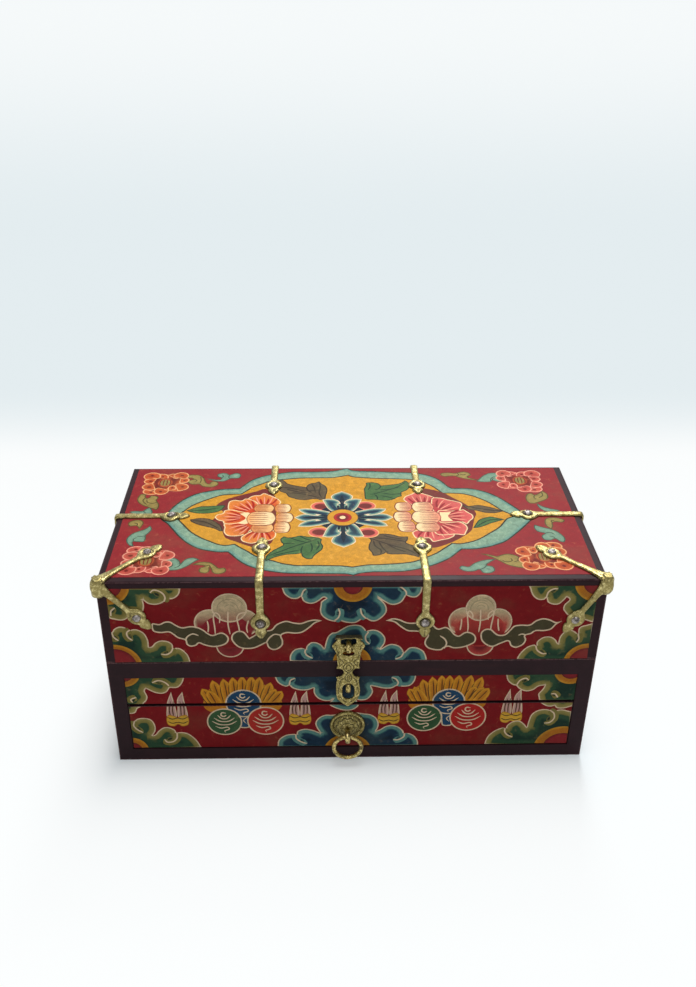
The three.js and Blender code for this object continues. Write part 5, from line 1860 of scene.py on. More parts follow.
    def draw_corner_flower(self, film: PaintFilm, centre: Point, colours: tuple[Colour, Colour],
                           flip: tuple[int, int]) -> None:
        """Paint a square flower of curled lobes.

        Args:
            film: The film that it is painted on.
            centre: Its centre.
            colours: The fill and the edge of its lobes.
            flip: -1 or 1 for each direction, so that no two flowers look the same.
        """
        fill, edge = colours
        def at(u: float, v: float) -> Point:
            """Give a place from its offset in the flower."""
            return centre[0] + u * flip[0], centre[1] + v * flip[1]
        film.fill([at(-16, 14), at(-8, 17), at(0, 15), at(8, 17), at(15, 14), at(17, 6), at(14, 0),
                   at(17, -6), at(14, -12), at(4, -12), at(-1, -16), at(-9, -17), at(-16, -13), at(-14, -4),
                   at(-17, 4)],
                  Tone(((0.0, edge), (0.6, fill), (3.0, fill), (7.5, LOBE_SHADE)), 0.6))
        for u, v, half_u, half_v, start, sweep in self.lobes:
            angles = np.radians(start + np.linspace(0, sweep, 15))
            rim = [(u + half_u * math.cos(a), v + half_v * math.sin(a)) for a in angles]
            dark = tuple(f * 0.6 + d * 0.4 for f, d in zip(fill, LOBE_SHADE))
            film.fill([at(*place) for place in rim[::2]],
                      Tone(((0.0, edge), (0.3, edge), (0.8, fill), (2.0, fill), (4.2, dark)), 0.7))
            half_way = angles[7]
            eye = at(u + half_u * 0.45 * math.cos(half_way), v + half_v * 0.45 * math.sin(half_way))
            film.stroke([at(u + half_u * 0.1, v), eye], 2.4, LOBE_SHADE, 0.5, 0.3, 0.5)
            last = angles[-1] + math.copysign(0.7, sweep)
            hook = (u + half_u * 0.5 * math.cos(last), v + half_v * 0.5 * math.sin(last))
            film.stroke([at(*place) for place in (*rim, hook)], 0.85, edge, 0.4, 0.7, 0.6)
        film.shape(oval(at(0, 1.5), (6.4, 7.4)),
                   Tone(((0.0, LOBE_SHADE), (1.4, RUST), (3.0, OLIVE_TOP)), 0.9))
        for u in (-3.6, -1.2, 1.2, 3.6):
            film.stroke([at(u, 6), at(u * 1.2, 1.5), at(u, -3)], 0.8, LOBE_SHADE, 0.5, 0.5)


# Boards and fittings

def dress(name: str, material: bpy.types.Material, bevel: float = 0.0) -> None:
    """Give a node of the frame its material, and soften its edges.

    Args:
        name: The node's name.
        material: Its material.
        bevel: The width of its softened edges in millimetres.
    """
    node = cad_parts[name]
    node.data.materials.clear()
    node.data.materials.append(material)
    if bevel > 0:
        flat = node.modifiers.new("flat", "DECIMATE")
        flat.decimate_type = "DISSOLVE"
        flat.angle_limit = math.radians(DISSOLVE_ANGLE)
        edges = node.modifiers.new("edges", "BEVEL")
        edges.width = bevel * MM
        edges.segments = 3
        edges.limit_method = "ANGLE"
        edges.angle_limit = math.radians(SOFTENED_ANGLE)
        even = node.modifiers.new("even", "WEIGHTED_NORMAL")
        even.keep_sharp = True
    LOG.info("%s: %s", name, material.name)


@dataclass
class Carcass:
    """The boards of the base, the lid and the drawer.

    Attributes:
        lacquered: The boards that show outside.
        bare: The boards that only an open box shows.
    """

    lacquered: tuple[str, ...] = ("base_bottom", "base_side_left", "base_side_right", "base_back",
                                  "base_rail_front", "base_strip_front", "lid_top", "lid_front", "lid_back",
                                  "lid_side_left", "lid_side_right", "drawer_front")
    bare: tuple[str, ...] = ("dust_board", "drawer_side_left", "drawer_side_right", "drawer_back",
                             "drawer_bottom")

    def build(self) -> None:
        """Dress every board."""
        half = (WIDTH / 2 * MM, DEPTH / 2 * MM)
        for name in self.lacquered:
            low, high = (tuple(corner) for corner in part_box(name))
            if name.startswith("lid"):
                low, high = (-half[0], -half[1], LID_BOTTOM * MM), (*half, LID_TOP * MM)
            elif name.startswith("base"):
                low, high = (-half[0], -half[1], 0.0), (*half, BASE_TOP * MM)
            dress(name, DarkLacquer(low, high).material(name), LACQUERED_EDGE)
        for name in self.bare:
            low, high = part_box(name)
            across = high.x - low.x > high.y - low.y
            grain = (0.06, 1.0, 1.0) if across else (1.0, 0.06, 1.0)
            dress(name, BareWood(grain).material(name), BARE_EDGE)


def link(name: str, mesh: bpy.types.Mesh, body: str, slot: str, *nodes: str) -> bpy.types.Object:
    """Put a finished mesh into the scene in place of nodes of the frame.

    Args:
        name: The name of the piece.
        mesh: Its mesh.
        body: The body that it rides on.
        slot: The record's slot of its finish; not used.
        nodes: The nodes that it stands for.

    Returns:
        The piece.
    """
    piece = bpy.data.objects.new(name, mesh)
    bpy.context.scene.collection.objects.link(piece)
    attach(piece, body)
    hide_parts(*nodes)
    LOG.info("%s: %d faces for %s", name, len(mesh.polygons), ", ".join(nodes))
    return piece


def shade_smooth(mesh: bpy.types.Mesh) -> None:
    """Shade every face of a mesh smooth."""
    mesh.polygons.foreach_set("use_smooth", [True] * len(mesh.polygons))


def face_outward(mesh: bpy.types.Mesh) -> None:
    """Turn every face of a closed mesh outward.

    Args:
        mesh: The mesh.
    """
    turned = bmesh.new()
    turned.from_mesh(mesh)
    bmesh.ops.recalc_face_normals(turned, faces=turned.faces)
    turned.to_mesh(mesh)
    turned.free()


def mesh_from(name: str, verts: np.ndarray, faces: Sequence[Sequence[int]], material: bpy.types.Material,
              hollow: np.ndarray | None = None) -> bpy.types.Mesh:
    """Make a smooth mesh from places in millimetres.

    Args:
        name: The mesh's name.
        verts: Its places in millimetres.
        faces: Its faces.
        material: Its material.
        hollow: How deep in a hollow each place lies, 0 to 1, or none.

    Returns:
        The mesh.
    """
    mesh = bpy.data.meshes.new(name)
    mesh.from_pydata((np.asarray(verts) * MM).tolist(), [], [tuple(int(v) for v in face) for face in faces])
    shade_smooth(mesh)
    if hollow is not None:
        mesh.attributes.new("hollow", "FLOAT", "POINT").data.foreach_set("value", hollow.astype(np.float32))
    mesh.materials.append(material)
    mesh.update()
    return mesh


def dents(places: np.ndarray, size: float, seed: float = 0.0) -> np.ndarray:
    """Give smooth noise from -1 to 1 at places.

    Args:
        places: Places in millimetres, one row each.
        size: The size of its waves in millimetres.
        seed: What makes one pattern differ from the next.

    Returns:
        The noise at each place.
    """
    values = [noise.noise(Vector((float(p[0]) / size + seed, float(p[1]) / size - seed,
                                  (float(p[2]) if len(p) > 2 else 0.0) / size + 0.37 * seed)))
              for p in places]
    return np.array(values)


@dataclass
class Groove:
    """A line cut or a ring sunk into a plate.

    Attributes:
        line: The places that it runs through.
        width: Its full width in millimetres.
        depth: Its depth.
        closed: Whether it returns to its start.
    """

    line: np.ndarray
    width: float
    depth: float
    closed: bool = False

    def cut(self, places: np.ndarray) -> np.ndarray:
        """Give the share of the full depth at places.

        Args:
            places: The places, one row each.

        Returns:
            The shares, 0 to 1.
        """
        there_and_back = self.line if self.closed else np.concatenate([self.line, self.line[-2:0:-1]])
        share = np.clip(1 - gap_to(places, there_and_back) / (self.width / 2), 0, 1)
        return share * share * (3 - 2 * share)


@dataclass
class Plate:
    """A plate of forged metal with rounded edges, dents and engraved lines.

    Attributes:
        outline: Its outline in millimetres, anticlockwise.
        thickness: Its thickness.
        holes: The outlines of its holes.
        grooves: The lines engraved in it.
        edge: How far in from its edges it still rises.
        drop: How much lower its edges are.
        grid: The distance between its free places.
        dent: The height of its dents.
        dent_size: Their size.
        seed: What makes its dents differ from others.
        extra: More places that its surface has, for bends.
    """

    outline: np.ndarray
    thickness: float
    holes: list[np.ndarray] = field(default_factory=list)
    grooves: list[Groove] = field(default_factory=list)
    edge: float = 1.2
    drop: float = 0.8
    grid: float = 0.75
    dent: float = 0.12
    dent_size: float = 3.0
    seed: float = 0.0
    extra: np.ndarray | None = None

    def _points(self) -> np.ndarray:
        """Give the free places of the surface.

        Returns:
            The places, one row each.
        """
        low, high = self.outline.min(axis=0), self.outline.max(axis=0)
        step = self.grid
        rows = np.arange(low[1] + step / 2, high[1], step * 0.87)
        points = []
        for index, y in enumerate(rows):
            xs = np.arange(low[0] + step * (0.25 + 0.5 * (index % 2)), high[0], step)
            points.append(np.stack([xs, np.full(len(xs), y)], axis=1))
        loops = [self.outline] + [hole[::-1] for hole in self.holes]
        free = np.concatenate(points)
        gap = np.min([gap_to(free, loop) for loop in loops], axis=0)
        points = [free[gap > self.edge * 0.8]]
        for loop in loops:
            inward = inward_of(loop)
            for share in (0.1, 0.3, 0.6):
                ring = loop + inward * self.edge * share
                ring_gap = np.min([gap_to(ring, other) for other in loops], axis=0)
                points.append(ring[ring_gap > self.edge * share * 0.9])
        if self.extra is not None:
            gap = np.min([gap_to(self.extra, loop) for loop in loops], axis=0)
            points.append(self.extra[gap > self.edge * 0.5])
        return np.concatenate(points)

    def mesh(self, name: str, material: bpy.types.Material,
             shape: Callable[[np.ndarray, np.ndarray, np.ndarray], np.ndarray]) -> bpy.types.Mesh:
        """Cut the plate and bend it into shape.

        Args:
            name: The mesh's name.
            material: Its material.
            shape: What turns places across, along and above the sheet into places in space.

        Returns:
            The closed mesh.
        """
        outer = self.outline if signed_area(self.outline) > 0 else self.outline[::-1]
        rings = [outer] + [hole if signed_area(hole) > 0 else hole[::-1] for hole in self.holes]
        self.outline, self.holes = rings[0], rings[1:]
        faces, count = [], 0
        for ring in rings:
            faces.append(list(range(count, count + len(ring))))
            count += len(ring)
        flat, cells, origins = triangulate(np.concatenate([*rings, self._points()]), faces)
        kept = np.array([list(cell) for cell, origin in zip(cells, origins) if list(origin) == [0]])
        flat, cells = compact(flat, kept)
        gap = np.min([gap_to(flat, ring) for ring in rings], axis=0)
        rise = np.clip(gap / self.edge, 0, 1)
        height = self.thickness - self.drop * (1 - np.sqrt(1 - (1 - rise) ** 2))
        waves = dents(flat, self.dent_size, self.seed)
        waves = waves + 0.5 * dents(flat, self.dent_size * 0.4, self.seed + 7)
        height += waves * self.dent * np.clip(gap / 0.6, 0.3, 1)
        hollow = np.clip(-waves - 0.15, 0, 1) * 0.6
        for groove in self.grooves:
            share = groove.cut(flat)
            height -= share * groove.depth
            hollow = np.maximum(hollow, share)
        height = np.maximum(height, LEAST_METAL)
        upper = shape(flat[:, 0], flat[:, 1], height)
        lower = shape(flat[:, 0], flat[:, 1], np.zeros(len(flat)))
        size = len(flat)
        tops = [tuple(cell) for cell in cells]
        edges = {(int(a), int(b)) for t in tops for a, b in zip(t, (*t[1:], t[0]))}
        walls = [(a, a + size, b + size, b) for a, b in sorted(edges) if (b, a) not in edges]
        bottoms = [tuple(v + size for v in reversed(cell)) for cell in tops]
        # Its back is darkened in full, so its edge walls darken towards the wood.
        return mesh_from(name, np.concatenate([upper, lower]), [*tops, *walls, *bottoms], material,
                         np.concatenate([hollow, np.ones(size)]))


def leg_profile(start: float, nail: float, band: float, flare: float = 0.0,
                lobes: tuple[float, float] = (BOSS_HALF_WIDTH, BOSS_HALF_WIDTH)) -> np.ndarray:
    """Give the flat outline of one strap leg from its start to its leaf tip.

    Args:
        start: Where it starts, along the leg.
        nail: Where its nail is.
        band: Half the width of its band.
        flare: How much wider it is at its start.
        lobes: The half widths of the boss on the left and on the right.

    Returns:
        The right side's places from the start to the tip and the left side's back again.
    """

    def side(hand: int, lobe: float) -> np.ndarray:
        """Give one side from its half widths and places along the leg.

        Args:
            hand: The side, 1 for the right and -1 for the left.
            lobe: The half width of its boss.

        Returns:
            The places from the start to the tip.
        """
        wide, length = lobe / BOSS_HALF_WIDTH, nail - start
        return smooth([(hand * width, along) for width, along in (
            (band + flare, start), (band + flare * 0.42, start + length * 0.14),
            (band + flare * 0.12, start + length * 0.3), (band, start + length * 0.5),
            (band * 0.96, nail - 10), (band * 1.05, nail - 8), (5.1 * wide, nail - 5.3),
            (6.7 * wide, nail - 2.4), (6.9 * wide, nail + 0.6), (6.1 * wide, nail + 3.0),
            (4.4, nail + 4.8), (3.5, nail + 5.6), (4.2, nail + 6.6), (4.3, nail + 8.0),
            (3.4, nail + 10.2), (1.9, nail + 12.4), (0.7, nail + 13.7))], False, 0.6)

    return np.concatenate([side(1, lobes[1]), side(-1, lobes[0])[::-1]])


def nail_seat(nail: float) -> Groove:
    """Give the ring that is sunk round the nail of a leg."""
    return Groove(oval((0, nail), (3.55, 3.55), step=0.5), 1.5, 0.75, True)


def leaf_vein(nail: float, way: int, lean: float) -> Groove:
    """Give the line that is cut along the leaf tip of a leg.

    Args:
        nail: Where the leg's nail is.
        way: The way that the leg points, -1 or 1.
        lean: How far aside the line ends.

    Returns:
        The line.
    """
    return Groove(smooth([(0, nail + way * 7), (lean, nail + way * 12.5)], False), 0.7, 0.3)


@dataclass
class Strap:
    """A strap bent over one edge of the lid.

    Attributes:
        name: The node that it stands for.
        edge: The place where it crosses the edge.
        turn: Its turn about the upright axis, in degrees.
        top_leg: The distance from the edge to its nail on the top.
        down_leg: The distance from the edge to its nail below.
        lobes: The half widths of its bosses, left and right, above and below.
        seed: What makes its dents differ.
        half_width: Half the width of its band.
        thickness: The thickness of its metal.
        seat: The gap between it and the wood.
        bend_radius: The radius of its bend inside.
        arc: The length of its sheet in the bend.
    """

    name: str
    edge: Point
    turn: float
    top_leg: float
    down_leg: float
    lobes: tuple[Point, Point] = ((BOSS_HALF_WIDTH, BOSS_HALF_WIDTH), (BOSS_HALF_WIDTH, BOSS_HALF_WIDTH))
    seed: float = 0.0
    half_width: float = 2.85
    thickness: float = 1.75
    seat: float = 0.2
    bend_radius: float = 0.8
    arc: float = 2.4

    def along(self, distance: float) -> float:
        """Give the place along the sheet of a distance from the edge."""
        return distance + self.seat - self.bend_radius + self.arc / 2

    def to_space(self, u: np.ndarray, v: np.ndarray, w: np.ndarray) -> np.ndarray:
        """Bend flat places over the edge.

        Args:
            u: The places across the flat sheet.
            v: The places along it.
            w: Their heights over its back.

        Returns:
            The places in space, one row each.
        """
        angle = np.clip((v + self.arc / 2) / self.arc, 0, 1) * math.pi / 2
        reach = self.bend_radius + w
        centre_y, centre_z = self.bend_radius - self.seat, self.seat - self.bend_radius
        y = centre_y - np.cos(angle) * reach + np.maximum(v - self.arc / 2, 0)
        z = centre_z + np.sin(angle) * reach - np.maximum(-v - self.arc / 2, 0)
        c, s = math.cos(math.radians(self.turn)), math.sin(math.radians(self.turn))
        edge_x, edge_y, edge_z = self.edge
        return np.stack([edge_x + u * c - y * s, edge_y + u * s + y * c, edge_z + z], axis=1)

    def build(self, material: bpy.types.Material) -> bpy.types.Object:
        """Forge the strap.

        Args:
            material: The finish of its metal.

        Returns:
            The piece.
        """
        top_nail, low_nail = self.along(self.top_leg), self.along(self.down_leg)
        above = leg_profile(0.0, top_nail, self.half_width, 0.15, self.lobes[0])
        below = leg_profile(0.0, low_nail, self.half_width, 0.15, self.lobes[1]) * np.array([1, -1])
        outline = np.concatenate([above, below[::-1]])
        rows = np.arange(-self.arc / 2 - 0.3, self.arc / 2 + 0.31, 0.3)
        extra = np.stack(np.meshgrid(np.arange(-2.2, 2.3, 0.55), rows), axis=-1).reshape(-1, 2)
        grooves = [nail_seat(top_nail), nail_seat(-low_nail), leaf_vein(top_nail, 1, 0.2),
                   leaf_vein(-low_nail, -1, 0.2)]
        plate = Plate(outline, self.thickness, grooves=grooves, edge=1.7, drop=1.25, grid=0.7, dent=0.16,
                      dent_size=3.2, seed=self.seed, extra=extra)
        mesh = plate.mesh(self.name, material, self.to_space)
        return link(f"forged_{self.name}", mesh, "lid", "strap_steel", self.name)


@dataclass
class Bracket:
    """A corner bracket with three legs that flow out of a lumpy cap.

    Attributes:
        hand: "left" or "right".
        side: -1 for left, 1 for right.
        leans: The lean of its legs on the top, the front and the side, in degrees.
        half_width: The distance from the middle of the box to its side.
        top_leg: The distance from the corner to the nail on the top.
        down_leg: The distance from the corner to the nails below.
        seat: The gap between it and the wood.
        thickness: The thickness of its metal.
        proud: How far it may stand out over the lid's faces, and over its top.
        voxel: The size of the grid that fuses its parts.
    """

    hand: str
    side: int
    leans: Point
    half_width: float = WIDTH / 2
    top_leg: float = 47.0
    down_leg: float = 39.0
    seat: float = 0.2
    thickness: float = 1.9
    proud: tuple[float, float] = (3.4, 3.3)
    voxel: float = 0.42

    def _leg(self, nail: float, place: Callable[[np.ndarray, np.ndarray, np.ndarray], np.ndarray],
             lobes: tuple[float, float], seed: float) -> bpy.types.Mesh:
        """Cut one leg and lay it on its face.

        Args:
            nail: The distance from the corner to its nail.
            place: What moves flat places to the face.
            lobes: The half widths of its boss, left and right.
            seed: What makes its dents differ.

        Returns:
            The mesh.
        """
        outline = leg_profile(0.5, nail, 2.45, 4.2, lobes)
        plate = Plate(outline, self.thickness, grooves=[nail_seat(nail), leaf_vein(nail, 1, 0.3)], edge=1.7,
                      drop=1.3, grid=0.7, dent=0.2, dent_size=3.0, seed=seed)
        return plate.mesh(f"leg_{seed}", bpy.data.materials["strap_steel"], place)

    def build(self, material: bpy.types.Material) -> bpy.types.Object:
        """Forge the bracket.

        Args:
            material: The finish of its metal.

        Returns:
            The piece.
        """
        corner = np.array([self.side * self.half_width, FRONT, LID_TOP])
        top, front, flank = (math.radians(v) for v in self.leans)
        side, seat = self.side, self.seat

        def on_top(u: np.ndarray, v: np.ndarray, w: np.ndarray) -> np.ndarray:
            """Lay places on the lid's top.

            Args:
                u: The places across the flat sheet.
                v: The places along it.
                w: Their heights over its back.

            Returns:
                The places in space, one row each.
            """
            x = -side * (v * math.sin(top)) + u * math.cos(top)
            y = v * math.cos(top) + side * u * math.sin(top)
            return corner + np.stack([x, y, w + seat], axis=1)

        def on_front(u: np.ndarray, v: np.ndarray, w: np.ndarray) -> np.ndarray:
            """Lay places on the lid's front.

            Args:
                u: The places across the flat sheet.
                v: The places along it.
                w: Their heights over its back.

            Returns:
                The places in space, one row each.
            """
            x = -side * v * math.sin(front) + u * math.cos(front)
            z = -v * math.cos(front) - side * u * math.sin(front)
            return corner + np.stack([x, -w - seat, z], axis=1)

        def on_side(u: np.ndarray, v: np.ndarray, w: np.ndarray) -> np.ndarray:
            """Lay places on the lid's side.

            Args:
                u: The places across the flat sheet.
                v: The places along it.
                w: Their heights over its back.

            Returns:
                The places in space, one row each.
            """
            y = v * math.sin(flank) + u * math.cos(flank)
            z = -v * math.cos(flank) + u * math.sin(flank)
            return corner + np.stack([side * (w + seat), y, z], axis=1)

        seed = 31.0 if side < 0 else 47.0
        legs = [self._leg(self.top_leg, on_top, (6.9, 6.0), seed),
                self._leg(self.down_leg, on_front, (6.2, 6.9), seed + 1),
                self._leg(self.down_leg, on_side, (6.9, 6.6), seed + 2)]
        joined = bmesh.new()
        for leg in legs:
            joined.from_mesh(leg)
            bpy.data.meshes.remove(leg)
        self._add_cap(joined, corner)
        beside, above = self.proud
        for vert in joined.verts:
            x, y, z = (value / MM for value in vert.co)
            x = min(max(x, -self.half_width - beside), self.half_width + beside)
            vert.co = Vector((x * MM, max(y, FRONT - beside) * MM, min(z, LID_TOP + above) * MM))
        mesh = bpy.data.meshes.new(f"bracket_{self.hand}")
        joined.normal_update()
        bmesh.ops.recalc_face_normals(joined, faces=joined.faces)
        joined.to_mesh(mesh)
        joined.free()
        mesh.materials.clear()
        mesh.materials.append(material)
        piece = link(f"forged_bracket_{self.hand}", mesh, "lid", "strap_steel",
                     f"corner_bracket_{self.hand}")
        fuse = piece.modifiers.new("fuse", "REMESH")
        fuse.mode, fuse.voxel_size, fuse.use_smooth_shade = "VOXEL", self.voxel * MM, True
        soften = piece.modifiers.new("soften", "SMOOTH")
        soften.factor, soften.iterations = 0.5, 3
        return piece

    def _add_cap(self, joined: bmesh.types.BMesh, corner: np.ndarray) -> None:
        """Add the lumpy cap over the corner.

        Args:
            joined: The mesh that it joins.
            corner: The lid's corner.
        """
        made = bmesh.ops.create_icosphere(joined, subdivisions=4, radius=1.0)
        centre = corner + np.array([-self.side * 1.2, 1.2, -4.2])
        for vert in made["verts"]:
            way = np.array(vert.co)
            place = centre + np.sign(way) * np.abs(way) ** 0.8 * np.array([5.0, 5.0, 8.6])
            wide = dents(place[None, :], 4.0, 3.0 + self.side)[0] * 0.9
            fine = dents(place[None, :], 1.6, 9.0)[0] * 0.3
            vert.co = Vector((place + way * (wide + fine)) * MM)


@dataclass
class NailHead:
    """A round forged nail on its strap.

    Attributes:
        name: The node that it stands for.
        axis: The way that it points out.
        radius: The radius of its head.
        height: The height of its head.
        shank: The radius of its shank.
        sides: The number of places round it.
    """

    name: str
    axis: Point
    radius: float = 3.05
    height: float = 1.7
    shank: float = 1.0
    sides: int = 28

    def build(self, material: bpy.types.Material, seed: float) -> bpy.types.Object:
        """Forge the nail where the frame has it.

        Args:
            material: The finish of its metal.
            seed: What makes its lumps differ.

        Returns:
            The piece.
        """
        low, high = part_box(self.name)
        low, high, axis = np.array(low) / MM, np.array(high) / MM, np.array(self.axis)
        tip = (low + high) / 2 * (1 - np.abs(axis)) + np.where(axis > 0, high, low) * np.abs(axis)
        depth = float(np.abs((high - low) @ np.abs(axis)))
        across = np.roll(np.abs(axis), 1)
        other = np.cross(axis, across)
        r, h = self.radius, self.height
        head = [(r * 0.3, -h * 0.03), (r * 0.55, -h * 0.12), (r * 0.76, -h * 0.27), (r * 0.9, -h * 0.5),
                (r * 0.98, -h * 0.78), (r, -h), (r * 0.9, -h - 0.25)]
        profile = [*head, (self.shank, -h - 0.3), (self.shank, -depth + 1), (0.3, -depth)]
        verts, faces = [tip], []
        for ring, (radius, drop) in enumerate(profile):
            for step in range(self.sides):
                angle = step / self.sides * 2 * math.pi
                wobble = 1 + 0.035 * math.sin(2 * angle + seed) + 0.02 * math.sin(3 * angle + seed * 2.3)
                spread = radius * (wobble if ring < len(head) else 1)
                outward = across * math.cos(angle) + other * math.sin(angle)
                verts.append(tip + axis * drop + outward * spread)
        for step in range(self.sides):
            after = (step + 1) % self.sides
            faces.append((0, 1 + step, 1 + after))
            for ring in range(len(profile) - 1):
                a = 1 + ring * self.sides
                b = a + self.sides
                faces.append((a + step, b + step, b + after, a + after))
        last = 1 + (len(profile) - 1) * self.sides
        faces.append(tuple(last + step for step in reversed(range(self.sides))))
        verts = np.array(verts)
        lumps = dents(verts, 1.7, seed) * 0.12
        verts += axis * (lumps * (np.abs((verts - tip) @ axis) < h * 0.9))[:, None]
        mesh = mesh_from(self.name, verts, faces, material, np.clip(-lumps * 5, 0, 1))
        face_outward(mesh)
        return link(f"forged_{self.name}", mesh, "lid", "nail_iron", self.name)


@dataclass
class Hasp:
    """The engraved brass hasp, which hangs on a flat wire eye.

    Attributes:
        pivot: The place that it swings about.
        lift: How far its foot is swung out at rest, in degrees.
        thickness: The thickness of its metal.
        curl: Where its lip starts and ends to curl, and how far it turns, in degrees.
        bar: The radius and the length of the bar that the wire eye runs round.
    """

    pivot: Point = HASP_PIVOT
    lift: float = 4.6
    thickness: float = 1.7
    curl: tuple[float, float, float] = (6.0, 16.6, 112.0)
    bar: Point = (1.5, 8.6)

    def to_space(self, u: np.ndarray, v: np.ndarray, w: np.ndarray) -> np.ndarray:
        """Curl the lip forward, swing the plate out and move it to its pivot.

        Args:
            u: The places across the flat sheet.
            v: The places along it.
            w: Their heights over its back.

        Returns:
            The places in space, one row each.
        """
        stations = np.linspace(-60, 20, 801)
        low, high, turn = self.curl
        lean = np.radians(np.interp(stations, [low, high], [0, turn]))
        step = stations[1] - stations[0]
        forward = np.cumsum(np.sin(lean)) * step
        up = np.cumsum(np.cos(lean)) * step
        start = float(np.interp(0, stations, up))
        angle = np.interp(v, stations, lean)
        reach = w - self.thickness / 2
        ahead = np.interp(v, stations, forward) + np.cos(angle) * reach
        above = np.interp(v, stations, up) - start - np.sin(angle) * reach
        c, s = math.cos(math.radians(self.lift)), math.sin(math.radians(self.lift))
        y = -ahead * c + above * s
        z = above * c + ahead * s
        return np.stack([self.pivot[0] + u, self.pivot[1] + y, self.pivot[2] + z], axis=1)

    def outline(self) -> np.ndarray:
        """Give the flat outline, its pivot at the origin.

        Returns:
            The places, one row each.
        """
        right = [(9.7, 16.6, 1), (9.0, 13.5), (8.2, 10.5), (7.9, 7.6), (8.6, 5.0), (10.9, 2.6), (11.6, 0.2),
                 (10.0, -2.4), (8.8, -5.5), (8.4, -9.5), (8.0, -13.5), (7.6, -16.6), (8.4, -18.4, 1),
                 (5.2, -18.8), (3.4, -20.4), (2.9, -22.2), (3.6, -24.0), (5.4, -25.6), (8.3, -26.2, 1),
                 (7.6, -28.5), (8.0, -33), (8.6, -38), (8.0, -42), (6.9, -45.6, 1), (4.6, -48.0),
                 (2.2, -50.2), (-0.4, -52.2, 1)]
        left = [(-2.8, -50.4), (-5.2, -48.4), (-8.0, -45.4, 1), (-8.7, -41), (-8.9, -36), (-8.6, -31),
                (-8.2, -28), (-9.0, -26.0, 1), (-6.0, -25.4), (-4.0, -23.6), (-3.4, -22), (-4.0, -20.2),
                (-5.6, -19.0), (-8.8, -18.6, 1), (-7.8, -16.0), (-8.2, -12.0), (-8.6, -8.5), (-9.0, -5.0),
                (-10.4, -2.2), (-11.8, 0.4), (-10.6, 2.8), (-8.6, 5.2), (-7.9, 7.6), (-8.4, 10.5),
                (-9.2, 13.5), (-9.8, 16.2, 1), (-7.5, 15.6), (-5.0, 16.3), (-2.0, 15.5), (1.5, 15.9),
                (4.0, 15.3), (7.0, 16.1)]
        return smooth([*right, *left], True, 0.55)

    def engraving(self) -> list[Groove]:
        """Give the lines cut into its face.

        Returns:
            The lines.
        """
        lines = []

        def cut(points: Sequence[Point], width: float = 0.8, depth: float = 0.4,
                closed: bool = False) -> None:
            """Add one line."""
            lines.append(Groove(smooth(points, closed, 0.6), width, depth, closed))

        cut([(0, -13.2), (3.0, -15.6), (3.6, -18.2), (2.0, -20.6), (0, -22.2), (-2.0, -20.6), (-3.6, -18.2),
             (-3.0, -15.6)], closed=True)
        cut([(0, -15.4), (1.6, -17.0), (1.4, -19.0), (0, -20.2), (-1.4, -19.0),
             (-1.6, -17.0)], 0.7, 0.35, True)
        cut([(0, -22.4), (1.8, -24.6), (2.4, -27.0), (1.4, -29.2), (0, -30.2), (-1.4, -29.2), (-2.4, -27.0),
             (-1.8, -24.6)], closed=True)
        cut([(0, -24.6), (0.9, -26.2), (0.6, -28.0), (0, -28.8), (-0.6, -28.0),
             (-0.9, -26.2)], 0.6, 0.35, True)
        for side in (-1, 1):
            cut([(side * 6.6, -10.4), (side * 4.4, -11.6), (side * 4.0, -13.8), (side * 5.6, -15.4)])
            cut([(side * 7.0, -4.0), (side * 7.6, -7.0), (side * 6.4, -9.4)])
            cut([(side * 9.6, 1.6), (side * 8.2, 0.2), (side * 8.6, -1.8)])
            cut([(side * 6.4, -13.0), (side * 6.2, -16.8)], 0.6, 0.3)
            cut([(side * 3.6, -27.0), (side * 5.4, -28.6), (side * 6.4, -31.4), (side * 5.8, -33.4)])
            cut([(side * 6.6, -34.4), (side * 7.2, -38.0), (side * 6.6, -41.4)], 0.7, 0.35)
            cut([(side * 5.6, -43.6), (side * 3.8, -46.4), (side * 0.8, -48.6)], 0.7, 0.35)
            cut([(side * 4.6, -25.6), (side * 6.6, -27.0)], 0.6, 0.3)
            cut([(side * 8.6, 14.6), (side * 4.5, 13.6), (side * 0.6, 14.2)], 0.8, 0.4)
            cut([(side * 7.4, 10.4), (side * 4.0, 10.2), (0, 10.4)], 3.2, 0.25)
            for x, v in ((7.4, 12.6), (3.4, 12.4), (8.4, -3.4), (5.4, -6.2), (3.0, -10.6), (6.0, -30.0),
                         (7.6, -35.6), (7.2, -43.2), (2.4, -47.4)):
                cut([(side * x, v), (side * (x - 0.7), v - 0.8)], 0.8, 0.3)
        return lines

    def build(self, material: bpy.types.Material) -> bpy.types.Object:
        """Cut, engrave and bend the hasp.

        Args:
            material: The finish of its metal.

        Returns:
            The piece.
        """
        holes = [oval((0, -5.6), (4.3, 1.95), step=0.5), self.slot((0, -HASP_SLOT_DROP), 4.3, 6.9),
                 smooth([(-5.2, 2.6), (-5.4, 5.0), (-4.2, 7.2), (4.2, 7.2), (5.4, 5.0), (5.2, 2.6),
                         (2.7, 1.8, 1), (2.7, -3.0, 1), (-2.7, -3.0, 1), (-2.7, 1.8, 1)], True, 0.5)]
        plate = Plate(self.outline(), self.thickness, holes, self.engraving(), edge=0.7, drop=0.45,
                      grid=0.42, dent=0.13, dent_size=1.5, seed=5.0)
        mesh = plate.mesh("hasp", material, self.to_space)
        joined = bmesh.new()
        joined.from_mesh(mesh)
        self._add_bar(joined)
        joined.to_mesh(mesh)
        joined.free()
        shade_smooth(mesh)
        return link("engraved_hasp", mesh, "hasp", "brass", "hasp_plate")

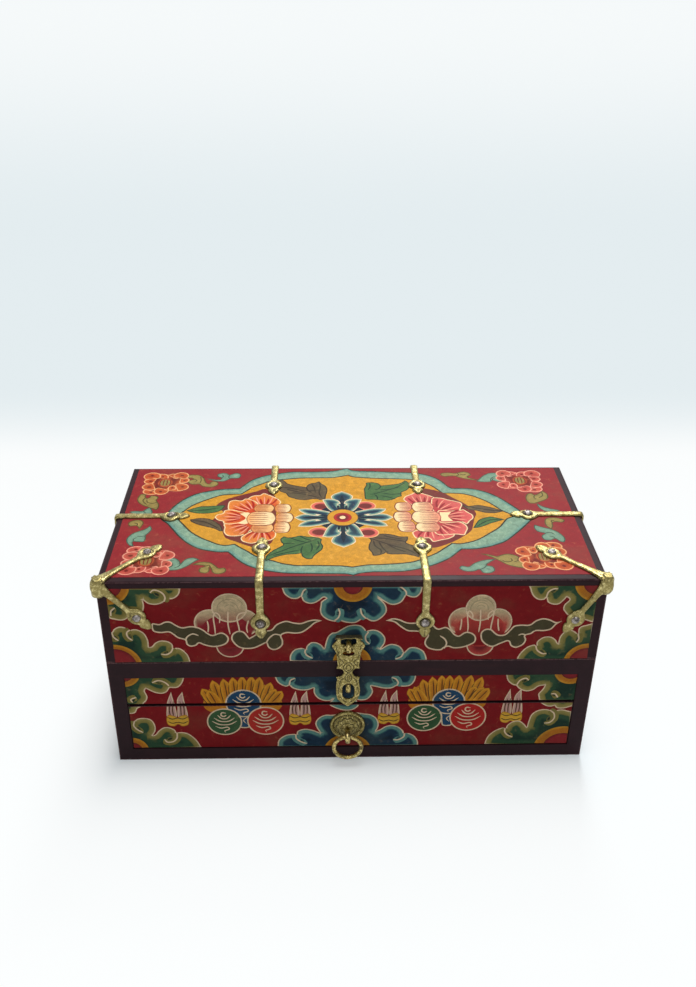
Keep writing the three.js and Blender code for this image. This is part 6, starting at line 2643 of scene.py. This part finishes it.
    @staticmethod
    def slot(centre: Point, half_width: float, half_height: float) -> np.ndarray:
        """Give an upright opening with round ends.

        Args:
            centre: Its middle.
            half_width: Half its width.
            half_height: Half its height.

        Returns:
            Its outline, one row for each place.
        """
        straight = half_height - half_width
        places = oval((0.0, 0.0), (half_width, half_width), step=0.5)
        places[:, 1] += np.where(places[:, 1] >= 0, straight, -straight)
        return places + np.array(centre[:2])

    def _add_bar(self, joined: bmesh.types.BMesh) -> None:
        """Add the bar that the wire eye runs round.

        Args:
            joined: The mesh that it is added to.
        """
        turn = Matrix.Rotation(math.radians(90), 4, "Y")
        place = Matrix.Translation(Vector(self.pivot) * MM)
        radius, length = self.bar
        bmesh.ops.create_cone(joined, cap_ends=True, segments=24, radius1=radius * MM, radius2=radius * MM,
                              depth=length * MM, matrix=place @ turn)


def tube(name: str, path: np.ndarray, normals: np.ndarray, half: Point, material: bpy.types.Material,
         closed: bool, sides: int = 18, lump: float = 0.05, seed: float = 0.0) -> bpy.types.Mesh:
    """Run a wire with an oval section along a path.

    Args:
        name: The mesh's name.
        path: The places that it runs through, in millimetres.
        normals: The way outward in the plane of the path at each place.
        half: Its half thickness along the normal and across it.
        material: Its material.
        closed: Whether it returns to its start.
        sides: The number of places round it.
        lump: The height of its dents.
        seed: What makes its dents differ.

    Returns:
        The closed mesh.
    """
    ways = np.gradient(path, axis=0) if not closed else np.roll(path, -1, axis=0) - np.roll(path, 1, axis=0)
    ways /= np.linalg.norm(ways, axis=1)[:, None]
    across = np.cross(ways, normals)
    across /= np.linalg.norm(across, axis=1)[:, None]
    angle = np.arange(sides) / sides * 2 * math.pi
    verts = (path[:, None, :] + normals[:, None, :] * (np.cos(angle) * half[0])[None, :, None]
             + across[:, None, :] * (np.sin(angle) * half[1])[None, :, None]).reshape(-1, 3)
    waves = dents(verts, 2.6, seed)
    centre = np.repeat(path, sides, axis=0)
    verts = centre + (verts - centre) * (1 + waves * lump)[:, None]
    count = len(path)
    faces = []
    for i in range(count if closed else count - 1):
        j = (i + 1) % count
        for k in range(sides):
            m = (k + 1) % sides
            faces.append((i * sides + k, j * sides + k, j * sides + m, i * sides + m))
    if not closed:
        faces.append(tuple(reversed(range(sides))))
        faces.append(tuple(range((count - 1) * sides, count * sides)))
    mesh = mesh_from(name, verts, faces, material, np.clip(-waves * 0.8, 0, 1))
    face_outward(mesh)
    return mesh


@dataclass
class WireEye:
    """An eye of flattened wire with its shank in the wood.

    Attributes:
        node: The node that it stands for.
        body: The body that it rides on.
        centre: The centre of its hole.
        hole: The radius of its hole.
        shank_end: How far back its shank reaches.
        wire: Half the thickness of its wire, in the loop's plane and across it.
    """

    node: str
    body: str
    centre: Point
    hole: float
    shank_end: float = FRONT + 6.0
    wire: Point = (1.55, 1.95)

    def build(self, material: bpy.types.Material, seed: float) -> bpy.types.Object:
        """Bend the wire.

        Args:
            material: The finish of its metal.
            seed: What makes its lumps differ.

        Returns:
            The piece.
        """
        x, y, z = self.centre
        radius = self.hole + EYE_WIRE
        angles = np.linspace(-0.25, 2 * math.pi + 0.25, 56) + math.pi / 2
        normals = np.stack([np.zeros(len(angles)), np.sin(angles), np.cos(angles)], axis=1)
        path = np.array([x, y, z]) + radius * normals
        loop = tube(self.node, path, normals, self.wire, material, False, 18, 0.05, seed)
        shank_path = np.array([(x, y + radius * 0.9, z), (x, y + radius + 1.2, z), (x, self.shank_end, z)])
        up = np.tile(np.array([0.0, 0.0, 1.0]), (3, 1))
        shank = tube("shank", shank_path, up, self.wire, material, False, 18, 0.0, seed)
        joined = bmesh.new()
        joined.from_mesh(loop)
        joined.from_mesh(shank)
        joined.to_mesh(loop)
        joined.free()
        bpy.data.meshes.remove(shank)
        shade_smooth(loop)
        return link(f"wire_{self.node}", loop, self.body, "brass", self.node)


@dataclass
class RingPull:
    """The domed rosette and the ring that hangs from it.

    Attributes:
        centre: The centre of the rosette's back.
        radius: The radius of its rim.
        dome: The height of its dome.
        eye_z: The height of the eye.
        eye_hole: The radius of the eye's hole.
        ring_radius: The radius of the ring's middle line.
        wire: Half the thickness of the ring's wire.
        spare: The gap between the dome and the eye.
    """

    centre: Point = (FITTING_X, PANEL_FRONT, 33.3)
    radius: float = 13.4
    dome: float = 5.2
    eye_z: float = 30.4
    eye_hole: float = 1.9
    ring_radius: float = 10.35
    wire: float = 1.65
    spare: float = 0.3

    @property
    def pivot(self) -> Point:
        """Give the place that the ring swings about."""
        return FITTING_X, PANEL_FRONT - self.dome - self.eye_hole - 2 * EYE_WIRE - self.spare, self.eye_z

    def height(self, radius: np.ndarray, angle: np.ndarray) -> tuple[np.ndarray, np.ndarray]:
        """Give the rosette's height and how deep in a hollow each place lies.

        Args:
            radius: The distance of each place from the middle.
            angle: Its angle.

        Returns:
            The heights and the depths, 0 to 1.
        """
        r = self.radius
        stations = [0.0, r - 10.8, r - 8.6, r - 6.4, r - 4.6, r - 3.6, r - 3.0, r - 2.2, r - 1.5, r - 0.7,
                    r - 0.15, r]
        levels = [self.dome, self.dome - 0.1, 4.7, 3.7, 2.35, 1.55, 1.5, 2.2, 2.5, 2.35, 1.6, 0.9]
        base = np.interp(radius, stations, levels)
        ribs = 0.5 + 0.5 * np.cos(angle * 44)
        rib_zone = np.clip(1 - np.abs(radius - (r - 3.4)) / 1.3, 0, 1)
        petal_edge = (r - 6.0) + 1.0 * np.abs(np.cos(angle * 5))
        petal_line = np.clip(1 - np.abs(radius - petal_edge) / 0.5, 0, 1)
        inner_edge = 4.3 + 0.8 * np.abs(np.cos(angle * 4 + 0.4))
        inner_line = np.clip(1 - np.abs(radius - inner_edge) / 0.45, 0, 1)
        spokes = np.clip(1 - np.abs(np.sin(angle * 5)) * radius / 1.1, 0, 1)
        spokes = spokes * (radius > 4.6) * (radius < r - 6.4)
        leaf = np.clip(1 - np.abs(np.sin(angle * 10 + radius * 0.9)) * radius / 2.6, 0, 1)
        leaf = leaf * (radius > 4.8) * (radius < r - 5.6)
        hollow = np.maximum.reduce([(1 - ribs) * rib_zone, petal_line, inner_line, spokes * 0.8, leaf * 0.6])
        return base - 0.45 * hollow, hollow

    def build(self, material: bpy.types.Material, wire: bpy.types.Material) -> None:
        """Cast the rosette in one brass and bend the eye and the ring from another.

        Args:
            material: The finish of the rosette.
            wire: The finish of the eye and the ring.
        """
        sides, r = 220, self.radius
        radii = np.concatenate([np.linspace(0.6, r - 4.8, 22), np.linspace(r - 4.5, r, 18)])
        angles = np.arange(sides) / sides * 2 * math.pi
        grid_r, grid_a = np.meshgrid(radii, angles, indexing="ij")
        level, hollow = self.height(grid_r, grid_a)
        u, v = grid_r * np.cos(grid_a), grid_r * np.sin(grid_a)
        flat = np.stack([u.ravel(), v.ravel()], axis=1)
        level = level.ravel() + dents(flat, 1.5, 2.0) * 0.1
        x, y, z = self.centre
        front = np.stack([x + flat[:, 0], y - level, z + flat[:, 1]], axis=1)
        back = np.stack([x + r * np.cos(angles), np.full(sides, y), z + r * np.sin(angles)], axis=1)
        verts = np.concatenate([front, back, [[x, y - self.dome, z]]])
        rings = len(radii)
        faces = [(len(verts) - 1, k, (k + 1) % sides) for k in range(sides)]
        for i in range(rings):
            for k in range(sides):
                m = (k + 1) % sides
                faces.append((i * sides + k, (i + 1) * sides + k, (i + 1) * sides + m, i * sides + m))
        faces.append(tuple(rings * sides + k for k in reversed(range(sides))))
        shade = np.concatenate([hollow.ravel(), np.full(sides, 0.6), [0.0]])
        mesh = mesh_from("rosette", verts, faces, material, shade)
        face_outward(mesh)
        link("cast_rosette", mesh, "drawer", "brass", "pull_rosette")
        WireEye("pull_eye", "drawer", self.pivot, self.eye_hole).build(wire, 4.0)
        pivot_x, pivot_y, pivot_z = self.pivot
        turns = np.linspace(0, 2 * math.pi, 96, endpoint=False)
        normals = np.stack([np.cos(turns), np.zeros(len(turns)), np.sin(turns)], axis=1)
        path = np.array([pivot_x, pivot_y, pivot_z - self.ring_radius]) + normals * self.ring_radius
        ring = tube("ring", path, normals, (self.wire, self.wire * 0.95), wire, True, 20, 0.06, 8.0)
        link("forged_ring", ring, "ring", "brass", "pull_ring")


@dataclass
class Fittings:
    """The straps, brackets, nails, hinges, hasp and ring pull.

    Attributes:
        front_xs: The places of the two straps at the front, left and right.
        back_xs: The places of those at the back.
        side_y: The place of those at the sides.
        front_lobes: The half widths of the front straps' bosses.
        side_lobes: Those of the side straps' bosses.
        catch_z: The height of the eye that the hasp drops over.
        seed_step: How much the seed grows from one nail to the next.
        hinge_parts: The nodes of the hinges.
    """

    front_xs: Point = (-65.5, 51.0)
    back_xs: Point = (-60.5, 55.0)
    side_y: float = 4.5
    front_lobes: tuple[tuple[Point, Point], ...] = (((7.3, 6.3), (7.2, 6.8)), ((6.4, 7.2), (6.6, 7.0)))
    side_lobes: tuple[tuple[Point, Point], ...] = (((5.2, 7.4), (6.9, 6.9)), ((7.4, 5.2), (6.9, 6.9)))
    catch_z: float = HASP_PIVOT[2] - HASP_SLOT_DROP * math.cos(HASP_CLOSED_TILT)
    seed_step: float = 1.3
    hinge_parts: tuple[str, ...] = ("hinge_leaf_base_left", "hinge_leaf_base_right", "hinge_leaf_lid_left",
                                    "hinge_leaf_lid_right", "hinge_pin_left", "hinge_pin_right")

    def straps(self) -> list[Strap]:
        """Give the six straps.

        Returns:
            The straps.
        """
        made = []
        for index, (hand, side) in enumerate((("left", -1), ("right", 1))):
            made.append(Strap(f"strap_front_{hand}", (self.front_xs[index], FRONT, LID_TOP), 0.0,
                              top_leg=41.5, down_leg=35.0, lobes=self.front_lobes[index], seed=11.0 + index))
            made.append(Strap(f"strap_back_{hand}", (self.back_xs[index], -FRONT, LID_TOP), 180.0,
                              top_leg=32.0, down_leg=35.0, seed=15.0 + index))
            made.append(Strap(f"strap_side_{hand}", (side * WIDTH / 2, self.side_y, LID_TOP), side * 90.0,
                              top_leg=41.5, down_leg=35.0, lobes=self.side_lobes[index], seed=19.0 + index))
        return made

    def build(self) -> None:
        """Make and dress every fitting."""
        steel, iron, brass = STRAP_STEEL.material(), NAIL_IRON.material(), BRASS.material()
        wire = BRASS_WIRE.material()
        for strap in self.straps():
            strap.build(steel)
        Bracket("left", -1, (41.0, 42.0, 40.0)).build(steel)
        Bracket("right", 1, (46.0, 31.0, 40.0)).build(steel)
        seed = 1.0
        up = (0.0, 0.0, 1.0)
        for hand, side in (("left", -1.0), ("right", 1.0)):
            faces = {"front": (0.0, -1.0, 0.0), "back": (0.0, 1.0, 0.0), "side": (side, 0.0, 0.0)}
            for where, outward in faces.items():
                for place, axis in (("top", up), ("face", outward)):
                    NailHead(f"strap_{where}_{hand}_nail_{place}", axis).build(iron, seed)
                    seed += self.seed_step
            for place, axis in (("top", up), ("face", faces["front"]), ("side", faces["side"])):
                NailHead(f"corner_bracket_{hand}_nail_{place}", axis).build(iron, seed)
                seed += self.seed_step
        for name in self.hinge_parts:
            dress(name, brass, BARE_EDGE)
        Hasp().build(brass)
        WireEye("hasp_staple_lid", "lid", HASP_PIVOT, 1.8).build(wire, 2.0)
        WireEye("hasp_staple_base", "base", (FITTING_X, FRONT - 4.4, self.catch_z), 1.9).build(wire, 3.0)
        RingPull().build(brass, wire)


@dataclass(frozen=True)
class Lamp:
    """A soft rectangular lamp.

    Attributes:
        name: Its name.
        place: Its place in metres.
        size: Its width and depth.
        power: Its power in watts.
        aim: The place that it points at.
    """

    name: str
    place: Point
    size: Point
    power: float
    aim: Point = (0.0, 0.0, 0.05)

    def hang(self) -> None:
        """Hang the lamp in the scene."""
        light = bpy.data.lights.new(self.name, "AREA")
        light.shape = "RECTANGLE"
        light.size, light.size_y = self.size
        light.energy = self.power
        lamp = bpy.data.objects.new(self.name, light)
        lamp.location = self.place
        lamp.rotation_euler = (Vector(self.aim) - Vector(self.place)).to_track_quat("-Z", "Y").to_euler()
        bpy.context.scene.collection.objects.link(lamp)


@dataclass
class Studio:
    """The pale sweep of paper, the lamps and the camera.

    Attributes:
        bend: Where the paper starts to turn up, in metres behind the box.
        radius: The radius of the turn.
        turn_steps: The number of flats in the turn.
        half_width: Half the paper's width.
        height: How far up the paper reaches.
        ahead: Where the paper starts in front of the box.
        camera_at: The camera's place in metres.
        yaw: How far the camera is turned to the right, in degrees.
        pitch: How far it looks down.
        roll: How far it is tilted.
        lens: Its focal length in millimetres.
        film: The width of its film in millimetres.
        lamps: The lamps.
    """

    bend: float = 0.46
    radius: float = 0.3
    turn_steps: int = 16
    half_width: float = 12.0
    height: float = 0.8
    ahead: float = -12.0
    camera_at: Point = (-0.0213, -0.6421, 0.5598)
    yaw: float = 1.706
    pitch: float = 30.035
    roll: float = -0.600
    lens: float = 35.99
    film: float = 36.0
    lamps: tuple[Lamp, ...] = (
        Lamp("key", place=(0.3, 1.25, 1.6), size=(0.35, 0.25), power=25.0),
        Lamp("overhead", place=(0.1, -0.1, 1.5), size=(0.9, 0.6), power=9.0),
        Lamp("front_fill", place=(-0.1, -1.7, 1.3), size=(1.8, 1.2), power=7.0))

    def build(self) -> None:
        """Set the stage up."""
        self.add_paper()
        for lamp in self.lamps:
            lamp.hang()
        self.add_world()
        self.add_camera()

    def add_paper(self) -> None:
        """Make the sweep of paper under and behind the box."""
        profile = [(self.ahead, 0.0), (self.bend, 0.0)]
        for step in range(1, self.turn_steps + 1):
            angle = step / self.turn_steps * math.pi / 2
            profile.append((self.bend + self.radius * math.sin(angle), self.radius * (1 - math.cos(angle))))
        profile.append((self.bend + self.radius, self.height))
        verts = [(x, y, z) for y, z in profile for x in (-self.half_width, self.half_width)]
        faces = [(2 * i, 2 * i + 1, 2 * i + 3, 2 * i + 2) for i in range(len(profile) - 1)]
        mesh = bpy.data.meshes.new("paper")
        mesh.from_pydata(verts, [], faces)
        shade_smooth(mesh)
        paper = bpy.data.objects.new("paper", mesh)
        bpy.context.scene.collection.objects.link(paper)
        mesh.materials.append(self.paper_material())

    def paper_material(self) -> bpy.types.Material:
        """Build pale paper, which shows whiter to the camera than it lights the box.

        Returns:
            The material.
        """
        material, graph = new_material("paper")
        rays = graph.add("ShaderNodeLightPath")
        seen = rays.of("Is Camera Ray").math("MAXIMUM", rays.of("Is Glossy Ray"))
        seen = seen.math("MAXIMUM", rays.of("Is Transmission Ray"))
        where = graph.add("ShaderNodeTexCoord", output="Object")
        parts = graph.add("ShaderNodeSeparateXYZ", {}, {0: where})
        beside = (parts.of("X").math("ABSOLUTE") - WIDTH / 2 * MM).math("MAXIMUM", 0.0) * 1.7
        before = (parts.of("Y").math("ABSOLUTE") + FRONT * MM).math("MAXIMUM", 0.0)
        away = (beside * beside + before * before).math("SQRT")
        # Where the paper turns up and on the lower wall, the colour shown to the camera darkens to a
        # blue-grey: a painted shade that fades higher up.
        painted_wall_shade = parts.of("Y").band(0.40, 0.58) * (1.0 - parts.of("Z").band(0.18, 0.47) * 0.75)
        shown = graph.mix(srgb(253, 255, 255), srgb(229, 238, 241), painted_wall_shade)
        tint = graph.mix(srgb(200, 203, 205), srgb(243, 252, 255), seen)
        lit = graph.add("ShaderNodeBsdfDiffuse", {}, {"Color": tint})
        glow = graph.add("ShaderNodeEmission", {}, {"Color": shown, "Strength": 1.0})
        share = seen * (0.97 - (away * -32.0).math("EXPONENT") * 0.8)
        both = graph.add("ShaderNodeMixShader", {}, {0: share, 1: lit, 2: glow})
        graph.add("ShaderNodeOutputMaterial", {}, {"Surface": both})
        return material

    def add_world(self) -> None:
        """Set the world's faint light."""
        world = bpy.data.worlds.new("room")
        bpy.context.scene.world = world
        world.use_nodes = True
        graph = Graph(world.node_tree)
        rays = graph.add("ShaderNodeLightPath")
        seen = rays.of("Is Camera Ray").math("MAXIMUM", rays.of("Is Transmission Ray"))
        shown = graph.mix(srgb(150, 152, 156), srgb(251, 254, 254), seen)
        glow = graph.add("ShaderNodeBackground", {}, {"Color": shown, "Strength": 1.0})
        dim = graph.add("ShaderNodeBackground", {}, {"Color": srgb(236, 240, 244), "Strength": 0.18})
        both = graph.add("ShaderNodeMixShader", {}, {0: rays.of("Is Diffuse Ray"), 1: glow, 2: dim})
        graph.add("ShaderNodeOutputWorld", {}, {"Surface": both})

    def add_camera(self) -> None:
        """Put the camera where the photograph was taken from."""
        yaw, pitch, roll = (math.radians(v) for v in (self.yaw, self.pitch, self.roll))
        forward = Vector((math.sin(yaw) * math.cos(pitch), math.cos(yaw) * math.cos(pitch),
                          -math.sin(pitch)))
        right = Vector((math.cos(yaw), -math.sin(yaw), 0.0))
        down = forward.cross(right)
        across = right * math.cos(roll) + down * math.sin(roll)
        below = down * math.cos(roll) - right * math.sin(roll)
        turn = Matrix((across, -below, -forward)).transposed()
        data = bpy.data.cameras.new("camera")
        data.sensor_width = self.film
        data.lens = self.lens
        camera = bpy.data.objects.new("camera", data)
        camera.matrix_world = Matrix.Translation(self.camera_at) @ turn.to_4x4()
        bpy.context.scene.collection.objects.link(camera)
        bpy.context.scene.camera = camera


def corners(box: tuple[Vector, Vector]) -> list[list[float]]:
    """Give a box's two corners as plain lists."""
    return [[float(value) for value in corner] for corner in box]


def main() -> None:
    """Build the box and its stage."""
    logging.basicConfig(level=logging.INFO, format="%(name)s: %(message)s")
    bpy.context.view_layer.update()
    bpy.context.scene.view_settings.view_transform = "Standard"
    Studio().build()
    Carcass().build()
    Fittings().build()
    paint = VarnishedPaint().material()
    for film in (LidTopPainting().film(), LidFrontPainting().film(), *BaseFrontPainting().films()):
        film.build(paint)


if __name__ == "__main__":
    main()
